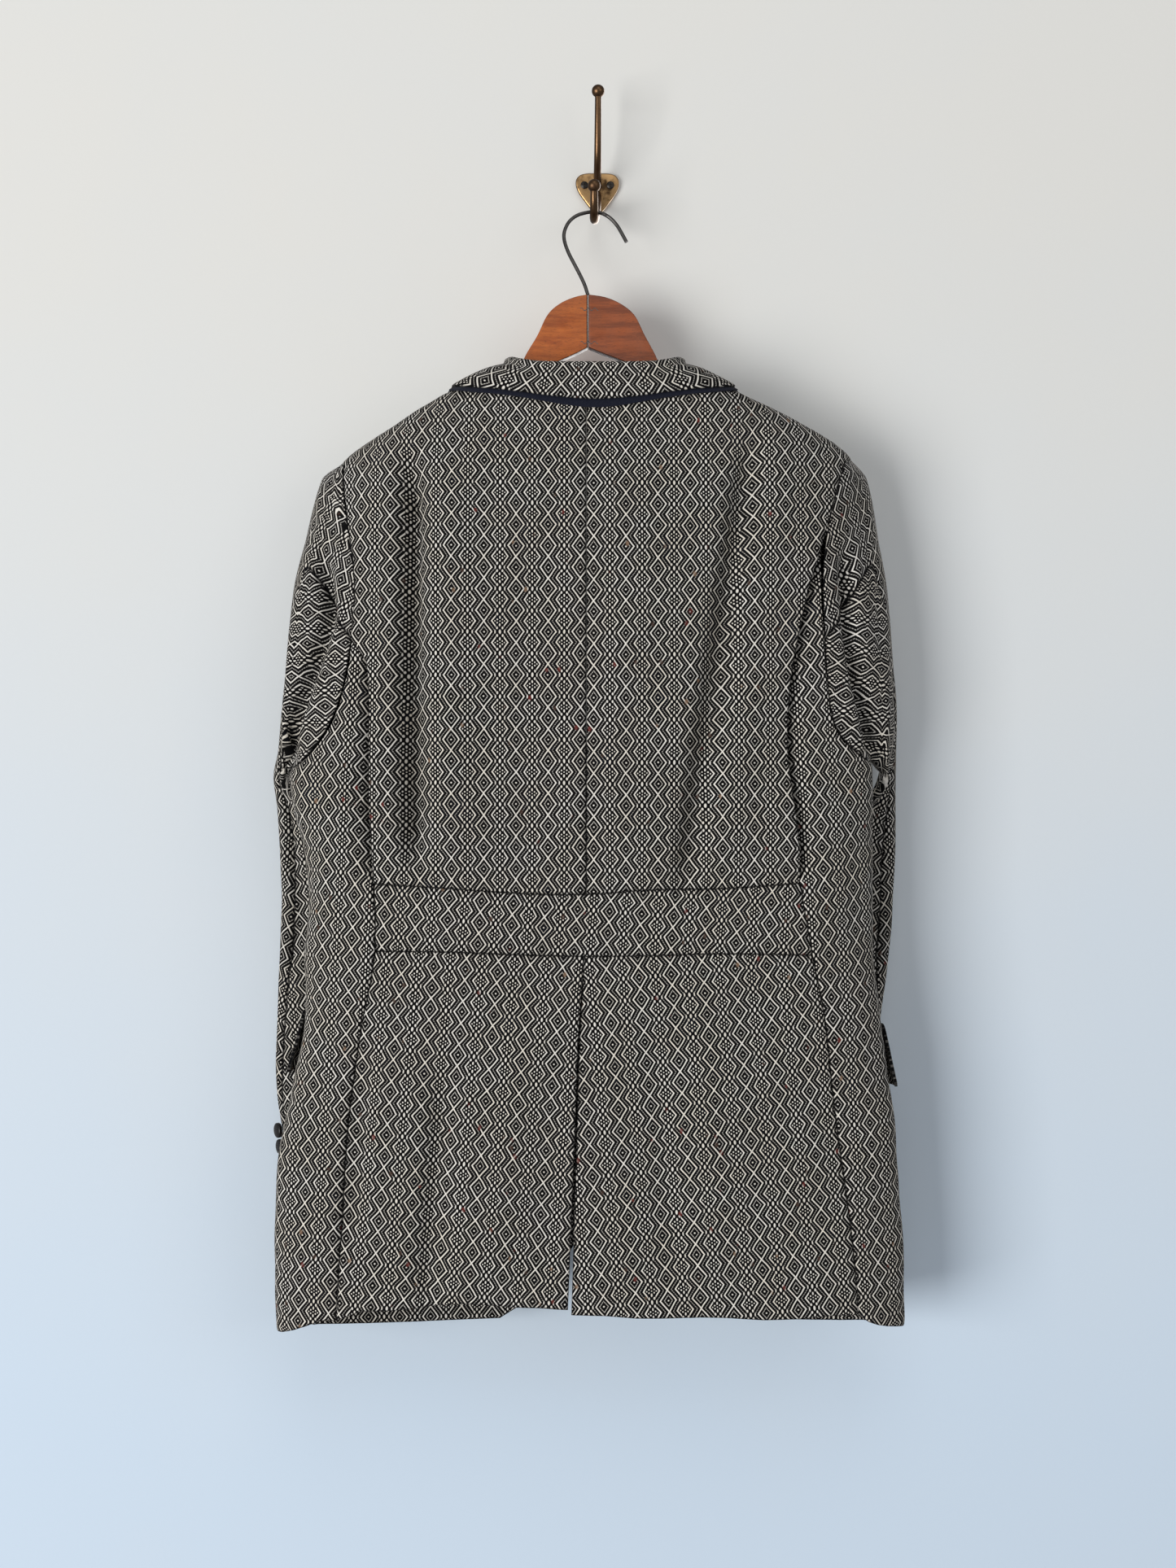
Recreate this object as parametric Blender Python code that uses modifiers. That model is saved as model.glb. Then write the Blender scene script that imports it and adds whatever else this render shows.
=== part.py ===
"""A belted tweed sport coat, hung with its back outwards on a wooden hanger and a brass wall hook.

Metres, +Z up. The wall is the plane y = 0 and the part lies in front of it, at y < 0. The origin is the
middle of the hook plate's back face. "Depth" is a point's distance out from the wall. Left is the
wearer's left, at -X. The cloth is worked out on one body surface: a place on it is its length round the
coat from the middle of the back (negative on the left) and its height.
"""

import math

import bmesh
import bpy
import numpy as np
from mathutils import Vector

MM = 0.001
WELD = 1e-6

# Cloth
CLOTH = 2.4 * MM
FELT = 1.4 * MM
SEAM_GAP = 0.3 * MM
LAYER_GAP = 0.7 * MM
MIDDLE_X = -10 * MM
BACK_ROUNDING = 3.0
FRONT_ROUNDING = 3.2

# Body sections from the neck to the hem, in mm
SECTION_COLUMNS = ("height", "left", "right", "side", "back", "front")
SECTIONS = (
    (-178, -78, 76, 72, 94, 54),
    (-186, -96, 92, 71, 101, 49),
    (-197, -129, 121, 68, 108, 43),
    (-208, -149, 147, 64, 112, 38),
    (-225, -178, 181, 58, 116, 34),
    (-242, -206, 210, 52, 119, 31),
    (-259, -227, 229, 48, 121, 29),
    (-300, -235, 236, 48, 124, 27),
    (-350, -239, 238, 52, 127, 27),
    (-400, -242, 239, 58, 128, 28),
    (-450, -248, 239, 64, 128, 30),
    (-500, -259, 238, 71, 128, 34),
    (-530, -267, 238, 76, 128, 37),
    (-560, -263, 239, 79, 128, 40),
    (-600, -255, 239, 80, 127, 44),
    (-640, -251, 239, 80, 126, 46),
    (-690, -255, 240, 81, 126, 47),
    (-740, -254, 245, 82, 126, 47),
    (-790, -263, 251, 84, 127, 48),
    (-830, -271, 256, 85, 128, 48),
    (-909, -279, 262, 86, 129, 48),
    (-1000, -279, 266, 88, 131, 47),
    (-1020, -279, 266, 88, 131, 47),
)

# Long soft folds: where each runs round the coat at its top, middle and foot, in mm
FOLD_COLUMNS = ("top_at", "middle_at", "foot_at", "top", "foot", "half_width", "depth")
FOLDS = (
    (-137, -134, -134, -235, -620, 13, 6.0),
    (-105, -106, -108, -250, -620, 16, -2.5),
    (-48, -46, -48, -300, -625, 30, 2.2),
    (139, 104, 80, -225, -640, 17, 6.0),
    (168, 138, 112, -240, -620, 16, -2.5),
    (38, 36, 34, -260, -600, 24, -1.5),
    (-113, -121, -127, -780, -990, 22, 3.0),
    (-188, -196, -205, -745, -930, 14, 2.5),
    (-60, -66, -74, -720, -985, 26, -2.0),
    (205, 210, 215, -770, -900, 16, 2.2),
    (95, 104, 112, -760, -990, 30, -2.0),
    (-236, -242, -246, -540, -700, 14, 2.0),
    (232, 236, 236, -540, -700, 14, 2.0),
)

# Seams on the back, as distances along X and heights, in mm
SIDE_SEAM = {
    "left": ((-192, -600), (-192, -696), (-201, -740), (-210, -795), (-217, -871), (-220, -935), (-224, -1010)),
    "right": ((170, -600), (173, -625), (184, -689), (193, -731), (199, -785), (208, -855), (216, -915), (224, -1010)),
}
PLEAT_EDGE = {
    "left": ((-201, -415), (-197, -442), (-195, -495), (-195, -567), (-193.5, -589), (-192, -627)),
    "right": ((200, -310), (184, -357), (171, -412), (163, -460), (161.5, -509), (166, -550), (171, -584), (173, -627)),
}
VENT_EDGE = ((-11, -680), (-15, -728), (-20, -850), (-26, -1000))
VENT_OPENING = 2.8 * MM
VENT_LIFT = 1.3 * MM

# Heights of cut edges against the distance along X, in mm
BELT_TOP = ((-192, -624.3), (-121, -628.4), (-72, -631.9), (-16, -633.0), (46, -629.1), (100, -628.4), (173, -623.6))
BELT_FOOT = ((-192, -681.6), (-121, -682), (-67, -684.1), (-10, -685.5), (46, -684.8), (100, -683.4), (184, -685))
NECK_EDGE = (
    (-85, -181.4), (-76, -187), (-66, -192), (-49, -198), (-28, -202), (-3, -203.2), (22, -202), (43, -198),
    (60, -192), (70, -187), (80, -181.4),
)
NECK_POINT = -181.4

# Hem heights against the length round from the middle of the back, in mm
HEM = (
    (-600, -1008), (-470, -1013), (-345, -1015), (-283, -1011), (-262, -1009), (-246, -1004), (-218, -993),
    (-187, -986.5), (-163, -986.5), (-111, -979.6), (-56, -982.4), (-14, -984.4),
    (14, -989.5), (118, -991.3), (160, -994), (190, -992.7), (224, -991), (250, -1001), (275, -1005),
    (340, -1011), (470, -1011), (600, -1006),
)

# Armholes: round the back from the shoulder to the lowest point, then up the front, in mm along X and high
ARMHOLE_BACK = {
    "left": (
        (-221.5, -262), (-221, -282), (-217, -312), (-211, -346), (-209, -380), (-212, -415), (-216.5, -445),
        (-223, -470), (-231, -488), (-241, -503), (-251, -514), (-260, -522),
    ),
    "right": (
        (215, -259), (208, -280), (200, -310), (194, -345), (193, -380), (194.5, -415), (196, -445),
        (198.5, -470), (203, -488), (211, -501), (221, -510), (230.5, -517),
    ),
}
ARMHOLE_FRONT = {
    "left": (
        (-257, -522), (-245, -513), (-231, -499), (-217, -481), (-204, -459), (-194, -432),
        (-188, -400), (-189, -365), (-195, -330), (-205, -302), (-214, -279), (-219, -262),
    ),
    "right": (
        (229, -516), (217, -507), (205, -495), (195, -479), (187, -458), (181, -432),
        (178, -400), (180, -365), (187, -330), (197, -301), (207, -277), (214, -259),
    ),
}
SHOULDER_POINT = {"left": -253, "right": -250}
UNDERARM_POINT = {"left": -527, "right": -521}
ARMHOLE_STEPS = 26
PLEAT_TOP_STEP = {"left": 6, "right": 3}
FRONT_SEAM_STEP = 15

# Rows that neighbouring pieces share along their seams
SEAM_BELT_TOP = {"left": -624.3 * MM, "right": -623.6 * MM}
SEAM_BELT_FOOT = {"left": -681.6 * MM, "right": -685 * MM}
SKIRT_ROWS = 13
PLEAT_ROWS = 12
FRONT_SEAM_ROWS = SKIRT_ROWS + 1 + PLEAT_ROWS

# Fronts, as distances along X from their own middle, and heights, in mm
FRONT_MIDDLE_X = -2.5 * MM
FRONT_SEAM_PAST_SIDE = 46 * MM
BREAK_HEIGHT = -600 * MM
ROLL_LINE = ((82, -181), (78, -200), (74, -220), (67, -250), (54, -300), (31, -400), (7, -500), (-20, -600))
FRONT_EDGE = ((-20, -600), (-20, -700), (-20, -790), (-12, -860), (6, -920), (28, -965), (52, -994), (84, -1012))
LAPEL_EDGE = ((112, -276), (109, -330), (94, -400), (72, -460), (44, -520), (12, -570), (-13, -598.5))
LAPEL_TOP = ((66, -251.6), (77.5, -255.8), (86, -259.6), (112, -276))
LAPEL_GAP = 1.2 * MM

# Sleeve rings down the arm: the outer point, the inner point, each along X, high and deep, and half the
# ring's thickness, in mm. The first lies just past the armhole.
SLEEVE_COLUMNS = ("out_x", "out_z", "out_d", "in_x", "in_z", "in_d", "half")
SLEEVE_RINGS = {
    "left": (
        (-245, -273, 44, -273, -532, 60, 37),
        (-256, -312, 41, -275, -533, 58, 37),
        (-266, -356, 39, -276, -535, 56, 36),
        (-272, -410, 37, -276, -539, 53, 33),
        (-278, -464, 36, -275, -546, 48, 27),
        (-284, -507, 34, -268, -556, 41, 20),
        (-290, -532, 31, -245, -574, 32, 16),
        (-287, -562, 29, -205, -598, 27, 15),
        (-284, -600, 27, -165, -622, 24, 14),
        (-283, -650, 26, -137, -662, 22, 14),
        (-285, -700, 24, -127, -708, 21, 14),
        (-288, -760, 23, -124, -764, 20, 14),
        (-288, -815, 22, -127, -816, 20, 14),
        (-282, -866, 21, -132, -860, 20, 13),
        (-287, -914, 20, -139, -903, 20, 13),
    ),
    "right": (
        (239, -273, 44, 246, -527, 60, 37),
        (247, -312, 41, 249, -529, 58, 37),
        (254, -356, 39, 251, -532, 56, 36),
        (259, -405, 37, 252, -537, 53, 33),
        (264, -460, 36, 251, -545, 48, 27),
        (266, -505, 34, 243, -556, 41, 20),
        (267, -540, 31, 220, -574, 32, 16),
        (267, -572, 29, 184, -598, 27, 15),
        (266, -606, 27, 147, -624, 24, 14),
        (264, -655, 26, 120, -662, 22, 14),
        (260, -700, 24, 107, -706, 21, 14),
        (253, -760, 23, 97, -760, 20, 14),
        (247, -815, 22, 92, -812, 20, 14),
        (243, -866, 21, 93, -858, 20, 13),
        (241, -912, 20, 96, -900, 20, 13),
    ),
}
SLEEVE_ROUNDING = 2.3
HIND_SEAM_STEPS = (6.0, 1.0)
FORE_SEAM_STEPS = (18.0, 15.0)

# Sleeve creases: ring and step round at the start and the end, half width in steps, and depth in mm
CREASE_COLUMNS = ("from_ring", "from_step", "to_ring", "to_step", "half_steps", "depth")
SLEEVE_CREASES = {
    "left": ((0.8, 3.6, 3.4, 7.0, 0.9, 9.0), (1.5, 5.6, 4.2, 8.6, 1.0, -4.0), (4.6, 2.5, 6.2, 9.5, 0.8, 5.0)),
    "right": ((0.8, 4.4, 3.6, 8.0, 0.9, 7.0), (2.0, 6.4, 4.4, 9.4, 1.0, -3.5), (5.0, 2.5, 6.2, 9.5, 0.8, 4.0)),
}

# Collar from the middle of the back to its end on the front: the neck seam and the fold, each along X
# from the collar's middle, high and deep, half the fold's width, and the outer edge along X and high, in mm
COLLAR_COLUMNS = ("neck_x", "neck_z", "neck_d", "fold_x", "fold_z", "fold_d", "roll", "edge_x", "edge_z")
COLLAR_ROWS = (
    (0, -202.3, 103.3, 0, -176.4, 107, 6.6, 0, -212),
    (24, -201.5, 102.8, 25, -176.2, 106.2, 6.6, 28, -210.5),
    (46, -198.4, 99.8, 49, -175, 103, 6.4, 57, -206.5),
    (62, -193.5, 92.5, 65, -171.5, 96, 6, 88, -202.5),
    (70, -187.5, 83, 72, -168.3, 86, 5.6, 113, -200),
    (73.5, -184, 70, 75, -166.8, 70, 5.4, 126, -196),
    (75.5, -186.5, 56.8, 77, -170.5, 50, 5.3, 127, -202),
    (75, -191, 51, 76.5, -180.3, 39.5, 5.2, 124, -209),
    (72, -205.3, 41.1, 73.5, -199.4, 27.9, 5, 114, -229),
    (66.5, -226.1, 35.2, 68.5, -223.7, 22.5, 4.9, 104, -248),
    (61, -250, 31.5, 63, -248.8, 20.5, 4.8, 97, -262),
)
COLLAR_RIDGE_ROW = 5
COLLAR_STEPS = 15
COLLAR_MIDDLE_X = -2.5 * MM
COLLAR_CLOTH = 2.2 * MM
UNDER_COLLAR_SHOWS = 3.4 * MM
COLLAR_LIFT = COLLAR_CLOTH + SEAM_GAP + FELT + 1.7 * MM

# Pocket flaps: lengths round past the side, and heights, in mm
FLAP_GAP = 1.1 * MM
FLAP_START = -4 * MM
FLAP_LENGTH = 150 * MM
FLAP_TOP = {"left": -736 * MM, "right": -748 * MM}
FLAP_HEIGHT = 54 * MM
FLAP_STANDS_OFF = 4.5 * MM

# Buttons
FRONT_BUTTON = 20 * MM
CUFF_BUTTON = 13.4 * MM
BUTTON_THICKNESS = 4 * MM
FRONT_SHANK = 0.9 * MM
CUFF_SHANK = 0.1 * MM
FRONT_BUTTON_HEIGHTS = (-612 * MM, -718 * MM)
CUFF_BUTTON_HEIGHTS = (-850 * MM, -864.6 * MM)

# Hanger arms: along X, the top, the underside and the depth of the middle, in mm
HANGER_COLUMNS = ("x", "top", "foot", "depth")
HANGER_ARMS = {
    "left": (
        (-8.7, -109, -155.6, 59), (-20, -111.4, -161.5, 59.5), (-33, -117.3, -167.5, 60.5), (-44, -127.5, -173, 61.5),
        (-53, -146, -181, 62.5), (-64, -165, -195, 63.5), (-71, -184, -206, 64.5), (-80, -192, -215, 65.5),
        (-96, -196.5, -224, 66), (-126, -204, -238, 65), (-152, -217, -248, 61), (-178, -230.5, -258, 56.5),
        (-196, -241, -264, 52.5), (-203, -247, -263, 51),
    ),
    "right": (
        (-8.3, -109, -155.6, 59), (7, -111.6, -162, 59.5), (21, -118, -167.5, 60.5), (32.5, -128, -173, 61.5),
        (41, -145, -181, 62.5), (51.5, -165, -195, 63.5), (59, -184, -206, 64.5), (69, -192, -215, 65.5),
        (88, -196, -224, 66), (120, -203.5, -238, 65), (148, -215, -248, 61), (178, -230, -258, 56.5),
        (196, -239.5, -264, 52.5), (204, -246, -263, 51),
    ),
}
HANGER_THICKNESS = 12 * MM
HANGER_ROUNDING = 3.5 * MM
HANGER_PROFILE = ((-1, 0), (-1, 1), (-0.5, 1), (0.5, 1), (1, 1), (1, 0), (0.5, 0), (-0.5, 0))

# Wire hook: its radii, and its route along X, high and deep, in mm
WIRE_RADII = (1.65, 1.65)
WIRE_ROUTE = (
    (-8.6, -108.2, 59), (-11.5, -99, 57.5), (-16, -89, 55.5), (-21, -79, 53.5), (-26, -68.5, 51),
    (-29.3, -58, 48.5), (-29.4, -49.5, 46.5), (-25.5, -40.5, 44.5), (-18.5, -34.3, 43), (-10, -31.4, 42.2),
    (-3, -30.8, 42), (4, -32, 42.2), (11, -36.2, 43), (17, -43, 44.5), (21.5, -51, 46.5), (25.5, -59, 48.5),
)

# Wall hook, in mm
PLATE_THICKNESS = 4 * MM
PLATE_OUTLINE = (
    (0, 15.0), (9, 15.1), (15.5, 13.6), (19.2, 9.5), (19.4, 3.5), (16.5, -3.5), (11.5, -10.5), (6.6, -17), (2.6, -20.6),
)
LOWER_PRONG = (
    (0, -4, 2), (0, -7, 8), (-0.5, -16, 15), (-1.5, -27, 23), (-2.4, -34.7, 33), (-2.9, -36.8, 42),
    (-3.1, -34, 50), (-3.1, -26, 56.5), (-3.1, -14, 60),
)
UPPER_PRONG = (
    (0, 3, 2), (0, 5, 9), (0, 8, 18), (0.1, 13.5, 27), (0.2, 23, 34.5), (0.3, 38, 39.6), (0.4, 54, 42.6),
    (0.5, 73, 44.8),
)
LOWER_BALL = (-3.1, -12.4, 60)
UPPER_BALL = (0.5, 75.8, 45)
LOWER_PRONG_RADII = (3.6, 4.0, 4.0, 3.2)
UPPER_PRONG_RADII = (3.8, 3.4, 3.1, 2.8)
BALL_RADIUS = 5.7 * MM
SCREW_PLACES = {"hook_screw_left": -11.8 * MM, "hook_screw_right": 11.8 * MM}
SCREW_HEIGHT = 4 * MM
SCREW_RADIUS = 3.4 * MM

# Colours and finishes: red, green, blue, roughness, metallic
FINISHES = {
    "tweed": (0.12, 0.115, 0.11, 0.95, 0.0),
    "felt": (0.012, 0.014, 0.022, 0.95, 0.0),
    "horn": (0.01, 0.01, 0.011, 0.22, 0.0),
    "wood": (0.30, 0.115, 0.042, 0.45, 0.0),
    "steel": (0.05, 0.048, 0.045, 0.4, 1.0),
    "brass": (0.22, 0.14, 0.06, 0.4, 1.0),
    "screw": (0.03, 0.028, 0.025, 0.5, 1.0),
}


def columns_of(rows, names):
    """A table's columns by name, in metres."""
    table = np.array(rows, float) * MM
    return {name: table[:, index] for index, name in enumerate(names)}


def smooth(known, values, wanted):
    """Values at the wanted places on a curve without kinks through the known ones."""
    known = np.asarray(known, float)
    values = np.asarray(values, float)
    wanted = np.asarray(wanted, float)
    if known[0] > known[-1]:
        known, values = known[::-1], values[::-1]
    slopes = np.gradient(values, known)
    index = np.clip(np.searchsorted(known, wanted) - 1, 0, len(known) - 2)
    span = known[index + 1] - known[index]
    f = np.clip((wanted - known[index]) / span, 0, 1)
    start, end = values[index], values[index + 1]
    return (
        (2 * f**3 - 3 * f**2 + 1) * start
        + (f**3 - 2 * f**2 + f) * span * slopes[index]
        + (3 * f**2 - 2 * f**3) * end
        + (f**3 - f**2) * span * slopes[index + 1]
    )


def step_up(value, start, end):
    """0 before start, 1 after end and a soft rise between."""
    f = np.clip((np.asarray(value, float) - start) / (end - start), 0, 1)
    return f * f * (3 - 2 * f)


def unit(vectors):
    """The vectors at length 1."""
    return vectors / np.linalg.norm(vectors, axis=-1)[..., None]


def line_at(points, height):
    """Distance along X, in metres, of a seam given in mm, at a height."""
    x, z = np.array(points, float).T * MM
    return smooth(z, x, height)


def height_at(points, x):
    """Height of a cut edge given in mm, at a distance along X."""
    known, z = np.array(points, float).T * MM
    return smooth(known, z, x)


SECTION = columns_of(SECTIONS, SECTION_COLUMNS)
FOLD = columns_of(FOLDS, FOLD_COLUMNS)
RING_STEPS = 90


def section_at(z, right):
    """The half-width, side depth, and rise to the back and to the front, at each height."""
    z = np.asarray(z, float)
    value = {name: smooth(SECTION["height"], SECTION[name], z) for name in SECTION_COLUMNS[1:]}
    width = np.where(right, value["right"] - MIDDLE_X, MIDDLE_X - value["left"])
    return width, value["side"], value["back"] - value["side"], value["side"] - value["front"]


def half_ring(z, right):
    """Half a section at each height, from the back's middle to the front's: across, depth, length."""
    width, side, rise, fall = (part[:, None] for part in section_at(z, right))
    turn = np.linspace(0, math.pi / 2, RING_STEPS)
    back_across = width * np.sin(turn) ** (2 / BACK_ROUNDING)
    back_depth = side + rise * np.cos(turn).clip(0) ** (2 / BACK_ROUNDING)
    front_across = width * np.cos(turn).clip(0) ** (2 / FRONT_ROUNDING)
    front_depth = side - fall * np.sin(turn) ** (2 / FRONT_ROUNDING)
    across = np.concatenate([back_across, front_across[:, 1:]], axis=1)
    depth = np.concatenate([back_depth, front_depth[:, 1:]], axis=1)
    steps = np.hypot(np.diff(across, axis=1), np.diff(depth, axis=1))
    length = np.concatenate([np.zeros((len(z), 1)), np.cumsum(steps, axis=1)], axis=1)
    return across, depth, length


def side_length(z, right):
    """Length from the back's middle to the side, at each height."""
    z = np.atleast_1d(np.asarray(z, float))
    return half_ring(z, np.full(z.shape, right))[2][:, RING_STEPS - 1]


def girth(z, right):
    """Length from the back's middle to the front's, at each height."""
    z = np.atleast_1d(np.asarray(z, float))
    return half_ring(z, np.full(z.shape, right))[2][:, -1]


def length_at(x, z, front=False):
    """Signed length round from the back's middle to the place at x on the back, or on the front."""
    x = np.atleast_1d(np.asarray(x, float))
    z = np.broadcast_to(np.atleast_1d(np.asarray(z, float)), x.shape)
    right = x > MIDDLE_X
    across, _, length = half_ring(z, right)
    found = np.empty(x.shape)
    for row in range(len(x)):
        wanted = abs(x[row] - MIDDLE_X)
        if front:
            found[row] = np.interp(-wanted, -across[row, RING_STEPS - 1:], length[row, RING_STEPS - 1:])
        else:
            found[row] = np.interp(wanted, across[row, :RING_STEPS], length[row, :RING_STEPS])
    return np.where(right, found, -found)


def level(x, depth, z):
    """1 on the body surface, less inside it and more outside."""
    width, side, rise, fall = section_at(z, x > MIDDLE_X)
    back = depth > side
    power = np.where(back, BACK_ROUNDING, FRONT_ROUNDING)
    across = np.abs(x - MIDDLE_X) / width
    out = np.abs(depth - side) / np.where(back, rise, fall)
    return across**power + out**power


def body_slope(x, depth, z):
    """The body surface's outward normals, and how fast the level grows along them."""
    nudge = 0.05 * MM
    slope_x = level(x + nudge, depth, z) - level(x - nudge, depth, z)
    slope_d = level(x, depth + nudge, z) - level(x, depth - nudge, z)
    slope_z = level(x, depth, z + nudge) - level(x, depth, z - nudge)
    normal = np.stack([slope_x, -slope_d, slope_z], axis=1)
    steepness = np.linalg.norm(normal, axis=1)
    return normal / steepness[:, None], steepness / (2 * nudge)


def kept_off(points, least):
    """The points, moved out where they lie nearer to the body surface than the least distance."""
    moved = points.reshape(-1, 3).copy()
    for _ in range(4):
        x, y, z = moved.T
        normal, steepness = body_slope(x, -y, z)
        distance = (level(x, -y, z) - 1) / steepness
        moved += normal * np.clip(least - distance, 0, None)[:, None]
    return moved.reshape(points.shape)


def fold_height(s, z):
    """How far the long folds move the cloth out, at each place."""
    total = np.zeros(s.shape)
    for row in range(len(FOLD["top"])):
        top, foot = FOLD["top"][row], FOLD["foot"][row]
        middle = (top + foot) / 2
        path = smooth(
            (foot, middle, top), (FOLD["foot_at"][row], FOLD["middle_at"][row], FOLD["top_at"][row]), z
        )
        ends = step_up(z, foot, foot + 45 * MM) * (1 - step_up(z, top - 70 * MM, top))
        total -= FOLD["depth"][row] * ends * np.exp(-(((s - path) / FOLD["half_width"][row]) ** 2))
    return total


def section_point(s, z):
    """The distance along X and the depth of places on the plain sections."""
    right = s > 0
    across, depth, length = half_ring(z, right)
    reach = np.abs(s)
    before = np.clip((length < reach[:, None]).sum(axis=1) - 1, 0, length.shape[1] - 2)
    row = np.arange(len(s))
    start = length[row, before]
    f = np.clip((reach - start) / (length[row, before + 1] - start), 0, 1)
    far = across[row, before] * (1 - f) + across[row, before + 1] * f
    deep = depth[row, before] * (1 - f) + depth[row, before + 1] * f
    far -= np.clip(reach - length[:, -1], 0, None)
    return MIDDLE_X + np.where(right, far, -far), deep


def surface(s, z, out=0.0):
    """Points of the body surface at lengths s and heights z, moved out, and its outward normals."""
    s, z, out = np.broadcast_arrays(*(np.asarray(value, float) for value in (s, z, out)))
    shape = s.shape
    s, z, out = s.ravel(), z.ravel(), out.ravel()
    x, deep = section_point(s, z)
    normal, _ = body_slope(x, deep, z)
    point = np.stack([x, -deep, z], axis=1) + normal * (out + fold_height(s, z))[:, None]
    return point.reshape(*shape, 3), normal.reshape(*shape, 3)


def patch(foot, top, first, last):
    """A grid of places between four edges, each a row of (s, z); first and last run from foot to top."""
    foot, top, first, last = (np.asarray(edge, float) for edge in (foot, top, first, last))
    f = np.linspace(0, 1, len(foot))[None, :, None]
    r = np.linspace(0, 1, len(first))[:, None, None]
    sides = (1 - f) * first[:, None] + f * last[:, None]
    ends = (1 - r) * foot[None] + r * top[None]
    corners = (1 - r) * ((1 - f) * foot[0] + f * foot[-1]) + r * ((1 - f) * top[0] + f * top[-1])
    return sides + ends - corners


def collection_for(name):
    made = bpy.data.collections.new(name)
    bpy.context.scene.collection.children.link(made)
    return made


def finish(name, finish_name):
    red, green, blue, roughness, metallic = FINISHES[finish_name]
    material = bpy.data.materials.new(name)
    material.use_nodes = True
    shader = material.node_tree.nodes["Principled BSDF"]
    shader.inputs["Base Color"].default_value = (red, green, blue, 1)
    shader.inputs["Roughness"].default_value = roughness
    shader.inputs["Metallic"].default_value = metallic
    return material


def add_object(name, mesh, finish_name):
    obj = bpy.data.objects.new(name, mesh)
    bpy.data.collections["sport_coat"].objects.link(obj)
    mesh.materials.clear()
    mesh.materials.append(finish(name, finish_name))
    return obj


def closed_mesh(name, bm):
    """The mesh of a closed form, in triangles that face outwards."""
    bmesh.ops.triangulate(bm, faces=bm.faces[:])
    bmesh.ops.recalc_face_normals(bm, faces=bm.faces[:])
    if bm.calc_volume(signed=True) < 0:
        bmesh.ops.reverse_faces(bm, faces=bm.faces[:])
    mesh = bpy.data.meshes.new(name)
    bm.to_mesh(mesh)
    bm.free()
    return mesh


def add_wall(name, outer, inner, finish_name="tweed"):
    """A closed wall between two grids of points, made from a grid that is extruded once."""
    rows, cols = outer.shape[:2]
    bm = bmesh.new()
    bmesh.ops.create_grid(bm, x_segments=cols - 1, y_segments=rows - 1, size=1)
    place = bm.verts.layers.int.new("place")
    for index, vert in enumerate(bm.verts):
        vert[place] = index
        vert.co = outer.reshape(-1, 3)[index]
    made = bmesh.ops.extrude_face_region(bm, geom=bm.faces[:], use_keep_orig=True)
    for item in made["geom"]:
        if isinstance(item, bmesh.types.BMVert):
            item.co = inner.reshape(-1, 3)[item[place]]
    return add_object(name, closed_mesh(name, bm), finish_name)


def add_panel(name, places, out=0.0, thickness=CLOTH, finish_name="tweed"):
    """A cloth wall over a grid of places on the body surface."""
    outer, normal = surface(places[..., 0], places[..., 1], out)
    return add_wall(name, outer, outer - normal * thickness, finish_name)


def sign_of(side):
    return -1 if side == "left" else 1


def armhole(side, out=0.0):
    """Places of the armhole's steps, round from the shoulder; out is toward the body."""
    right = side == "right"
    sign = sign_of(side)
    shoulder, underarm = SHOULDER_POINT[side] * MM, UNDERARM_POINT[side] * MM
    back = np.array(ARMHOLE_BACK[side]) * MM
    front = np.array(ARMHOLE_FRONT[side]) * MM
    places = [(sign * side_length(shoulder, right)[0], shoulder)]
    places += list(zip(length_at(back[:, 0], back[:, 1]), back[:, 1]))
    places += [(sign * side_length(underarm, right)[0], underarm)]
    places += list(zip(length_at(front[:, 0], front[:, 1], front=True), front[:, 1]))
    places = np.array(places)
    ahead = np.roll(places, -1, axis=0) - np.roll(places, 1, axis=0)
    away = unit(np.stack([ahead[:, 1], -ahead[:, 0]], axis=1))
    centre = places.mean(axis=0)
    facing = np.sign(((places - centre) * away).sum(axis=1))
    return places + away * facing[:, None] * out


def hem_height(s):
    known, z = np.array(HEM, float).T * MM
    return smooth(known, z, s)


def places_along_back(points, heights, shift=0.0):
    """Places of a seam on the back at the heights, moved round the coat by a length."""
    x = line_at(points, heights)
    return np.stack([length_at(x, heights) + shift, heights], axis=1)


def edge_between(s_start, s_end, cols, cut):
    """Places along a cut edge between two lengths round the back."""
    s = np.linspace(s_start, s_end, cols)
    middle = height_at(cut, MIDDLE_X)
    x = surface(s, np.full(cols, middle))[0][:, 0]
    return np.stack([s, height_at(cut, x)], axis=1)


def closing_steps(start, end, count):
    """Heights from start to end whose spacing shrinks toward the end."""
    left = 1 - np.linspace(0, 1, count)
    return end + (start - end) * left**1.6


def seam_heights(side):
    """Heights at which the side seam's pieces share their points, from the hem to the belt's foot."""
    sign = sign_of(side)
    return np.linspace(hem_height(sign * 226 * MM), SEAM_BELT_FOOT[side], SKIRT_ROWS)


def pleat_heights(side):
    """Heights at which the back and the side body share their points, from the belt's top to the armhole."""
    return np.linspace(SEAM_BELT_TOP[side], armhole(side)[PLEAT_TOP_STEP[side], 1], PLEAT_ROWS)


def front_seam(side):
    """Places of the seam between the side body and the front, from the hem to the armhole."""
    hole = armhole(side)[FRONT_SEAM_STEP]
    heights = np.linspace(hem_height(sign_of(side) * 335 * MM), hole[1], FRONT_SEAM_ROWS)
    free = sign_of(side) * (side_length(heights, side == "right") + FRONT_SEAM_PAST_SIDE)
    near_top = step_up(heights, heights[-1] - 110 * MM, heights[-1])
    return np.stack([free * (1 - near_top) + hole[0] * near_top, heights], axis=1)


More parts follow.
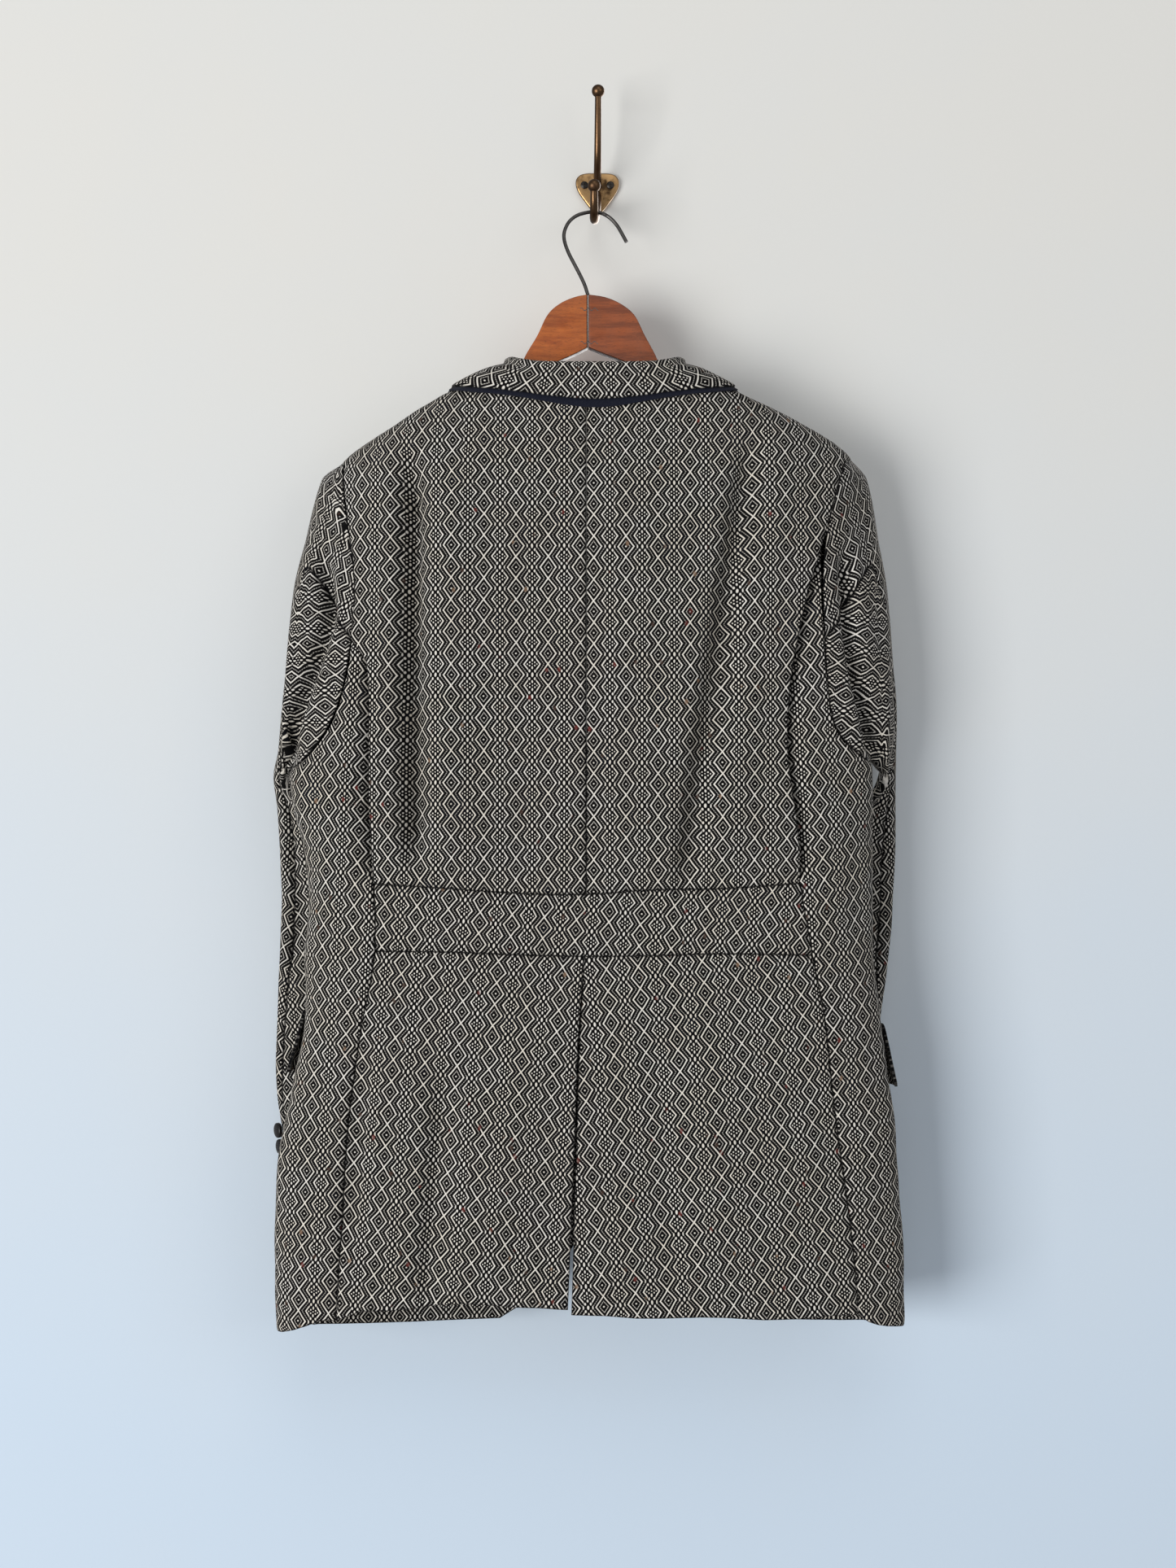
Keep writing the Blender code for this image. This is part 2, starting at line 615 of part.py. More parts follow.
def add_back_upper(side):
    """Half the back above the belt, from the centre seam to the armhole and the pleat's folded edge."""
    sign = sign_of(side)
    half_gap = SEAM_GAP / 2
    cols = 13
    hole = armhole(side, half_gap)[: PLEAT_TOP_STEP[side] + 1][::-1]
    pleat = places_along_back(PLEAT_EDGE[side], pleat_heights(side)[:-1], -sign * half_gap)
    pleat[0, 1] += half_gap
    outer_edge = np.concatenate([pleat, hole])
    outer_edge[-1, 0] -= sign * half_gap
    foot = edge_between(sign * half_gap, outer_edge[0, 0], cols, BELT_TOP) + (0, half_gap)
    foot[-1] = outer_edge[0]
    top = top_edge(side, cols, 7, outer_edge[-1])
    heights = closing_steps(foot[0, 1], top[0, 1], len(outer_edge))
    centre = np.stack([np.full(len(heights), sign * half_gap), heights], axis=1)
    places = patch(foot, top, centre, outer_edge)
    add_panel("back_upper_" + side, places, pleat_lift(places, side))


def pleat_lift(places, side):
    """How far the back stands proud of the side body along its action pleat."""
    s, z = places[..., 0], places[..., 1]
    heights = np.array(PLEAT_EDGE[side], float)[:, 1] * MM
    edge = length_at(line_at(PLEAT_EDGE[side], z.ravel()), z.ravel()).reshape(z.shape)
    near = 1 - step_up(np.abs(edge) - np.abs(s), 0, 40 * MM)
    along = step_up(z, heights[-1] + 4 * MM, heights[-1] + 45 * MM)
    along = along * (1 - step_up(z, heights[0] - 45 * MM, heights[0] - 2 * MM))
    return 1.6 * MM * near * along


def ridge_places(side, x, shift):
    """Places on the shoulder seam, at distances across, moved back or forward from the seam."""
    right = side == "right"
    z = ridge_height(side, x)
    length = side_length(z, right)
    return np.stack([sign_of(side) * (length + shift), z], axis=1)


def ridge_height(side, x):
    """Height of the shoulder seam at a distance along X."""
    heights = np.linspace(SECTION["height"][0], -262 * MM, 120)
    across = smooth(SECTION["height"], SECTION[side], heights)
    order = np.argsort(across)
    return np.interp(x, across[order], heights[order])


def top_edge(side, cols, neck_cols, shoulder_end):
    """The back's top edge: the neck from the centre seam, then the shoulder seam."""
    sign = sign_of(side)
    half_gap = SEAM_GAP / 2
    neck_end = NECK_EDGE[0 if side == "left" else -1][0] * MM
    neck_x = np.linspace(MIDDLE_X + sign * half_gap, neck_end, neck_cols)[:-1]
    neck_z = height_at(NECK_EDGE, neck_x) - half_gap
    neck = np.stack([length_at(neck_x, neck_z), neck_z], axis=1)
    neck[0, 0] = sign * half_gap
    end_x = smooth(SECTION["height"], SECTION[side], SHOULDER_POINT[side] * MM)
    ridge_x = np.linspace(neck_end, end_x, cols - neck_cols + 1)
    ridge = ridge_places(side, ridge_x, -half_gap)
    ridge[-1] = shoulder_end
    return np.concatenate([neck, ridge])


def add_belt():
    """The sewn-in half belt across the back's waist."""
    half_gap = SEAM_GAP / 2
    cols, rows = 25, 3
    ends = []
    for side in ("left", "right"):
        heights = np.linspace(SEAM_BELT_FOOT[side] + half_gap, SEAM_BELT_TOP[side] - half_gap, rows)
        ends.append(places_along_back(SIDE_SEAM[side], heights, -sign_of(side) * half_gap))
    top = edge_between(ends[0][-1, 0], ends[1][-1, 0], cols, BELT_TOP) - (0, half_gap)
    foot = edge_between(ends[0][0, 0], ends[1][0, 0], cols, BELT_FOOT) + (0, half_gap)
    top[0], top[-1], foot[0], foot[-1] = ends[0][-1], ends[1][-1], ends[0][0], ends[1][0]
    add_panel("belt", patch(foot, top, ends[0], ends[1]), out=0.4 * MM)


def add_skirt(side):
    """Half the back below the belt, from the centre vent to the side seam."""
    sign = sign_of(side)
    half_gap = SEAM_GAP / 2
    cols = 10
    seam = places_along_back(SIDE_SEAM[side], seam_heights(side), -sign * half_gap)
    seam[-1, 1] -= half_gap
    top_z = height_at(BELT_FOOT, MIDDLE_X) - half_gap
    heights = np.linspace(hem_height(sign * 14 * MM), top_z, SKIRT_ROWS)
    vent_s = line_at(VENT_EDGE, heights) - MIDDLE_X + sign * half_gap
    if side == "right":
        vent_s = vent_s + VENT_OPENING * (heights[-1] - heights) / (heights[-1] - heights[0])
    centre = np.stack([vent_s, heights], axis=1)
    top = edge_between(vent_s[-1], seam[-1, 0], cols, BELT_FOOT) - (0, half_gap)
    top[0], top[-1] = centre[-1], seam[-1]
    foot_s = np.linspace(vent_s[0], seam[0, 0], cols)
    foot = np.stack([foot_s, hem_height(foot_s)], axis=1)
    foot[0], foot[-1] = centre[0], seam[0]
    places = patch(foot, top, centre, seam)
    near = 1 - step_up(np.abs(places[..., 0] - vent_s[:, None]), 0, 30 * MM)
    below = 1 - step_up(places[..., 1], top_z - 40 * MM, top_z)
    add_panel("back_skirt_" + side, places, -sign * VENT_LIFT * near * below)


def add_side_panel(side):
    """The side body: its back edge runs up the side seam, past the belt's end and under the pleat."""
    sign = sign_of(side)
    half_gap = SEAM_GAP / 2
    hole = armhole(side, half_gap)[PLEAT_TOP_STEP[side]: FRONT_SEAM_STEP + 1]
    belt_middle = (SEAM_BELT_TOP[side] + SEAM_BELT_FOOT[side]) / 2
    lower = np.append(seam_heights(side), belt_middle)
    seam = places_along_back(SIDE_SEAM[side], lower, sign * half_gap)
    under = places_along_back(PLEAT_EDGE[side], pleat_heights(side), sign * half_gap)
    under[-1] = hole[0]
    back_edge = np.concatenate([seam, under])
    back_edge[:, 0] -= sign * pleat_underlap(side, back_edge[:, 1])
    front_edge = front_seam(side) - (sign * half_gap, 0)
    front_edge[-1] = hole[-1] - (sign * half_gap, 0)
    foot_s = np.linspace(back_edge[0, 0], front_edge[0, 0], len(hole))
    foot = np.stack([foot_s, hem_height(foot_s)], axis=1)
    foot[0], foot[-1] = back_edge[0], front_edge[0]
    hole[-1] = front_edge[-1]
    places = patch(foot, hole, back_edge, front_edge)
    add_panel("side_panel_" + side, places, -pleat_drop(places, side))


def pleat_span(side, z):
    """1 along the open part of an action pleat, and 0 at its closed ends."""
    heights = np.array(PLEAT_EDGE[side], float)[:, 1] * MM
    start = step_up(z, heights[-1] + 2 * MM, heights[-1] + 22 * MM)
    return start * (1 - step_up(z, heights[0] - 30 * MM, heights[0] - 8 * MM))


def pleat_underlap(side, z):
    """How far the side body reaches under the back's folded edge."""
    heights = np.array(PLEAT_EDGE[side], float)[:, 1] * MM
    start = step_up(z, heights[-1] + 24 * MM, heights[-1] + 40 * MM)
    return 14 * MM * start * (1 - step_up(z, heights[0] - 60 * MM, heights[0] - 34 * MM))


def pleat_drop(places, side):
    """How far the side body sinks under the back along the pleat."""
    s, z = places[..., 0], places[..., 1]
    edge = length_at(line_at(PLEAT_EDGE[side], z.ravel()), z.ravel()).reshape(z.shape)
    near = 1 - step_up(np.abs(s) - np.abs(edge), 1 * MM, 24 * MM)
    return (CLOTH + LAYER_GAP) * near * pleat_span(side, z)


def front_length(side, x, z):
    """Length round to places at x on the front; past its middle it grows by the distance."""
    sign = sign_of(side)
    past = (MIDDLE_X - x) * sign
    own_x = np.where(past > 0, MIDDLE_X + sign * WELD, x)
    on_side = np.abs(length_at(own_x.ravel(), z.ravel(), front=True)).reshape(x.shape)
    total = girth(z.ravel(), side == "right").reshape(x.shape)
    return sign * np.where(past > 0, total + past, on_side)


def front_line(points, side, heights):
    """Length round, on the front, to a line given from the fronts' middle toward its own side."""
    across, z = np.array(points, float).T * MM
    return front_length(side, FRONT_MIDDLE_X + sign_of(side) * smooth(z, across, heights), heights)


def front_patch(side, foot, top, first, last):
    """A patch between edges on the front, worked out along X so that it stays even at the shoulder."""
    edges = []
    for edge in (foot, top, first, last):
        x, _ = section_point(edge[:, 0], edge[:, 1])
        edges.append(np.stack([x, edge[:, 1]], axis=1))
    grid = patch(*edges)
    places = np.stack([front_length(side, grid[..., 0], grid[..., 1]), grid[..., 1]], axis=2)
    places[0], places[-1], places[:, 0], places[:, -1] = foot, top, first, last
    return places


def front_places(side):
    """The grid of places of a front: from its side seam and armhole to its edge and roll line."""
    sign = sign_of(side)
    half_gap = SEAM_GAP / 2
    hole = armhole(side, half_gap)
    hole = np.concatenate([hole[FRONT_SEAM_STEP:], hole[:1]])
    hole[0, 0] += sign * half_gap
    hole[-1, 0] += sign * half_gap
    seam = front_seam(side)[:-1] + (sign * half_gap, 0)
    outer_edge = np.concatenate([seam, hole])
    edge_rows = 18
    edge_z = np.linspace(FRONT_EDGE[-1][1] * MM, BREAK_HEIGHT, edge_rows)
    roll_z = closing_steps(BREAK_HEIGHT, NECK_POINT * MM, len(outer_edge) - edge_rows + 1)[1:]
    edge = np.stack([front_line(FRONT_EDGE, side, edge_z), edge_z], axis=1)
    roll = np.stack([front_line(ROLL_LINE, side, roll_z), roll_z], axis=1)
    inner_edge = np.concatenate([edge, roll])
    cols = 8
    neck_x = NECK_EDGE[0 if side == "left" else -1][0] * MM
    shoulder_x = smooth(SECTION["height"], SECTION[side], SHOULDER_POINT[side] * MM)
    top = ridge_places(side, np.linspace(shoulder_x, neck_x, cols), half_gap)
    top[0] = outer_edge[-1]
    inner_edge[-1] = top[-1]
    foot_s = np.linspace(outer_edge[0, 0], inner_edge[0, 0], cols)
    foot = np.stack([foot_s, hem_height(foot_s)], axis=1)
    foot[0], foot[-1] = outer_edge[0], inner_edge[0]
    return front_patch(side, foot, top, outer_edge, inner_edge)


def front_lift(s, z, side):
    """How far the left front stands off where it laps over the right one and the right lapel's end."""
    if side == "right":
        return np.zeros(np.shape(s))
    total = girth(np.ravel(z), False).reshape(np.shape(z))
    layers = 1 + step_up(z, -660 * MM, -620 * MM) * (1 - step_up(z, -500 * MM, -450 * MM))
    return (CLOTH + LAYER_GAP) * layers * step_up(np.abs(s), total - 66 * MM, total - 30 * MM)


def add_front(side):
    places = front_places(side)
    add_panel("front_" + side, places, front_lift(places[..., 0], places[..., 1], side))


def add_lapel(side):
    """The turned-back lapel, lying on its front."""
    sign = sign_of(side)
    rows, cols = 11, 5
    known = np.array([point[1] for point in LAPEL_EDGE[::-1]], float) * MM
    outer_z = np.interp(np.linspace(0, 1, rows), np.linspace(0, 1, len(known)), known)
    roll_z = np.linspace(BREAK_HEIGHT, LAPEL_TOP[0][1] * MM, rows)
    outer_edge = np.stack([front_line(LAPEL_EDGE, side, outer_z), outer_z], axis=1)
    roll = np.stack([front_line(ROLL_LINE, side, roll_z) - sign * 1.5 * MM, roll_z], axis=1)
    top_z = np.linspace(LAPEL_TOP[0][1], LAPEL_TOP[-1][1], cols) * MM
    top = np.stack([front_line(LAPEL_TOP, side, top_z), top_z], axis=1)
    top[0], top[-1] = roll[-1], outer_edge[-1]
    foot = roll[0] + np.linspace(0, 1, cols)[:, None] * (outer_edge[0] - roll[0])
    places = front_patch(side, foot, top, roll, outer_edge)
    lift = front_lift(places[..., 0], places[..., 1], side)
    add_panel("lapel_" + side, places, lift + CLOTH + LAPEL_GAP)


def add_flap(side):
    """A pocket flap on the front, from the side toward the middle, standing off at its foot."""
    sign = sign_of(side)
    rows, cols = 4, 12
    top = FLAP_TOP[side]
    z = np.linspace(top - FLAP_HEIGHT, top, rows)[:, None] + np.zeros((1, cols))
    along = np.linspace(0, 1, cols)[None, :] ** 1.4
    start = side_length(z[:, 0], side == "right")[:, None] + FLAP_START
    s = start + FLAP_LENGTH * along
    corner = 1 - np.linspace(0, 1, rows)[:, None]
    z = z + 9 * MM * corner**2 * step_up(along, 0.85, 1.0)
    out = CLOTH + FLAP_GAP + FLAP_STANDS_OFF * corner
    add_panel("pocket_flap_" + side, np.stack([sign * s, z], axis=2), out)


def sleeve_loop(side):
    """The armhole's points and normals on the sleeve's side of the seam, and the way into the sleeve."""
    places = armhole(side, -1.5 * SEAM_GAP)
    point, normal = surface(places[:, 0], places[:, 1])
    inside = armhole(side, -8 * MM)
    ahead = surface(inside[:, 0], inside[:, 1])[0] - point
    return point, normal, unit(ahead)


def sleeve_rings(side):
    """Points of the sleeve, ring by ring from the armhole to the cuff, and their outward normals."""
    column = columns_of(SLEEVE_RINGS[side], SLEEVE_COLUMNS)
    turn = np.linspace(0, 2 * math.pi, ARMHOLE_STEPS, endpoint=False)
    along = np.sign(np.cos(turn)) * np.abs(np.cos(turn)) ** (2 / SLEEVE_ROUNDING)
    across = np.sign(np.sin(turn)) * np.abs(np.sin(turn)) ** (2 / SLEEVE_ROUNDING)
    rings = []
    for row in range(len(column["half"])):
        outer = np.array([column["out_x"][row], -column["out_d"][row], column["out_z"][row]])
        inner = np.array([column["in_x"][row], -column["in_d"][row], column["in_z"][row]])
        half = (outer - inner) / 2
        reach = unit(half)
        out = unit(np.array([0, -1, 0]) + reach[1] * reach)
        middle = (outer + inner) / 2
        rings.append(middle + along[:, None] * half + across[:, None] * out * column["half"][row])
    point, loop_normal, ahead = sleeve_loop(side)
    first = rings[0]
    apart = np.linalg.norm(first - point, axis=1)[:, None]
    onward = rings[1] - rings[0]
    onward = onward / np.maximum(np.linalg.norm(onward, axis=1)[:, None], 1 * MM) * apart
    between = []
    for f in (0.0, 0.3, 0.64):
        between.append(
            (2 * f**3 - 3 * f**2 + 1) * point
            + (f**3 - 2 * f**2 + f) * ahead * apart
            + (3 * f**2 - 2 * f**3) * first
            + (f**3 - f**2) * onward
        )
    rings = np.array(between + rings)
    normal = ring_normals(rings, side)
    rings = rings + normal * crease_height(rings, side)[..., None]
    normal = ring_normals(rings, side)
    normal[0] = loop_normal
    normal[1] = unit(normal[1] + loop_normal)
    return rings, normal


def ring_normals(rings, side):
    around = np.roll(rings, -1, axis=1) - np.roll(rings, 1, axis=1)
    down = np.gradient(rings, axis=0)
    return unit(np.cross(around, down) * sign_of(side))


def crease_height(rings, side):
    """How far the creases move the sleeve's cloth, at each ring and step."""
    row = np.arange(rings.shape[0], dtype=float)[:, None] - 3
    step = np.arange(rings.shape[1], dtype=float)[None, :]
    total = np.zeros(rings.shape[:2])
    for from_ring, from_step, to_ring, to_step, half_steps, depth in SLEEVE_CREASES[side]:
        f = np.clip((row - from_ring) / (to_ring - from_ring), 0, 1)
        path = from_step + (to_step - from_step) * f
        ends = np.exp(-np.clip(np.abs(row - (from_ring + to_ring) / 2) - (to_ring - from_ring) / 2, 0, None) ** 2)
        total -= depth * MM * ends * np.exp(-(((step - path) / half_steps) ** 2))
    total[0] = 0
    return total


def ring_at(values, steps):
    """Values round one ring, at steps that may lie between its own."""
    steps = np.asarray(steps) % ARMHOLE_STEPS
    before = np.floor(steps).astype(int)
    f = (steps - before)[:, None]
    return values[before % ARMHOLE_STEPS] * (1 - f) + values[(before + 1) % ARMHOLE_STEPS] * f


def add_sleeve_piece(name, side, top_piece):
    """The top sleeve or the under sleeve, between the hind-arm and the fore-arm seams."""
    rings, normals = sleeve_rings(side)
    count = len(rings)
    first_steps = FORE_SEAM_STEPS[0] - HIND_SEAM_STEPS[0]
    cols = int(ARMHOLE_STEPS - first_steps if top_piece else first_steps) + 1
    outer, inner = [], []
    for row in range(count):
        f = row / (count - 1)
        hind = HIND_SEAM_STEPS[0] + (HIND_SEAM_STEPS[1] - HIND_SEAM_STEPS[0]) * f
        fore = FORE_SEAM_STEPS[0] + (FORE_SEAM_STEPS[1] - FORE_SEAM_STEPS[0]) * f
        start, end = (fore, hind + ARMHOLE_STEPS) if top_piece else (hind, fore)
        steps = np.linspace(start, end, cols)
        lengths = np.linalg.norm(np.roll(rings[row], -1, axis=0) - rings[row], axis=1)
        steps[0] += SEAM_GAP / 2 / max(lengths[int(start) % ARMHOLE_STEPS], 4 * MM)
        steps[-1] -= SEAM_GAP / 2 / max(lengths[int(end - 0.01) % ARMHOLE_STEPS], 4 * MM)
        points = ring_at(rings[row], steps)
        normal = unit(ring_at(normals[row], steps))
        outer.append(points)
        inner.append(points - normal * CLOTH)
    add_wall(name, np.array(outer), np.array(inner))


def collar_rows(side):
    """The collar's neck, fold and outer-edge points from the middle of the back to its end."""
    sign = sign_of(side)
    column = columns_of(COLLAR_ROWS, COLLAR_COLUMNS)
    known = np.arange(len(COLLAR_ROWS))
    fine = np.linspace(0, known[-1], COLLAR_STEPS)
    edge_x = COLLAR_MIDDLE_X + sign * column["edge_x"]
    edge_z = column["edge_z"]
    edge_s = np.where(
        known < COLLAR_RIDGE_ROW, length_at(edge_x, edge_z), sign * np.abs(length_at(edge_x, edge_z, front=True))
    )
    edge_s[COLLAR_RIDGE_ROW] = sign * side_length(edge_z[COLLAR_RIDGE_ROW], side == "right")[0]
    value = {name: smooth(known, column[name], fine) for name in COLLAR_COLUMNS}
    neck = np.stack([COLLAR_MIDDLE_X + sign * value["neck_x"], -value["neck_d"], value["neck_z"]], axis=1)
    fold = np.stack([COLLAR_MIDDLE_X + sign * value["fold_x"], -value["fold_d"], value["fold_z"]], axis=1)
    edge = surface(smooth(known, edge_s, fine), value["edge_z"], COLLAR_LIFT)[0]
    return neck, fold, edge, value["roll"][:, None]


def collar_grid():
    """Points of the collar's outer face: along its length, and from the neck seam over the fold."""
    halves = zip(collar_rows("left"), collar_rows("right"))
    neck, fold, edge, roll = (np.concatenate([left[::-1], right[1:]]) for left, right in halves)
    run = np.gradient(fold, axis=0)
    round_neck = step_up(-fold[:, 1], 50 * MM, 80 * MM)
    sideways = np.stack([run[:, 1], -run[:, 0] * round_neck, 0 * round_neck], axis=1)
    up = unit(np.cross(sideways, run))
    outward = unit(np.cross(run, up))
    profile = [neck]
    for degrees in (185, 140, 90, 40, 0):
        turn = math.radians(degrees)
        profile.append(fold - up * roll + (outward * math.cos(turn) + up * math.sin(turn)) * roll)
    foot_of_fold = profile[-1]
    for f in (0.3, 0.65):
        profile.append(kept_off(foot_of_fold * (1 - f) + edge * f + outward * 0.8 * MM, COLLAR_LIFT))
    profile.append(edge)
    return np.array(profile).transpose(1, 0, 2)


def grid_normals(points):
    around = np.gradient(points, axis=0)
    down = np.gradient(points, axis=1)
    return unit(np.cross(down, around))


def add_collar():
    """The tweed collar and the felt beneath it, which shows along the outer edge."""
    points = collar_grid()
    normal = grid_normals(points)
    add_wall("top_collar", points, points - normal * COLLAR_CLOTH)
    under = points - normal * (COLLAR_CLOTH + SEAM_GAP)
    under[:, -1] += unit(under[:, -1] - under[:, -2]) * UNDER_COLLAR_SHOWS
    add_wall("under_collar", under, under - normal * FELT, "felt")


def add_turned(name, profile, centre, axis, finish_name, steps=20):
    """A turned shape: a profile of (radius, height) screwed round, its height along the axis."""
    mesh = bpy.data.meshes.new(name)
    bm = bmesh.new()
    verts = [bm.verts.new((radius, 0, height)) for radius, height in profile]
    for start, end in zip(verts, verts[1:]):
        bm.edges.new((start, end))
    bm.to_mesh(mesh)
    bm.free()
    obj = add_object(name, mesh, finish_name)
    screw = obj.modifiers.new("Screw", "SCREW")
    screw.steps = steps
    screw.render_steps = steps
    screw.use_merge_vertices = True
    screw.merge_threshold = 0.00002
    obj.rotation_mode = "QUATERNION"
    obj.rotation_quaternion = Vector(axis).to_track_quat("Z", "Y")
    obj.location = centre
    return obj


def add_button(name, centre, axis, diameter):
    """A domed button with a rolled rim."""
    radius = diameter / 2
    thick = BUTTON_THICKNESS
    profile = (
        (0, thick * 0.7), (radius * 0.62, thick * 0.7), (radius * 0.8, thick), (radius, thick * 0.7),
        (radius * 0.9, thick * 0.25), (radius * 0.4, 0), (0, 0),
    )
    add_turned(name, profile, centre, axis, "horn", steps=14)


def add_front_buttons():
    for number, height in enumerate(FRONT_BUTTON_HEIGHTS, 1):
        heights = np.array([height])
        total = girth(heights, False)
        lift = front_lift(-total, heights, "left") + FRONT_SHANK
        point, normal = surface(-total, heights, lift)
        add_button(f"front_button_{number}", point[0], normal[0], FRONT_BUTTON)


def add_cuff_buttons(side):
    """Two buttons on the top sleeve's edge by the cuff."""
    rings, normals = sleeve_rings(side)
    outer = rings[:, 0]
    for number, height in enumerate(CUFF_BUTTON_HEIGHTS, 1):
        order = np.argsort(outer[:, 2])
        point = np.array([np.interp(height, outer[order, 2], outer[order, axis]) for axis in range(3)])
        normal = np.array([np.interp(height, outer[order, 2], normals[order, 0, axis]) for axis in range(3)])
        normal = unit(normal)
        add_button(f"cuff_button_{side}_{number}", point + normal * CUFF_SHANK, normal, CUFF_BUTTON)


def add_hanger_arm(side):
    """Half the wishbone hanger: rounded sections from the middle joint to the shoulder."""
    column = columns_of(HANGER_ARMS[side], HANGER_COLUMNS)
    known = np.arange(len(HANGER_ARMS[side]))
    fine = np.linspace(0, known[-1], 22)
    value = {name: smooth(known, column[name], fine) for name in HANGER_COLUMNS}
    half = HANGER_THICKNESS / 2
    ring = []
    for across, high in HANGER_PROFILE:
        drop = HANGER_ROUNDING if abs(across) == 1 else 0
        top = value["top"] - drop
        foot = value["foot"] + drop
        z = top if high else foot
        ring.append(np.stack([value["x"], across * half - value["depth"], z], axis=1))
    ring.append(ring[0])
    points = np.array(ring)
    bm = bmesh.new()
    bmesh.ops.create_grid(bm, x_segments=points.shape[1] - 1, y_segments=points.shape[0] - 1, size=1)
    for vert, point in zip(bm.verts, points.reshape(-1, 3)):
        vert.co = point
    bmesh.ops.remove_doubles(bm, verts=bm.verts[:], dist=WELD)
    bmesh.ops.holes_fill(bm, edges=[edge for edge in bm.edges if edge.is_boundary])
    add_object("hanger_" + side, closed_mesh("hanger_" + side, bm), "wood")


def route_curve(name, route, radii, points_wanted):
    """A round bar along a smooth curve through a route, which its radii are spread evenly along, all in mm."""
    x, z, depth = np.array(route, float).T * MM
    known = np.arange(len(route))
    fine = np.linspace(0, known[-1], points_wanted)
    radius = np.interp(fine, np.linspace(0, known[-1], len(radii)), radii)
    curve = bpy.data.curves.new(name, "CURVE")
    curve.dimensions = "3D"
    curve.bevel_depth = MM
    curve.bevel_resolution = 2
    curve.use_fill_caps = True
    spline = curve.splines.new("POLY")
    spline.points.add(points_wanted - 1)
    for point, thick, place in zip(spline.points, radius, zip(*(smooth(known, part, fine) for part in (x, -depth, z)))):
        point.co = (*place, 1)
        point.radius = thick
    obj = bpy.data.objects.new(name, curve)
    bpy.data.collections["sport_coat"].objects.link(obj)
    return obj


def mesh_of(obj):
    """The closed mesh of a curve object, which is then removed."""
    bpy.context.view_layer.update()
    mesh = bpy.data.meshes.new_from_object(obj.evaluated_get(bpy.context.evaluated_depsgraph_get()))
    mesh.name = obj.name
    mesh.transform(obj.matrix_world)
    bm = bmesh.new()
    bm.from_mesh(mesh)
    bmesh.ops.remove_doubles(bm, verts=bm.verts[:], dist=WELD)
    bmesh.ops.recalc_face_normals(bm, faces=bm.faces[:])
    bm.to_mesh(mesh)
    bm.free()
    bpy.data.objects.remove(obj)
    return mesh


def add_wire():
    wire = route_curve("hanger_wire", WIRE_ROUTE, WIRE_RADII, 30)
    add_object("hanger_wire", mesh_of(wire), "steel")


def plate_mesh():
    """The shield-shaped plate, its back on the wall plane."""
    curve = bpy.data.curves.new("plate", "CURVE")
    curve.dimensions = "2D"
    curve.fill_mode = "BOTH"
    curve.extrude = PLATE_THICKNESS / 2
    half = list(PLATE_OUTLINE)
    outline = half + [(-x, z) for x, z in reversed(half) if x > 0]
    spline = curve.splines.new("POLY")
    spline.points.add(len(outline) - 1)
    for point, (x, z) in zip(spline.points, outline):
        point.co = (x * MM, z * MM, 0, 1)
    spline.use_cyclic_u = True
    obj = bpy.data.objects.new("plate", curve)
    bpy.data.collections["sport_coat"].objects.link(obj)
    obj.rotation_euler = (math.pi / 2, 0, 0)
    obj.location = (0, -PLATE_THICKNESS / 2, 0)
    return mesh_of(obj)


def ball_mesh(place):
    """A prong's end ball."""
    mesh = bpy.data.meshes.new("ball")
    bm = bmesh.new()
    bmesh.ops.create_uvsphere(bm, u_segments=14, v_segments=9, radius=BALL_RADIUS)
    x, z, depth = place
    bmesh.ops.translate(bm, verts=bm.verts[:], vec=(x * MM, -depth * MM, z * MM))
    bm.to_mesh(mesh)
    bm.free()
    return mesh


def add_wall_hook():
    """The cast hook: its plate, two prongs and their balls, joined into one body."""
    hook = add_object("wall_hook", plate_mesh(), "brass")
    pieces = [
        mesh_of(route_curve("lower_prong", LOWER_PRONG, LOWER_PRONG_RADII, 14)),
        mesh_of(route_curve("upper_prong", UPPER_PRONG, UPPER_PRONG_RADII, 12)),
        ball_mesh(LOWER_BALL),
        ball_mesh(UPPER_BALL),
    ]
    for mesh in pieces:
        cutter = bpy.data.objects.new(mesh.name + "_part", mesh)
        bpy.data.collections["cutters"].objects.link(cutter)
        cutter.hide_render = True
        cutter.display_type = "WIRE"
        join = hook.modifiers.new(mesh.name, "BOOLEAN")
        join.operation = "UNION"
        join.object = cutter


def add_screws():
    profile = ((0, 1.6 * MM), (SCREW_RADIUS * 0.6, 1.3 * MM), (SCREW_RADIUS, 0.4 * MM), (SCREW_RADIUS, 0), (0, 0))
    for name, x in SCREW_PLACES.items():
        centre = (x, -PLATE_THICKNESS - SEAM_GAP, SCREW_HEIGHT)
        add_turned(name, profile, centre, (0, -1, 0), "screw", steps=16)


def main():
    for obj in list(bpy.data.objects):
        bpy.data.objects.remove(obj)
    collection_for("sport_coat")
    collection_for("cutters")
    add_belt()
    for side in ("left", "right"):
        add_back_upper(side)
        add_skirt(side)
        add_side_panel(side)
        add_front(side)
        add_lapel(side)
        add_flap(side)
        add_sleeve_piece("top_sleeve_" + side, side, True)
        add_sleeve_piece("under_sleeve_" + side, side, False)
        add_cuff_buttons(side)
        add_hanger_arm(side)
    add_collar()
    add_front_buttons()
    add_wire()
    add_wall_hook()
    add_screws()


main()
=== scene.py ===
"""The looks of a belted tweed sport coat on a wooden hanger and a brass wall hook.

Metres, +Z up, the wall is the plane y = 0 and everything hangs in front of it, at y < 0. Left is the
wearer's left, at -X. Each cloth piece lies on one body surface: a place on it is its length round the coat
from the middle of the back (negative on the left) and its height.
"""

import math

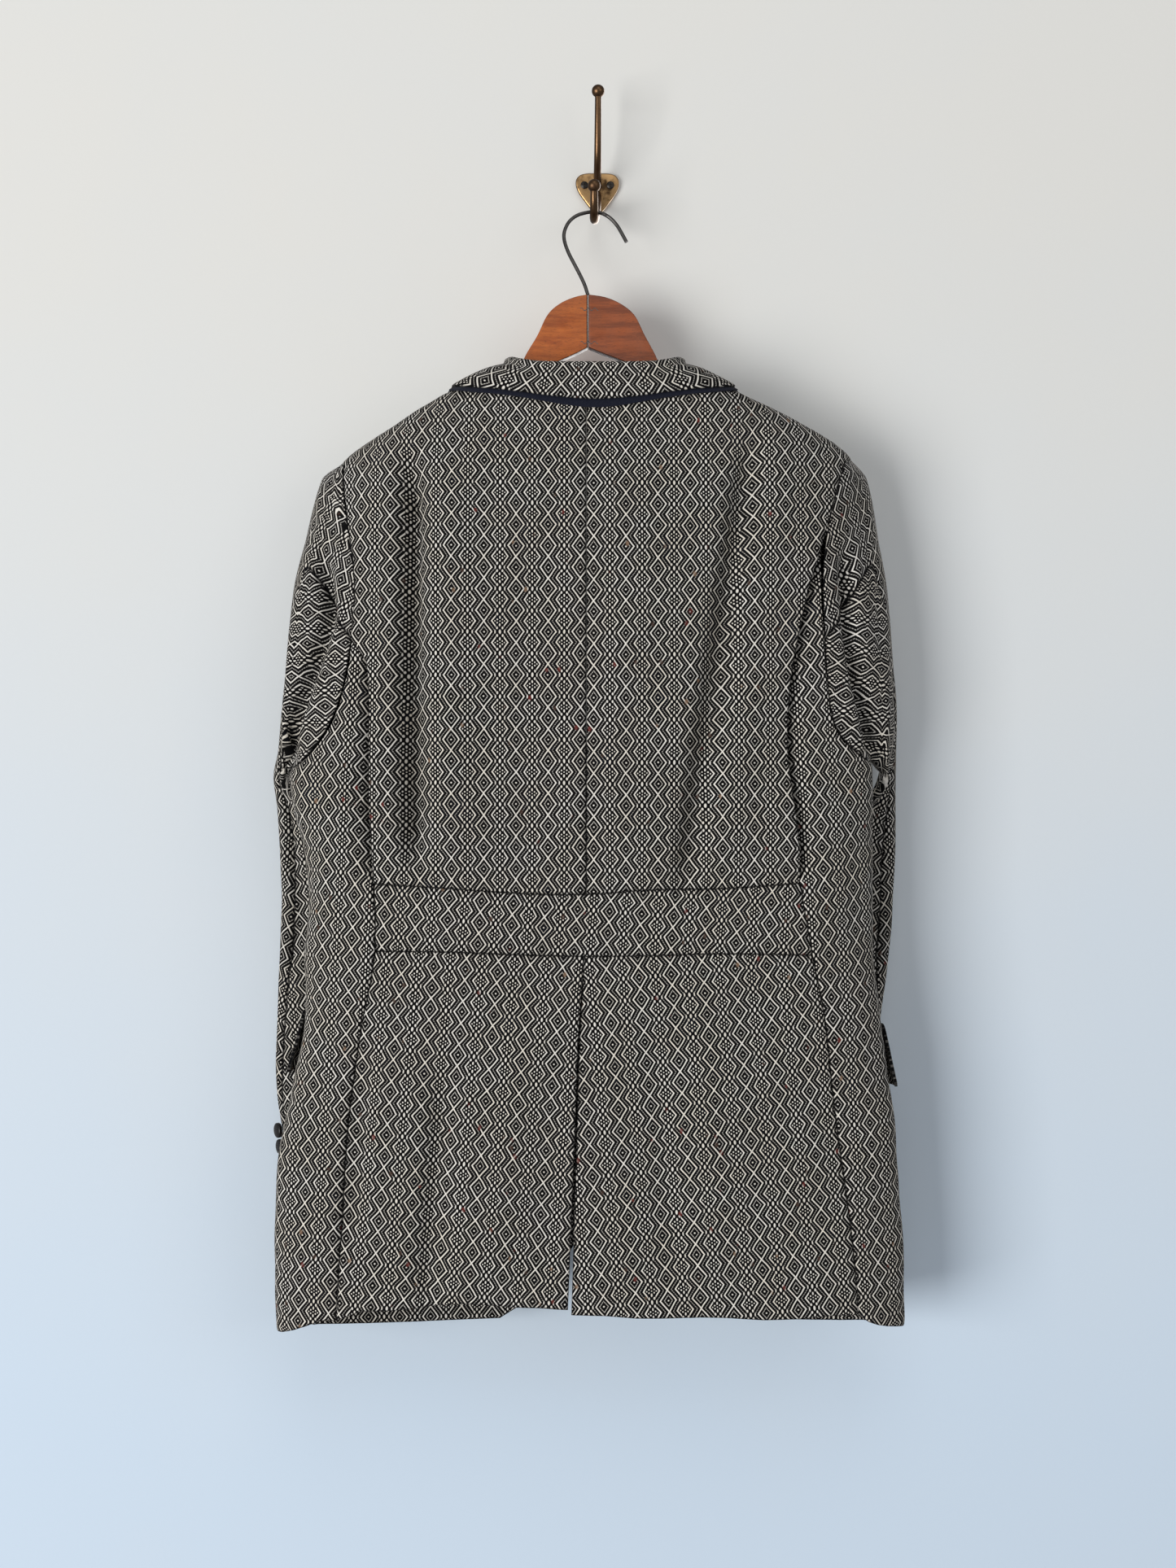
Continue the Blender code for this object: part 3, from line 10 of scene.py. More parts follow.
import bpy
import numpy as np
from bpy.props import FloatProperty, FloatVectorProperty, PointerProperty
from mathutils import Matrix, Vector


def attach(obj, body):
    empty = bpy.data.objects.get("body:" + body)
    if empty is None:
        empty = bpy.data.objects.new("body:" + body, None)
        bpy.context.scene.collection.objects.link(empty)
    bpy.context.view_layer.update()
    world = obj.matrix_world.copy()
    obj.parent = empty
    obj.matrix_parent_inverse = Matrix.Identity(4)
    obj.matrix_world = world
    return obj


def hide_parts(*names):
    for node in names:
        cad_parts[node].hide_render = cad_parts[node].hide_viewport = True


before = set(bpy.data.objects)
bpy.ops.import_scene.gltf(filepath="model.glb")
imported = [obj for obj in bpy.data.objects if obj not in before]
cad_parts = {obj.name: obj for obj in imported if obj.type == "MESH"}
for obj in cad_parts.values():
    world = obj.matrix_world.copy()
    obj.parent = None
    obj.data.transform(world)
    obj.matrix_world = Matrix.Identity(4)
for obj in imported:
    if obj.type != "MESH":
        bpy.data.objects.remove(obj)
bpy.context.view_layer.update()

bl_info = {
    "name": "Tweed Sport Coat",
    "version": (1, 0, 0),
    "blender": (4, 5, 0),
    "location": "View3D > Sidebar > Sport Coat",
    "description": "Builds a belted tweed sport coat on its hanger and wall hook",
    "category": "Object",
}


MM = 0.001
WELD = 1e-6
SIDES = ("left", "right")

# Cloth
CLOTH = 2.4 * MM
FELT = 1.4 * MM
SEAM_GAP = 0.3 * MM
HALF_GAP = SEAM_GAP / 2
LAYER_GAP = 0.7 * MM
MIDDLE_X = -10 * MM
BACK_ROUNDING = 3.0
FRONT_ROUNDING = 3.2

# Body sections from the neck to the hem, in mm
SECTION_COLUMNS = ("height", "left", "right", "side", "back", "front")
SECTIONS = (
    (-178, -78, 76, 72, 94, 54),
    (-186, -96, 92, 71, 101, 49),
    (-197, -129, 121, 68, 108, 43),
    (-208, -149, 147, 64, 112, 38),
    (-225, -178, 181, 58, 116, 34),
    (-242, -206, 210, 52, 119, 31),
    (-259, -227, 229, 48, 121, 29),
    (-300, -235, 236, 48, 124, 27),
    (-350, -239, 238, 52, 127, 27),
    (-400, -242, 239, 58, 128, 28),
    (-450, -248, 239, 64, 128, 30),
    (-500, -259, 238, 71, 128, 34),
    (-530, -267, 238, 76, 128, 37),
    (-560, -263, 239, 79, 128, 40),
    (-600, -255, 239, 80, 127, 44),
    (-640, -251, 239, 80, 126, 46),
    (-690, -255, 240, 81, 126, 47),
    (-740, -254, 245, 82, 126, 47),
    (-790, -263, 251, 84, 127, 48),
    (-830, -271, 256, 85, 128, 48),
    (-909, -279, 262, 86, 129, 48),
    (-1000, -279, 266, 88, 131, 47),
    (-1020, -279, 266, 88, 131, 47),
)

# Long soft folds: where each runs round the coat at its top, middle and foot, its half widths on the sides
# of the left and the right sleeve, and its depth, in mm
FOLD_COLUMNS = ("top_at", "middle_at", "foot_at", "top", "foot", "left_half", "right_half", "depth")
FOLDS = (
    (-150, -149, -146, -235, -622, 10, 9, 24.0),
    (-114, -115, -114, -250, -620, 17, 17, -4.0),
    (-48, -46, -48, -300, -625, 26, 34, 2.6),
    (145, 112, 82, -225, -640, 10, 9, 18.0),
    (176, 144, 116, -240, -620, 16, 16, -3.0),
    (38, 36, 34, -260, -600, 24, 24, -1.8),
    (-118, -128, -137, -760, -1000, 10, 12, 9.5),
    (-188, -196, -205, -745, -950, 9, 10, 6.5),
    (-60, -66, -74, -720, -985, 26, 26, -2.5),
    (205, 210, 215, -770, -900, 16, 16, 2.2),
    (95, 104, 112, -760, -990, 30, 30, -2.5),
    (60, 66, 72, -740, -1000, 12, 24, 2.6),
    (-236, -242, -246, -540, -700, 14, 14, 2.0),
    (232, 236, 236, -540, -700, 14, 14, 2.0),
)

# Seams on the back, as distances along X and heights, in mm
SIDE_SEAM = {
    "left": (
        (-192, -600), (-192, -696), (-201, -740), (-210, -795), (-217, -871), (-220, -935),
        (-224, -1010),
    ),
    "right": (
        (170, -600), (173, -625), (184, -689), (193, -731), (199, -785), (208, -855), (216, -915),
        (224, -1010),
    ),
}
PLEAT_EDGE = {
    "left": ((-201, -415), (-197, -442), (-195, -495), (-195, -567), (-193.5, -589), (-192, -627)),
    "right": (
        (200, -310), (184, -357), (171, -412), (163, -460), (161.5, -509), (166, -550), (171, -584),
        (173, -627),
    ),
}
VENT_EDGE = ((-11, -680), (-15, -728), (-20, -850), (-26, -1000))
VENT_OPENING = 2.8 * MM
VENT_LIFT = 1.3 * MM

# Heights of cut edges against the distance along X, in mm
BELT_TOP = (
    (-192, -624.3), (-121, -628.4), (-72, -631.9), (-16, -633.0), (46, -629.1), (100, -628.4),
    (173, -623.6),
)
BELT_FOOT = (
    (-192, -681.6), (-121, -682), (-67, -684.1), (-10, -685.5), (46, -684.8), (100, -683.4), (184, -685),
)
NECK_EDGE = (
    (-85, -181.4), (-76, -187), (-66, -192), (-49, -198), (-28, -202), (-3, -203.2), (22, -202), (43, -198),
    (60, -192), (70, -187), (80, -181.4),
)
NECK_POINT = -181.4

# Hem heights against the length round from the middle of the back, in mm
HEM = (
    (-600, -1008), (-470, -1013), (-345, -1015), (-283, -1011), (-262, -1009), (-246, -1004), (-218, -993),
    (-187, -986.5), (-163, -986.5), (-111, -979.6), (-56, -982.4), (-14, -984.4),
    (14, -989.5), (118, -991.3), (160, -994), (190, -992.7), (224, -991), (250, -1001), (275, -1005),
    (340, -1011), (470, -1011), (600, -1006),
)

# Armholes: round the back from the shoulder to the lowest point, then up the front, in mm along X and high
ARMHOLE_BACK = {
    "left": (
        (-221.5, -262), (-221, -282), (-217, -312), (-211, -346), (-209, -380), (-212, -415), (-216.5, -445),
        (-223, -470), (-231, -488), (-241, -503), (-251, -514), (-260, -522),
    ),
    "right": (
        (215, -259), (208, -280), (200, -310), (194, -345), (193, -380), (194.5, -415), (196, -445),
        (198.5, -470), (203, -488), (211, -501), (221, -510), (230.5, -517),
    ),
}
ARMHOLE_FRONT = {
    "left": (
        (-257, -522), (-245, -513), (-231, -499), (-217, -481), (-204, -459), (-194, -432),
        (-188, -400), (-189, -365), (-195, -330), (-205, -302), (-214, -279), (-219, -262),
    ),
    "right": (
        (229, -516), (217, -507), (205, -495), (195, -479), (187, -458), (181, -432),
        (178, -400), (180, -365), (187, -330), (197, -301), (207, -277), (214, -259),
    ),
}
SHOULDER_POINT = {"left": -253, "right": -250}
UNDERARM_POINT = {"left": -527, "right": -521}
ARMHOLE_STEPS = 26
EVENING_ROUNDS = 60
PLEAT_TOP_STEP = {"left": 6, "right": 3}
FRONT_SEAM_STEP = 15

# Rows that neighbouring pieces share along their seams
SEAM_BELT_TOP = {"left": -624.3 * MM, "right": -623.6 * MM}
SEAM_BELT_FOOT = {"left": -681.6 * MM, "right": -685 * MM}
SKIRT_ROWS = 13
PLEAT_ROWS = 12
FRONT_SEAM_ROWS = SKIRT_ROWS + 1 + PLEAT_ROWS

# Fronts, as distances along X from their own middle, and heights, in mm
FRONT_MIDDLE_X = -2.5 * MM
FRONT_SEAM_PAST_SIDE = 46 * MM
BREAK_HEIGHT = -600 * MM
ROLL_LINE = (
    (82, -181), (78, -200), (74, -220), (67, -250), (54, -300), (31, -400), (7, -500), (-20, -600),
)
FRONT_EDGE = (
    (-20, -600), (-20, -700), (-20, -790), (-12, -860), (6, -920), (28, -965), (52, -994), (84, -1012),
)
LAPEL_EDGE = ((112, -276), (109, -330), (94, -400), (72, -460), (44, -520), (12, -570), (-13, -598.5))
LAPEL_TOP = ((66, -251.6), (77.5, -255.8), (86, -259.6), (112, -276))
LAPEL_GAP = 1.2 * MM

# Sleeve rings down the arm: the outer point, the inner point, each along X, high and deep, and half the
# ring's thickness, in mm. The first lies just past the armhole.
SLEEVE_COLUMNS = ("out_x", "out_z", "out_d", "in_x", "in_z", "in_d", "half")
SLEEVE_RINGS = {
    "left": (
        (-245, -273, 44, -273, -532, 60, 37),
        (-256, -312, 41, -275, -533, 58, 37),
        (-266, -356, 39, -276, -535, 56, 36),
        (-272, -410, 37, -276, -539, 53, 33),
        (-278, -464, 36, -275, -546, 48, 27),
        (-284, -507, 34, -268, -556, 41, 20),
        (-290, -532, 31, -245, -574, 32, 16),
        (-287, -562, 29, -205, -598, 27, 15),
        (-284, -600, 27, -165, -622, 24, 14),
        (-283, -650, 26, -137, -662, 22, 14),
        (-285, -700, 24, -127, -708, 21, 14),
        (-288, -760, 23, -124, -764, 20, 14),
        (-288, -815, 22, -127, -816, 20, 14),
        (-282, -866, 21, -132, -860, 20, 13),
        (-287, -914, 20, -139, -903, 20, 13),
    ),
    "right": (
        (239, -273, 44, 246, -527, 60, 37),
        (247, -312, 41, 249, -529, 58, 37),
        (254, -356, 39, 251, -532, 56, 36),
        (259, -405, 37, 252, -537, 53, 33),
        (264, -460, 36, 251, -545, 48, 27),
        (266, -505, 34, 243, -556, 41, 20),
        (267, -540, 31, 220, -574, 32, 16),
        (267, -572, 29, 184, -598, 27, 15),
        (266, -606, 27, 147, -624, 24, 14),
        (264, -655, 26, 120, -662, 22, 14),
        (260, -700, 24, 107, -706, 21, 14),
        (253, -760, 23, 97, -760, 20, 14),
        (247, -815, 22, 92, -812, 20, 14),
        (243, -866, 21, 93, -858, 20, 13),
        (241, -912, 20, 96, -900, 20, 13),
    ),
}
SLEEVE_ROUNDING = 2.3
HIND_SEAM_STEPS = (6.0, 1.0)
FORE_SEAM_STEPS = (18.0, 15.0)

# Sleeve folds: the path of each as distances along X and heights, its half widths to the left and the
# right, and its depth, in mm
SLEEVE_FOLDS = {
    "left": (
        (
            (
                (-240, -337), (-235, -369), (-233, -395), (-242, -426), (-255, -458), (-267, -494),
                (-275, -521),
            ),
            6, 7, 15,
        ),
        (((-222, -344), (-225, -408), (-237, -458), (-256, -497)), 9, 8, -3),
        (((-261, -272), (-254, -308), (-245, -345)), 9, 9, 3),
        (((-278, -537), (-273, -594), (-266, -651), (-273, -701)), 6, 10, 5),
    ),
    "right": (
        (((213, -334), (215, -376), (217, -407), (223, -445), (230, -474), (240, -512)), 6, 6, 13),
        (((198, -400), (208, -448), (220, -490), (219, -537)), 9, 9, -4),
        (((234, -300), (241, -365), (248, -430)), 8, 8, 3),
        (((245, -537), (248, -594), (245, -651), (250, -701)), 6, 8, 4),
    ),
}

# The line that each sleeve's weave follows, as distances along X and heights, in mm
SLEEVE_GRAIN = {
    "left": ((-218, -240), (-257, -415), (-277, -522), (-283, -601), (-284, -679), (-283, -940)),
    "right": ((214, -240), (245, -415), (259, -522), (264, -601), (260, -679), (239, -940)),
}

# Collar from the middle of the back to its end on the front: the neck seam and the fold, each along X
# from the collar's middle, high and deep, half the fold's width, and the outer edge along X and high, in mm
COLLAR_COLUMNS = ("neck_x", "neck_z", "neck_d", "fold_x", "fold_z", "fold_d", "roll", "edge_x", "edge_z")
COLLAR_ROWS = (
    (0, -202.3, 103.3, 0, -176.4, 107, 6.6, 0, -212),
    (24, -201.5, 102.8, 25, -176.2, 106.2, 6.6, 28, -210.5),
    (46, -198.4, 99.8, 49, -175, 103, 6.4, 57, -206.5),
    (62, -193.5, 92.5, 65, -171.5, 96, 6, 88, -202.5),
    (70, -187.5, 83, 72, -168.3, 86, 5.6, 113, -200),
    (73.5, -184, 70, 75, -166.8, 70, 5.4, 126, -196),
    (75.5, -186.5, 56.8, 77, -170.5, 50, 5.3, 127, -202),
    (75, -191, 51, 76.5, -180.3, 39.5, 5.2, 124, -209),
    (72, -205.3, 41.1, 73.5, -199.4, 27.9, 5, 114, -229),
    (66.5, -226.1, 35.2, 68.5, -223.7, 22.5, 4.9, 104, -248),
    (61, -250, 31.5, 63, -248.8, 20.5, 4.8, 97, -262),
)
COLLAR_RIDGE_ROW = 5
COLLAR_STEPS = 15
COLLAR_MIDDLE_X = -2.5 * MM
COLLAR_CLOTH = 2.2 * MM

# The felt shows below the collar, and within this half width reaches further down as a dark strip of painted
# shade under the collar's fall
UNDER_COLLAR_SHOWS = 3.4 * MM
UNDER_COLLAR_SHADE_SAG = 3.2 * MM
UNDER_COLLAR_SHADE_SAG_HALF = 42 * MM
COLLAR_LIFT = COLLAR_CLOTH + SEAM_GAP + FELT + 1.7 * MM

# Pocket flaps: lengths round past the side, and heights, in mm
FLAP_GAP = 1.1 * MM
FLAP_START = -4 * MM
FLAP_LENGTH = 150 * MM
FLAP_TOP = {"left": -736 * MM, "right": -748 * MM}
FLAP_HEIGHT = 54 * MM
FLAP_STANDS_OFF = 4.5 * MM

# Buttons; the cuff's hang out past the sleeve and turn to the room
FRONT_BUTTON = 20 * MM
CUFF_BUTTON = 13.4 * MM
BUTTON_THICKNESS = 4 * MM
BUTTON_DISC = 0.75
FRONT_SHANK = 0.9 * MM
CUFF_SHANK = 0.1 * MM
CUFF_TURNS = 0.6
CUFF_HANGS_OUT = 1.4 * MM
FRONT_BUTTON_HEIGHTS = (-612 * MM, -718 * MM)
CUFF_BUTTON_HEIGHTS = (-850 * MM, -864.6 * MM)

# Hanger arms: along X, the top, the underside and the depth of the middle, in mm
HANGER_COLUMNS = ("x", "top", "foot", "depth")
HANGER_ARMS = {
    "left": (
        (-8.7, -109, -155.6, 59), (-20, -111.4, -161.5, 59.5), (-33, -117.3, -167.5, 60.5),
        (-44, -127.5, -173, 61.5), (-53, -146, -181, 62.5), (-64, -165, -195, 63.5),
        (-71, -184, -206, 64.5), (-80, -192, -215, 65.5),
        (-96, -196.5, -224, 66), (-126, -204, -238, 65), (-152, -217, -248, 61), (-178, -230.5, -258, 56.5),
        (-196, -241, -264, 52.5), (-203, -247, -263, 51),
    ),
    "right": (
        (-8.3, -109, -155.6, 59), (7, -111.6, -162, 59.5), (21, -118, -167.5, 60.5),
        (32.5, -128, -173, 61.5), (41, -145, -181, 62.5), (51.5, -165, -195, 63.5),
        (59, -184, -206, 64.5), (69, -192, -215, 65.5),
        (88, -196, -224, 66), (120, -203.5, -238, 65), (148, -215, -248, 61), (178, -230, -258, 56.5),
        (196, -239.5, -264, 52.5), (204, -246, -263, 51),
    ),
}

# The joint between the arms, the dirt along it, and the shade painted on the underside
HANGER_JOINT = HANGER_ARMS["left"][0][0] * MM
JOINT_DIRT_AND_UNDERSIDE_SHADE = (0.022, 0.010, 0.006, 1)
HANGER_THICKNESS = 12 * MM
HANGER_ROUNDING = 3.325 * MM

# Wire hook: its radii, and its route along X, high and deep, in mm
WIRE_RADII = (1.65, 1.65)
WIRE_ROUTE = (
    (-8.6, -108.2, 59), (-11.5, -99, 57.5), (-16, -89, 55.5), (-21, -79, 53.5), (-26, -68.5, 51),
    (-29.3, -58, 48.5), (-29.4, -49.5, 46.5), (-25.5, -40.5, 44.5), (-18.5, -34.3, 43), (-10, -31.4, 42.2),
    (-3, -30.8, 42), (4, -32, 42.2), (11, -36.2, 43), (17, -43, 44.5), (21.5, -51, 46.5), (25.5, -59, 48.5),
)

# Wall hook, in mm
PLATE_THICKNESS = 4 * MM
PLATE_ROUNDING = 1.5 * MM
PLATE_OUTLINE = (
    (0, 15.0), (9, 15.1), (15.5, 13.6), (19.2, 9.5), (19.4, 3.5), (16.5, -3.5), (11.5, -10.5),
    (6.6, -17), (2.6, -20.6),
)
LOWER_PRONG = (
    (0, -4, 2), (0, -7, 8), (-0.5, -16, 15), (-1.5, -27, 23), (-2.4, -34.7, 33), (-2.9, -36.8, 42),
    (-3.1, -34, 50), (-3.1, -26, 56.5), (-3.1, -14, 60),
)
UPPER_PRONG = (
    (0, 3, 2), (0, 5, 9), (0, 8, 18), (0.1, 13.5, 27), (0.2, 23, 34.5), (0.3, 38, 39.6), (0.4, 54, 42.6),
    (0.5, 73, 44.8),
)
LOWER_BALL = (-3.1, -12.4, 60)
UPPER_BALL = (0.5, 75.8, 45)
LOWER_PRONG_RADII = (3.6, 4.0, 4.0, 3.2)
UPPER_PRONG_RADII = (3.8, 3.4, 3.1, 2.8)
BALL_RADIUS = 5.7 * MM
SCREW_PLACES = {"hook_screw_left": -11.8 * MM, "hook_screw_right": 11.8 * MM}
SCREW_HEIGHT = 4 * MM
SCREW_RADIUS = 3.4 * MM
SCREW_EDGE = 0.6 * MM
RECESS_WIDTH = 0.95 * MM
RECESS_DEPTH = 1.6 * MM
RECESS_HEIGHT = 1.75 * MM

# Turned faces: how squarely a face looks along an axis to be picked, and each inset's share of the radius
FACING = 0.9
DOME_INSET = 0.8

# Fine modelling: how far apart a fine grid's points are, and the body that every piece rides on
STEP = 3.05 * MM
BODY = "root"

# Gentle unevenness of hung cloth: waves round and up, in turns a metre, their phase, and depth in mm
UNEVEN = (
    (7.1, 3.3, 0.4, 0.55), (-4.2, 9.5, 2.1, 0.5), (15.5, -6.0, 1.2, 0.28), (-12.0, 17.0, 4.0, 0.22),
    (26.0, 11.0, 5.1, 0.12), (-31.0, 23.0, 0.9, 0.1),
)

# Grain: how the weave lies on each piece, its columns' lean and where its first figure falls, in mm
GRAIN = {
    "back_left": (0.0, -5.0, 2.0),
    "back_right": (0.0, 6.4, 0.8),
    "belt": (-0.08, -10.0, 7.0),
    "skirt_left": (-0.09, -12.0, 3.0),
    "skirt_right": (0.09, 9.0, 1.0),
    "side_left": (-0.06, 4.0, 5.0),
    "side_right": (0.06, 2.0, 9.0),
    "front_left": (0.0, 3.0, 6.0),
    "front_right": (0.0, -2.0, 6.0),
    "lapel_left": (0.2, 0.0, 3.0),
    "lapel_right": (-0.2, 0.0, 3.0),
    "flap_left": (0.0, 3.0, 6.0),
    "flap_right": (0.0, -2.0, 6.0),
}

# Pressed edges: how far in the cloth turns and how much deeper than each piece's own depths, then how far in
# from every edge shade is painted dark, and the attribute that carries it
SEAM_WIDTH = 1.9 * MM
SEAM_DEEPER = 1.35
EDGE_SHADE_WIDTH = 1.5 * MM
SEAM_SHADE_ATTRIBUTE = "painted_seam_shade"

# Action pleats: the back stands proud of the side body, which reaches under it and sinks beside it
PLEAT_STANDS = 1.6 * MM
PLEAT_REACH = 14 * MM
PLEAT_HOLLOW = 11 * MM
PLEAT_HOLLOW_WIDTH = 6 * MM

# Ends of the long folds, over which they fade out
FOLD_FOOT_FADE = 45 * MM
FOLD_TOP_FADE = 70 * MM

# The lapped fronts: the band in which the left one rises, back from its edge, and the lapel's foot under it
LAP_BAND = (66 * MM, 30 * MM)
LAPEL_UNDER_LAP = (-660 * MM, -620 * MM, -500 * MM, -450 * MM)

# Sleeves: the shares of the way from the armhole to the first ring at which there are more rings, the width
# that a fine piece's columns are counted from, and about how far apart the steps round an armhole are
CAP_SHARES = (0.0, 0.3, 0.64)
SLEEVE_PIECE_WIDTH = 0.3
ARMHOLE_STEP_LENGTH = 12 * MM

# Sleeve weave: the grid is laid flat on every so many points for so many rounds, coarse to fine, by springs
# between these neighbours. Where a normal looks this far to the room, the weave follows the grain line.
WEAVE_MAP = "Weave"
FLAT_STEPS = ((16, 800), (8, 1200), (4, 1500))
NEIGHBOURS = (
    (np.s_[:, :-1], np.s_[:, 1:]), (np.s_[:-1], np.s_[1:]), (np.s_[:-1, :-1], np.s_[1:, 1:]),
    (np.s_[:-1, 1:], np.s_[1:, :-1]),
)
SPRING_SHARE = 1.3
LEAST_GAP = 0.1 * MM
FACES_ROOM = -0.6

# Corrugated fasteners across the hanger's joint: height and half length, how far they stand proud and reach
# in, and the height of their waves and half their thickness
FASTENERS = ((-122.4 * MM, 11.8 * MM), (-151.6 * MM, 11.4 * MM))
FASTENER_X = -9.9 * MM
FASTENER_PROUD = 0.25 * MM
FASTENER_IN = 0.8 * MM
FASTENER_WAVE = 1.1 * MM
FASTENER_HALF = 0.35 * MM

# Stage
WALL_GAP = 1.0 * MM
FLOOR_HEIGHT = -1.9
CAMERA_X = -8.5 * MM
CAMERA_HEIGHT = -0.539


def columns_of(rows, names):
    """A table's columns by name, in metres."""
    table = np.array(rows, float) * MM
    return {name: table[:, index] for index, name in enumerate(names)}


def curve_at(f, start, leaving, end, arriving):
    """The place at a share f of a curve between two ends with their directions."""
    return (
        (2 * f**3 - 3 * f**2 + 1) * start
        + (f**3 - 2 * f**2 + f) * leaving
        + (3 * f**2 - 2 * f**3) * end
        + (f**3 - f**2) * arriving
    )


def smooth(known, values, wanted):
    """Values at the wanted places on a curve without kinks through the known ones."""
    known = np.asarray(known, float)
    values = np.asarray(values, float)
    wanted = np.asarray(wanted, float)
    if known[0] > known[-1]:
        known, values = known[::-1], values[::-1]
    slopes = np.gradient(values, known)
    index = np.clip(np.searchsorted(known, wanted) - 1, 0, len(known) - 2)
    span = known[index + 1] - known[index]
    f = np.clip((wanted - known[index]) / span, 0, 1)
    return curve_at(f, values[index], span * slopes[index], values[index + 1], span * slopes[index + 1])


def step_up(value, start, end):
    """0 before start, 1 after end and a soft rise between."""
    f = np.clip((np.asarray(value, float) - start) / (end - start), 0, 1)
    return f * f * (3 - 2 * f)


def unit(vectors):
    """The vectors at length 1."""
    return vectors / np.linalg.norm(vectors, axis=-1)[..., None]


def line_at(points, height):
    """Distance along X, in metres, of a seam given in mm, at a height."""
    x, z = np.array(points, float).T * MM
    return smooth(z, x, height)


def height_at(points, x):
    """Height of a cut edge given in mm, at a distance along X."""
    known, z = np.array(points, float).T * MM
    return smooth(known, z, x)


SECTION = columns_of(SECTIONS, SECTION_COLUMNS)
FOLD = columns_of(FOLDS, FOLD_COLUMNS)
RING_STEPS = 90


def section_at(z, right):
    """The half-width, side depth, and rise to the back and to the front, at each height."""
    z = np.asarray(z, float)
    value = {name: smooth(SECTION["height"], SECTION[name], z) for name in SECTION_COLUMNS[1:]}
    width = np.where(right, value["right"] - MIDDLE_X, MIDDLE_X - value["left"])
    return width, value["side"], value["back"] - value["side"], value["side"] - value["front"]


def half_ring(z, right):
    """Half a section at each height, from the back's middle to the front's: across, depth, length."""
    width, side, rise, fall = (part[:, None] for part in section_at(z, right))
    turn = np.linspace(0, math.pi / 2, RING_STEPS)
    back_across = width * np.sin(turn) ** (2 / BACK_ROUNDING)
    back_depth = side + rise * np.cos(turn).clip(0) ** (2 / BACK_ROUNDING)
    front_across = width * np.cos(turn).clip(0) ** (2 / FRONT_ROUNDING)
    front_depth = side - fall * np.sin(turn) ** (2 / FRONT_ROUNDING)
    across = np.concatenate([back_across, front_across[:, 1:]], axis=1)
    depth = np.concatenate([back_depth, front_depth[:, 1:]], axis=1)
    steps = np.hypot(np.diff(across, axis=1), np.diff(depth, axis=1))
    length = np.concatenate([np.zeros((len(z), 1)), np.cumsum(steps, axis=1)], axis=1)
    return across, depth, length


def side_length(z, right):
    """Length from the back's middle to the side, at each height."""
    z = np.atleast_1d(np.asarray(z, float))
    return half_ring(z, np.full(z.shape, right))[2][:, RING_STEPS - 1]


def girth(z, right):
    """Length from the back's middle to the front's, at each height."""
    z = np.atleast_1d(np.asarray(z, float))
    return half_ring(z, np.full(z.shape, right))[2][:, -1]


def length_at(x, z, front=False):
    """Signed length round from the back's middle to the place at x on the back, or on the front."""
    x = np.atleast_1d(np.asarray(x, float))
    z = np.broadcast_to(np.atleast_1d(np.asarray(z, float)), x.shape)
    right = x > MIDDLE_X
    across, _, length = half_ring(z, right)
    found = np.empty(x.shape)
    for row in range(len(x)):
        wanted = abs(x[row] - MIDDLE_X)
        if front:
            found[row] = np.interp(-wanted, -across[row, RING_STEPS - 1:], length[row, RING_STEPS - 1:])
        else:
            found[row] = np.interp(wanted, across[row, :RING_STEPS], length[row, :RING_STEPS])
    return np.where(right, found, -found)


def level(x, depth, z):
    """1 on the body surface, less inside it and more outside."""
    width, side, rise, fall = section_at(z, x > MIDDLE_X)
    back = depth > side
    power = np.where(back, BACK_ROUNDING, FRONT_ROUNDING)
    across = np.abs(x - MIDDLE_X) / width
    out = np.abs(depth - side) / np.where(back, rise, fall)
    return across**power + out**power


def body_slope(x, depth, z):
    """The body surface's outward normals, and how fast the level grows along them."""
    nudge = 0.05 * MM
    slope_x = level(x + nudge, depth, z) - level(x - nudge, depth, z)
    slope_d = level(x, depth + nudge, z) - level(x, depth - nudge, z)
    slope_z = level(x, depth, z + nudge) - level(x, depth, z - nudge)
    normal = np.stack([slope_x, -slope_d, slope_z], axis=1)
    steepness = np.linalg.norm(normal, axis=1)
    return normal / steepness[:, None], steepness / (2 * nudge)


def kept_off(points, least):
    """The points, moved out where they lie nearer to the body surface than the least distance."""
    moved = points.reshape(-1, 3).copy()
    for _ in range(4):
        x, y, z = moved.T
        normal, steepness = body_slope(x, -y, z)
        distance = (level(x, -y, z) - 1) / steepness
        moved += normal * np.clip(least - distance, 0, None)[:, None]
    return moved.reshape(points.shape)


def fold_height(s, z):
    """How far the long folds move the cloth out, at each place."""
    total = np.zeros(s.shape)
    for row in range(len(FOLD["top"])):
        top, foot = FOLD["top"][row], FOLD["foot"][row]
        middle = (top + foot) / 2
        path = smooth(
            (foot, middle, top), (FOLD["foot_at"][row], FOLD["middle_at"][row], FOLD["top_at"][row]), z
        )
        ends = step_up(z, foot, foot + FOLD_FOOT_FADE) * (1 - step_up(z, top - FOLD_TOP_FADE, top))
        half = np.where(s < path, FOLD["left_half"][row], FOLD["right_half"][row])
        total -= FOLD["depth"][row] * ends * np.exp(-(((s - path) / half) ** 2))
    return total


def section_point(s, z):
    """The distance along X and the depth of places on the plain sections."""
    right = s > 0
    across, depth, length = half_ring(z, right)
    reach = np.abs(s)
    before = np.clip((length < reach[:, None]).sum(axis=1) - 1, 0, length.shape[1] - 2)
    row = np.arange(len(s))
    start = length[row, before]
    f = np.clip((reach - start) / (length[row, before + 1] - start), 0, 1)
    far = across[row, before] * (1 - f) + across[row, before + 1] * f
    deep = depth[row, before] * (1 - f) + depth[row, before + 1] * f
    far -= np.clip(reach - length[:, -1], 0, None)
    return MIDDLE_X + np.where(right, far, -far), deep


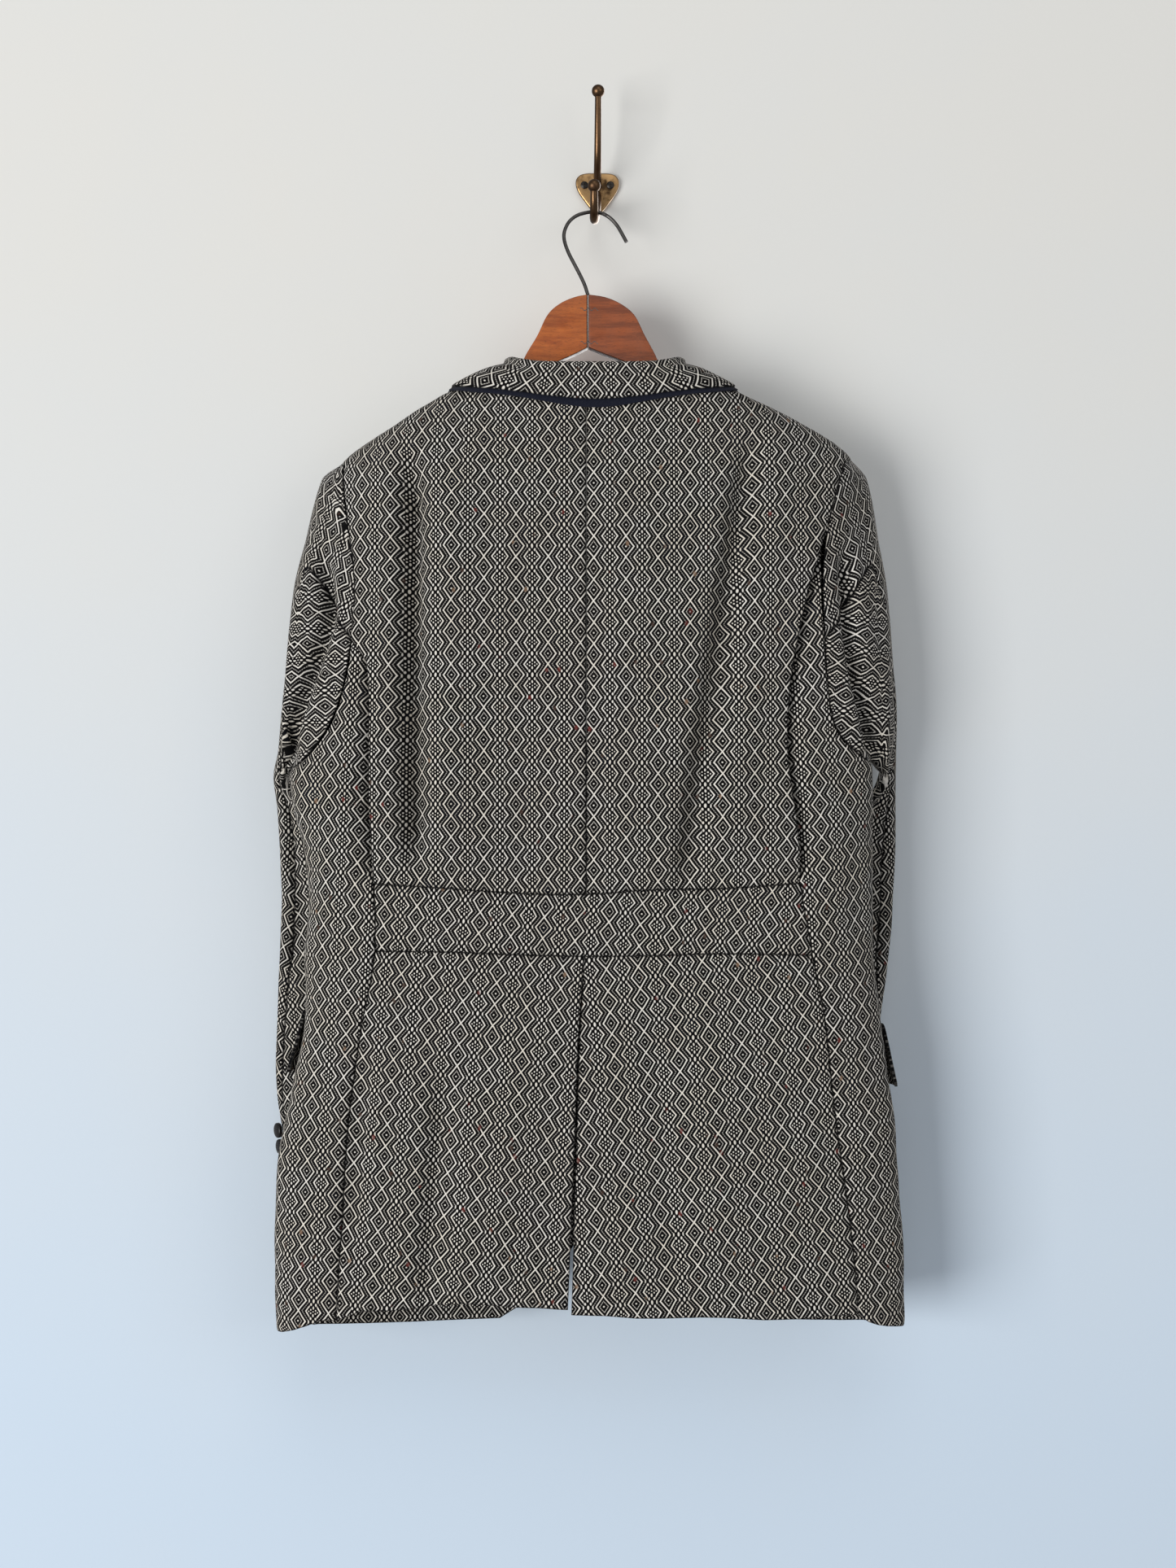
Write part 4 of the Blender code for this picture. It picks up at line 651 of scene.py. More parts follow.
def surface(s, z, out=0.0):
    """Points of the body surface at lengths s and heights z, moved out, and its outward normals."""
    s, z, out = np.broadcast_arrays(*(np.asarray(value, float) for value in (s, z, out)))
    shape = s.shape
    s, z, out = s.ravel(), z.ravel(), out.ravel()
    x, deep = section_point(s, z)
    normal, _ = body_slope(x, deep, z)
    point = np.stack([x, -deep, z], axis=1) + normal * (out + fold_height(s, z))[:, None]
    return point.reshape(*shape, 3), normal.reshape(*shape, 3)


def patch(foot, top, first, last):
    """A grid of places between four edges, each a row of (s, z); first and last run from foot to top."""
    foot, top, first, last = (np.asarray(edge, float) for edge in (foot, top, first, last))
    f = np.linspace(0, 1, len(foot))[None, :, None]
    r = np.linspace(0, 1, len(first))[:, None, None]
    sides = (1 - f) * first[:, None] + f * last[:, None]
    ends = (1 - r) * foot[None] + r * top[None]
    corners = (1 - r) * ((1 - f) * foot[0] + f * foot[-1]) + r * ((1 - f) * top[0] + f * top[-1])
    return sides + ends - corners


def evened(places):
    """The same edges round a grid whose inner rows and columns are drawn apart where they bunch."""
    grid = places.copy()
    for _ in range(EVENING_ROUNDS):
        left, right, under, over = grid[1:-1, :-2], grid[1:-1, 2:], grid[:-2, 1:-1], grid[2:, 1:-1]
        across, up = (right - left) / 2, (over - under) / 2
        cross = (grid[2:, 2:] - grid[2:, :-2] - grid[:-2, 2:] + grid[:-2, :-2]) / 4
        width = (across**2).sum(axis=2)[..., None]
        height = (up**2).sum(axis=2)[..., None]
        skew = (across * up).sum(axis=2)[..., None]
        moved = height * (left + right) + width * (under + over) - 2 * skew * cross
        grid[1:-1, 1:-1] = moved / (2 * (width + height))
    return grid


def sign_of(side):
    return -1 if side == "left" else 1


def armhole(side, out=0.0):
    """Places of the armhole's steps, round from the shoulder; out is toward the body."""
    right = side == "right"
    sign = sign_of(side)
    shoulder, underarm = SHOULDER_POINT[side] * MM, UNDERARM_POINT[side] * MM
    back = np.array(ARMHOLE_BACK[side]) * MM
    front = np.array(ARMHOLE_FRONT[side]) * MM
    places = [(sign * side_length(shoulder, right)[0], shoulder)]
    places += list(zip(length_at(back[:, 0], back[:, 1]), back[:, 1]))
    places += [(sign * side_length(underarm, right)[0], underarm)]
    places += list(zip(length_at(front[:, 0], front[:, 1], front=True), front[:, 1]))
    places = np.array(places)
    ahead = np.roll(places, -1, axis=0) - np.roll(places, 1, axis=0)
    away = unit(np.stack([ahead[:, 1], -ahead[:, 0]], axis=1))
    centre = places.mean(axis=0)
    facing = np.sign(((places - centre) * away).sum(axis=1))
    return places + away * facing[:, None] * out


def hem_height(s):
    known, z = np.array(HEM, float).T * MM
    return smooth(known, z, s)


def hem_between(first, last, count):
    """Places along the hem between two places on it."""
    s = np.linspace(first[0], last[0], count)
    hem = np.stack([s, hem_height(s)], axis=1)
    hem[0], hem[-1] = first, last
    return hem


def places_along_back(points, heights, shift=0.0):
    """Places of a seam on the back at the heights, moved round the coat by a length."""
    x = line_at(points, heights)
    return np.stack([length_at(x, heights) + shift, heights], axis=1)


def edge_between(s_start, s_end, cols, cut):
    """Places along a cut edge between two lengths round the back."""
    s = np.linspace(s_start, s_end, cols)
    middle = height_at(cut, MIDDLE_X)
    x = surface(s, np.full(cols, middle))[0][:, 0]
    return np.stack([s, height_at(cut, x)], axis=1)


def closing_steps(start, end, count):
    """Heights from start to end whose spacing shrinks toward the end."""
    left = 1 - np.linspace(0, 1, count)
    return end + (start - end) * left**1.6


def seam_heights(side):
    """Heights at which the side seam's pieces share their points, from the hem to the belt's foot."""
    sign = sign_of(side)
    return np.linspace(hem_height(sign * 226 * MM), SEAM_BELT_FOOT[side], SKIRT_ROWS)


def pleat_heights(side):
    """Heights at which the back and the side body share their points, up from the belt's top."""
    return np.linspace(SEAM_BELT_TOP[side], armhole(side)[PLEAT_TOP_STEP[side], 1], PLEAT_ROWS)


def front_seam(side):
    """Places of the seam between the side body and the front, from the hem to the armhole."""
    hole = armhole(side)[FRONT_SEAM_STEP]
    heights = np.linspace(hem_height(sign_of(side) * 335 * MM), hole[1], FRONT_SEAM_ROWS)
    free = sign_of(side) * (side_length(heights, side == "right") + FRONT_SEAM_PAST_SIDE)
    near_top = step_up(heights, heights[-1] - 110 * MM, heights[-1])
    return np.stack([free * (1 - near_top) + hole[0] * near_top, heights], axis=1)


def beside_pleat(places, side):
    """Distance round from an action pleat's edge: positive past it, toward the front."""
    s, z = places[..., 0], places[..., 1]
    edge = length_at(line_at(PLEAT_EDGE[side], z.ravel()), z.ravel()).reshape(z.shape)
    return np.abs(s) - np.abs(edge)


def along_pleat(side, z, foot_fade, top_fade):
    """1 along an action pleat, fading at its foot and its top between two distances in mm from each end."""
    top, foot = PLEAT_EDGE[side][0][1], PLEAT_EDGE[side][-1][1]
    start = step_up(z, (foot + foot_fade[0]) * MM, (foot + foot_fade[1]) * MM)
    return start * (1 - step_up(z, (top - top_fade[0]) * MM, (top - top_fade[1]) * MM))


def pleat_lift(places, side):
    """How far the back stands proud of the side body along its action pleat."""
    near = 1 - step_up(-beside_pleat(places, side), 0, 40 * MM)
    return PLEAT_STANDS * near * along_pleat(side, places[..., 1], (4, 45), (45, 2))


def ridge_places(side, x, shift):
    """Places on the shoulder seam, at distances across, moved back or forward from the seam."""
    right = side == "right"
    z = ridge_height(side, x)
    length = side_length(z, right)
    return np.stack([sign_of(side) * (length + shift), z], axis=1)


def ridge_height(side, x):
    """Height of the shoulder seam at a distance along X."""
    heights = np.linspace(SECTION["height"][0], -262 * MM, 120)
    across = smooth(SECTION["height"], SECTION[side], heights)
    order = np.argsort(across)
    return np.interp(x, across[order], heights[order])


def shoulder_ends(side):
    """Distances along X of the shoulder seam's ends at the neck and at the sleeve."""
    neck = NECK_EDGE[0 if side == "left" else -1][0] * MM
    return neck, smooth(SECTION["height"], SECTION[side], SHOULDER_POINT[side] * MM)


def top_edge(side, cols, neck_cols, shoulder_end):
    """The back's top edge: the neck from the centre seam, then the shoulder seam."""
    sign = sign_of(side)
    neck_end, end_x = shoulder_ends(side)
    neck_x = np.linspace(MIDDLE_X + sign * HALF_GAP, neck_end, neck_cols)[:-1]
    neck_z = height_at(NECK_EDGE, neck_x) - HALF_GAP
    neck = np.stack([length_at(neck_x, neck_z), neck_z], axis=1)
    neck[0, 0] = sign * HALF_GAP
    ridge_x = np.linspace(neck_end, end_x, cols - neck_cols + 1)
    ridge = ridge_places(side, ridge_x, -HALF_GAP)
    ridge[-1] = shoulder_end
    return np.concatenate([neck, ridge])


def pleat_underlap(side, z):
    """How far the side body reaches under the back's folded edge."""
    return PLEAT_REACH * along_pleat(side, z, (24, 40), (60, 34))


def side_lift(places, side):
    """The side body sinks under the back, with a steeper hollow right beside the folded edge."""
    past = beside_pleat(places, side)
    near = 1 - step_up(past, 1 * MM, 24 * MM)
    beside = np.exp(-np.clip(past, 0, None) / PLEAT_HOLLOW_WIDTH)
    open_part = along_pleat(side, places[..., 1], (2, 22), (30, 8))
    return -((CLOTH + LAYER_GAP) * near + PLEAT_HOLLOW * beside) * open_part


def front_length(side, x, z):
    """Length round to places at x on the front; past its middle it grows by the distance."""
    sign = sign_of(side)
    past = (MIDDLE_X - x) * sign
    own_x = np.where(past > 0, MIDDLE_X + sign * WELD, x)
    on_side = np.abs(length_at(own_x.ravel(), z.ravel(), front=True)).reshape(x.shape)
    total = girth(z.ravel(), side == "right").reshape(x.shape)
    return sign * np.where(past > 0, total + past, on_side)


def front_line(points, side, heights):
    """Length round, on the front, to a line given from the fronts' middle toward its own side."""
    across, z = np.array(points, float).T * MM
    return front_length(side, FRONT_MIDDLE_X + sign_of(side) * smooth(z, across, heights), heights)


def front_patch(side, foot, top, first, last):
    """A patch between edges on the front, worked out along X so that it stays even at the shoulder."""
    edges = []
    for edge in (foot, top, first, last):
        x, _ = section_point(edge[:, 0], edge[:, 1])
        edges.append(np.stack([x, edge[:, 1]], axis=1))
    grid = patch(*edges)
    places = np.stack([front_length(side, grid[..., 0], grid[..., 1]), grid[..., 1]], axis=2)
    places[0], places[-1], places[:, 0], places[:, -1] = foot, top, first, last
    return places


def front_places(side):
    """The grid of places of a front: from its side seam and armhole to its edge and roll line."""
    sign = sign_of(side)
    hole = armhole(side, HALF_GAP)
    hole = np.concatenate([hole[FRONT_SEAM_STEP:], hole[:1]])
    hole[0, 0] += sign * HALF_GAP
    hole[-1, 0] += sign * HALF_GAP
    seam = front_seam(side)[:-1] + (sign * HALF_GAP, 0)
    outer_edge = np.concatenate([seam, hole])
    edge_rows = 18
    edge_z = np.linspace(FRONT_EDGE[-1][1] * MM, BREAK_HEIGHT, edge_rows)
    roll_z = closing_steps(BREAK_HEIGHT, NECK_POINT * MM, len(outer_edge) - edge_rows + 1)[1:]
    edge = np.stack([front_line(FRONT_EDGE, side, edge_z), edge_z], axis=1)
    roll = np.stack([front_line(ROLL_LINE, side, roll_z), roll_z], axis=1)
    inner_edge = np.concatenate([edge, roll])
    cols = 8
    neck_x, shoulder_x = shoulder_ends(side)
    top = ridge_places(side, np.linspace(shoulder_x, neck_x, cols), HALF_GAP)
    top[0] = outer_edge[-1]
    inner_edge[-1] = top[-1]
    foot = hem_between(outer_edge[0], inner_edge[0], cols)
    return evened(front_patch(side, foot, top, outer_edge, inner_edge))


def front_lift(places, side):
    """How far the left front stands off where it laps over the right one and the right lapel's end."""
    s, z = places[..., 0], places[..., 1]
    if side == "right":
        return np.zeros(s.shape)
    total = girth(z.ravel(), False).reshape(z.shape)
    layers = 1 + step_up(z, *LAPEL_UNDER_LAP[:2]) * (1 - step_up(z, *LAPEL_UNDER_LAP[2:]))
    return (CLOTH + LAYER_GAP) * layers * step_up(np.abs(s), total - LAP_BAND[0], total - LAP_BAND[1])


def lapel_lift(places, side):
    """A lapel lies on its front."""
    return front_lift(places, side) + CLOTH + LAPEL_GAP


def sleeve_loop(side):
    """The armhole's points and normals on the sleeve's side of the seam, and the way into the sleeve."""
    places = armhole(side, -1.5 * SEAM_GAP)
    point, normal = surface(places[:, 0], places[:, 1])
    inside = armhole(side, -8 * MM)
    ahead = surface(inside[:, 0], inside[:, 1])[0] - point
    return point, normal, unit(ahead)


def sleeve_rings(side):
    """Points of the sleeve, ring by ring from the armhole to the cuff, and their outward normals."""
    column = columns_of(SLEEVE_RINGS[side], SLEEVE_COLUMNS)
    turn = np.linspace(0, 2 * math.pi, ARMHOLE_STEPS, endpoint=False)
    along = np.sign(np.cos(turn)) * np.abs(np.cos(turn)) ** (2 / SLEEVE_ROUNDING)
    across = np.sign(np.sin(turn)) * np.abs(np.sin(turn)) ** (2 / SLEEVE_ROUNDING)
    rings = []
    for row in range(len(column["half"])):
        outer = np.array([column["out_x"][row], -column["out_d"][row], column["out_z"][row]])
        inner = np.array([column["in_x"][row], -column["in_d"][row], column["in_z"][row]])
        half = (outer - inner) / 2
        reach = unit(half)
        out = unit(np.array([0, -1, 0]) + reach[1] * reach)
        middle = (outer + inner) / 2
        rings.append(middle + along[:, None] * half + across[:, None] * out * column["half"][row])
    point, loop_normal, ahead = sleeve_loop(side)
    first = rings[0]
    apart = np.linalg.norm(first - point, axis=1)[:, None]
    onward = rings[1] - rings[0]
    onward = onward / np.maximum(np.linalg.norm(onward, axis=1)[:, None], 1 * MM) * apart
    between = [curve_at(f, point, ahead * apart, first, onward) for f in CAP_SHARES]
    rings = np.array(between + rings)
    normal = ring_normals(rings, side)
    normal[0] = loop_normal
    normal[1] = unit(normal[1] + loop_normal)
    return rings, normal


def ring_normals(rings, side):
    around = np.roll(rings, -1, axis=1) - np.roll(rings, 1, axis=1)
    down = np.gradient(rings, axis=0)
    return unit(np.cross(around, down) * sign_of(side))


def sleeve_fold(points, normals, side):
    """How far the folds move the side of a sleeve that faces the room."""
    x, z = points[..., 0], points[..., 2]
    total = np.zeros(x.shape)
    for route, left_half, right_half, depth in SLEEVE_FOLDS[side]:
        path_x, path_z = np.array(route[::-1], float).T * MM
        apart = x - smooth(path_z, path_x, z.ravel()).reshape(z.shape)
        half = np.where(apart < 0, left_half, right_half) * MM
        ends = step_up(z, path_z[0] - 8 * MM, path_z[0] + 10 * MM)
        ends = ends * (1 - step_up(z, path_z[-1] - 30 * MM, path_z[-1] + 10 * MM))
        total -= depth * MM * ends * np.exp(-((apart / half) ** 2))
    return total * step_up(-normals[..., 1], 0.05, 0.6)


def collar_rows(side):
    """The collar's neck, fold and outer-edge points from the middle of the back to its end."""
    sign = sign_of(side)
    column = columns_of(COLLAR_ROWS, COLLAR_COLUMNS)
    known = np.arange(len(COLLAR_ROWS))
    fine = np.linspace(0, known[-1], COLLAR_STEPS)
    edge_x = COLLAR_MIDDLE_X + sign * column["edge_x"]
    edge_z = column["edge_z"]
    on_front = sign * np.abs(length_at(edge_x, edge_z, front=True))
    edge_s = np.where(known < COLLAR_RIDGE_ROW, length_at(edge_x, edge_z), on_front)
    edge_s[COLLAR_RIDGE_ROW] = sign * side_length(edge_z[COLLAR_RIDGE_ROW], side == "right")[0]
    value = {name: smooth(known, column[name], fine) for name in COLLAR_COLUMNS}
    neck = np.stack([COLLAR_MIDDLE_X + sign * value["neck_x"], -value["neck_d"], value["neck_z"]], axis=1)
    fold = np.stack([COLLAR_MIDDLE_X + sign * value["fold_x"], -value["fold_d"], value["fold_z"]], axis=1)
    edge = surface(smooth(known, edge_s, fine), value["edge_z"], COLLAR_LIFT)[0]
    return neck, fold, edge, value["roll"][:, None]


def collar_grid():
    """Points of the collar's outer face: along its length, and from the neck seam over the fold."""
    halves = zip(collar_rows("left"), collar_rows("right"))
    neck, fold, edge, roll = (np.concatenate([left[::-1], right[1:]]) for left, right in halves)
    run = np.gradient(fold, axis=0)
    round_neck = step_up(-fold[:, 1], 50 * MM, 80 * MM)
    sideways = np.stack([run[:, 1], -run[:, 0] * round_neck, 0 * round_neck], axis=1)
    up = unit(np.cross(sideways, run))
    outward = unit(np.cross(run, up))
    profile = [neck]
    for degrees in (185, 140, 90, 40, 0):
        turn = math.radians(degrees)
        profile.append(fold - up * roll + (outward * math.cos(turn) + up * math.sin(turn)) * roll)
    foot_of_fold = profile[-1]
    for f in (0.3, 0.65):
        profile.append(kept_off(foot_of_fold * (1 - f) + edge * f + outward * 0.8 * MM, COLLAR_LIFT))
    profile.append(edge)
    return np.array(profile).transpose(1, 0, 2)


def row_at(wanted, known, rows):
    """The row at a wanted place, on straight lines between the known ones."""
    return np.array([np.interp(wanted, known, column) for column in rows.T])


def grid_normals(points):
    around = np.gradient(points, axis=0)
    down = np.gradient(points, axis=1)
    return unit(np.cross(down, around))


def eased(values, places, closed=False):
    """Values between the rows of an array, on soft curves through them."""
    count = len(values)
    before = np.floor(places).astype(int)
    f = (places - before).reshape(-1, *([1] * (values.ndim - 1)))

    def row(shift):
        index = before + shift
        return values[index % count if closed else np.clip(index, 0, count - 1)]

    a, b, c, d = row(-1), row(0), row(1), row(2)
    return b + 0.5 * f * (c - a + f * (2 * a - 5 * b + 4 * c - d + f * (3 * (b - c) + d - a)))


def divisions(lengths, step):
    """Places between an array's rows, about a step apart and closer at both ends, that keep the rows."""
    places = [0.0]
    for index, length in enumerate(lengths):
        count = max(1, round(length / step))
        places.extend(index + np.arange(1, count + 1) / count)
    first, last = places[1], places[-1] - places[-2]
    near_ends = [0.3 * first, 0.62 * first, places[-1] - 0.62 * last, places[-1] - 0.3 * last]
    return np.sort(places + near_ends)


def spacing(grid, axis):
    """The mean distance between neighbouring rows or columns of a grid."""
    return np.linalg.norm(np.diff(grid, axis=axis), axis=2).mean(axis=1 - axis)


def straight(values, places):
    """Values between the rows of an array, on straight lines."""
    before = np.clip(places.astype(int), 0, len(values) - 2)
    f = (places - before).reshape(-1, *([1] * (values.ndim - 1)))
    return values[before] * (1 - f) + values[before + 1] * f


def refined(grid, step=STEP):
    """A grid of places with its cells divided until they are about a step across."""
    rows, cols = divisions(spacing(grid, 0), step), divisions(spacing(grid, 1), step)
    return straight(straight(grid, rows).transpose(1, 0, 2), cols).transpose(1, 0, 2)


def grid_lengths(grid):
    """Distance of each point from its grid's foot, top, first and last edges, along the grid."""
    down = np.linalg.norm(np.diff(grid, axis=0), axis=2)
    across = np.linalg.norm(np.diff(grid, axis=1), axis=2)
    down = np.concatenate([np.zeros((1, grid.shape[1])), np.cumsum(down, axis=0)])
    across = np.concatenate([np.zeros((grid.shape[0], 1)), np.cumsum(across, axis=1)], axis=1)
    return down, down[-1] - down, across, across[:, -1:] - across


def edge_dip(grid, depths, width):
    """How far the cloth turns in at its foot, top, first and last edges."""
    total = 0
    for distance, depth in zip(grid_lengths(grid), depths):
        total = total + depth * SEAM_DEEPER * MM * np.exp(-distance / width)
    return total


def unevenness(s, z):
    """The slight waves of cloth that hangs."""
    total = 0
    for along_turns, up_turns, phase, depth in UNEVEN:
        total = total + depth * MM * np.sin(2 * math.pi * (along_turns * s + up_turns * z) + phase)
    return total


def grain_of(name, s, z):
    """The weave's coordinates on a piece, in metres across and up."""
    lean, first, up = GRAIN[name]
    angle = math.atan(lean)
    s = s - first * MM
    z = z - up * MM
    across = s * math.cos(angle) + z * math.sin(angle)
    height = z * math.cos(angle) - s * math.sin(angle)
    return np.stack([across, height], axis=-1)


def sleeve_weave(points, normals, side):
    """The weave's coordinates on a sleeve: it is laid flat, and turned to follow its grain line."""
    line_x, line_z = np.array(SLEEVE_GRAIN[side][::-1], float).T * MM
    x, z = points[..., 0], points[..., 2]

    def line_at_height(height):
        near = smooth(line_z, line_x, height.ravel()).reshape(z.shape)
        above = smooth(line_z, line_x, (height + MM).ravel()).reshape(z.shape)
        return near, (above - near) / MM

    near, lean = line_at_height(z)
    foot = z + (x - near) * lean / (1 + lean**2)
    near, lean = line_at_height(foot)
    stretch = np.sqrt(1 + lean**2)
    across = (x - near) * stretch
    fine = np.linspace(z.min() - 0.1, z.max() + 0.1, 400)
    run = np.gradient(smooth(line_z, line_x, fine), fine)
    length = np.concatenate([[0], np.cumsum(np.sqrt(1 + run[1:] ** 2) * np.diff(fine))])
    up = np.interp(foot, fine, length)
    return laid_flat(points, np.stack([across, up], axis=-1), normals[..., 1] < FACES_ROOM)


def laid_flat(points, wanted, trusted):
    """A grid laid flat by springs between its neighbours, and turned to lie like the wanted places."""
    lengths = [np.append(0, np.cumsum(spacing(points, axis))) for axis in (1, 0)]
    flat = np.stack(np.meshgrid(*lengths), axis=-1)
    for stride, rounds in FLAT_STEPS:
        kept = [np.unique(np.linspace(0, n - 1, n // stride + 2).astype(int)) for n in points.shape[:2]]
        before = flat[np.ix_(*kept)]
        moved = relaxed(points[np.ix_(*kept)], before.copy(), rounds) - before
        rows, cols = (np.interp(np.arange(n), k, np.arange(len(k))) for n, k in zip(points.shape, kept))
        flat = flat + straight(straight(moved, rows).transpose(1, 0, 2), cols).transpose(1, 0, 2)
    middle, goal = flat[trusted].mean(axis=0), wanted[trusted].mean(axis=0)
    left, _, right = np.linalg.svd((flat[trusted] - middle).T @ (wanted[trusted] - goal))
    return (flat - middle) @ (left @ right) + goal


def relaxed(points, flat, rounds):
    """Places in a plane moved until neighbours are about as far apart as the points are."""
    pairs = []
    count = np.zeros(flat.shape)
    for first, second in NEIGHBOURS:
        pairs.append((first, second, np.linalg.norm(points[first] - points[second], axis=2)[..., None]))
        count[first] += 1
        count[second] += 1
    for _ in range(rounds):
        move = np.zeros(flat.shape)
        for first, second, apart in pairs:
            gap = flat[second] - flat[first]
            length = np.maximum(np.linalg.norm(gap, axis=2)[..., None], LEAST_GAP)
            push = gap * (0.5 - 0.5 * apart / length)
            move[first] += push
            move[second] -= push
        flat += move / count * SPRING_SHARE
    return flat


def back_places(side):
    """Half the back above the belt, from the centre seam to the armhole and the pleat's folded edge."""
    sign = sign_of(side)
    cols = 13
    hole = armhole(side, HALF_GAP)[: PLEAT_TOP_STEP[side] + 1][::-1]
    pleat = places_along_back(PLEAT_EDGE[side], pleat_heights(side)[:-1], -sign * HALF_GAP)
    pleat[0, 1] += HALF_GAP
    outer_edge = np.concatenate([pleat, hole])
    outer_edge[-1, 0] -= sign * HALF_GAP
    foot = edge_between(sign * HALF_GAP, outer_edge[0, 0], cols, BELT_TOP) + (0, HALF_GAP)
    foot[-1] = outer_edge[0]
    top = top_edge(side, cols, 7, outer_edge[-1])
    heights = closing_steps(foot[0, 1], top[0, 1], len(outer_edge))
    centre = np.stack([np.full(len(heights), sign * HALF_GAP), heights], axis=1)
    return patch(foot, top, centre, outer_edge)


def belt_places():
    """The sewn-in half belt across the back's waist."""
    cols, rows = 25, 3
    ends = []
    for side in SIDES:
        heights = np.linspace(SEAM_BELT_FOOT[side] + HALF_GAP, SEAM_BELT_TOP[side] - HALF_GAP, rows)
        ends.append(places_along_back(SIDE_SEAM[side], heights, -sign_of(side) * HALF_GAP))
    top = edge_between(ends[0][-1, 0], ends[1][-1, 0], cols, BELT_TOP) - (0, HALF_GAP)
    foot = edge_between(ends[0][0, 0], ends[1][0, 0], cols, BELT_FOOT) + (0, HALF_GAP)
    top[0], top[-1], foot[0], foot[-1] = ends[0][-1], ends[1][-1], ends[0][0], ends[1][0]
    return patch(foot, top, ends[0], ends[1])


def vent_line(side, z):
    """Length round to the vent's edge, at each height."""
    top, foot = height_at(BELT_FOOT, MIDDLE_X), hem_height(sign_of(side) * 14 * MM)
    s = line_at(VENT_EDGE, z) - MIDDLE_X + sign_of(side) * HALF_GAP
    if side == "right":
        s = s + VENT_OPENING * np.clip((top - z) / (top - foot), 0, 1)
    return s


def skirt_places(side):
    """Half the back below the belt, from the centre vent to the side seam."""
    sign = sign_of(side)
    cols = 10
    seam = places_along_back(SIDE_SEAM[side], seam_heights(side), -sign * HALF_GAP)
    seam[-1, 1] -= HALF_GAP
    top_z = height_at(BELT_FOOT, MIDDLE_X) - HALF_GAP
    heights = np.linspace(hem_height(sign * 14 * MM), top_z, SKIRT_ROWS)
    vent_s = vent_line(side, heights)
    centre = np.stack([vent_s, heights], axis=1)
    top = edge_between(vent_s[-1], seam[-1, 0], cols, BELT_FOOT) - (0, HALF_GAP)
    top[0], top[-1] = centre[-1], seam[-1]
    foot = hem_between(centre[0], seam[0], cols)
    return patch(foot, top, centre, seam)


def skirt_lift(places, side):
    """The left skirt stands out at the vent, and the right one lies in."""
    s, z = places[..., 0], places[..., 1]
    near = 1 - step_up(np.abs(s - vent_line(side, z.ravel()).reshape(z.shape)), 0, 30 * MM)
    top_z = height_at(BELT_FOOT, MIDDLE_X)
    return -sign_of(side) * VENT_LIFT * near * (1 - step_up(z, top_z - 40 * MM, top_z))


def side_places(side):
    """The side body: its back edge runs up the side seam, past the belt's end and under the pleat."""
    sign = sign_of(side)
    hole = armhole(side, HALF_GAP)[PLEAT_TOP_STEP[side]: FRONT_SEAM_STEP + 1]
    belt_middle = (SEAM_BELT_TOP[side] + SEAM_BELT_FOOT[side]) / 2
    lower = np.append(seam_heights(side), belt_middle)
    seam = places_along_back(SIDE_SEAM[side], lower, sign * HALF_GAP)
    under = places_along_back(PLEAT_EDGE[side], pleat_heights(side), sign * HALF_GAP)
    under[-1] = hole[0]
    back_edge = np.concatenate([seam, under])
    back_edge[:, 0] -= sign * pleat_underlap(side, back_edge[:, 1])
    front_edge = front_seam(side) - (sign * HALF_GAP, 0)
    front_edge[-1] = hole[-1] - (sign * HALF_GAP, 0)
    foot = hem_between(back_edge[0], front_edge[0], len(hole))
    hole[-1] = front_edge[-1]
    return evened(patch(foot, hole, back_edge, front_edge))


def lapel_places(side):
    """The turned-back lapel, from its foot at the top button to the notch."""
    sign = sign_of(side)
    rows, cols = 11, 5
    known = np.array([point[1] for point in LAPEL_EDGE[::-1]], float) * MM
    outer_z = np.interp(np.linspace(0, 1, rows), np.linspace(0, 1, len(known)), known)
    roll_z = np.linspace(BREAK_HEIGHT, LAPEL_TOP[0][1] * MM, rows)
    outer_edge = np.stack([front_line(LAPEL_EDGE, side, outer_z), outer_z], axis=1)
    roll = np.stack([front_line(ROLL_LINE, side, roll_z) - sign * 1.5 * MM, roll_z], axis=1)
    top_z = np.linspace(LAPEL_TOP[0][1], LAPEL_TOP[-1][1], cols) * MM
    top = np.stack([front_line(LAPEL_TOP, side, top_z), top_z], axis=1)
    top[0], top[-1] = roll[-1], outer_edge[-1]
    foot = roll[0] + np.linspace(0, 1, cols)[:, None] * (outer_edge[0] - roll[0])
    return front_patch(side, foot, top, roll, outer_edge)


def flap_places(side):
    """A pocket flap on the front, from the side toward the middle."""
    rows, cols = 4, 12
    top = FLAP_TOP[side]
    z = np.linspace(top - FLAP_HEIGHT, top, rows)[:, None] + np.zeros((1, cols))
    along_flap = np.linspace(0, 1, cols)[None, :] ** 1.4
    start = side_length(z[:, 0], side == "right")[:, None] + FLAP_START
    s = start + FLAP_LENGTH * along_flap
    corner = 1 - np.linspace(0, 1, rows)[:, None]
    z = z + 9 * MM * corner**2 * step_up(along_flap, 0.85, 1.0)
    return np.stack([sign_of(side) * s, z], axis=2)


def flap_lift(places, side):
    """A flap lies on the front at its top and stands off at its foot."""
    top = FLAP_TOP[side]
    return CLOTH + FLAP_GAP + FLAP_STANDS_OFF * np.clip((top - places[..., 1]) / FLAP_HEIGHT, 0, 1)


def deselect():
    bpy.ops.object.select_all(action="DESELECT")


def make_active(piece):
    """Selects one piece alone and makes it the active one."""
    deselect()
    piece.select_set(True)
    bpy.context.view_layer.objects.active = piece


def applied(piece, kind, **settings):
    """Puts a modifier with these settings on the active piece and applies it."""
    modifier = piece.modifiers.new(kind.capitalize(), kind)
    for name, value in settings.items():
        setattr(modifier, name, value)
    bpy.ops.object.modifier_apply(modifier=modifier.name)


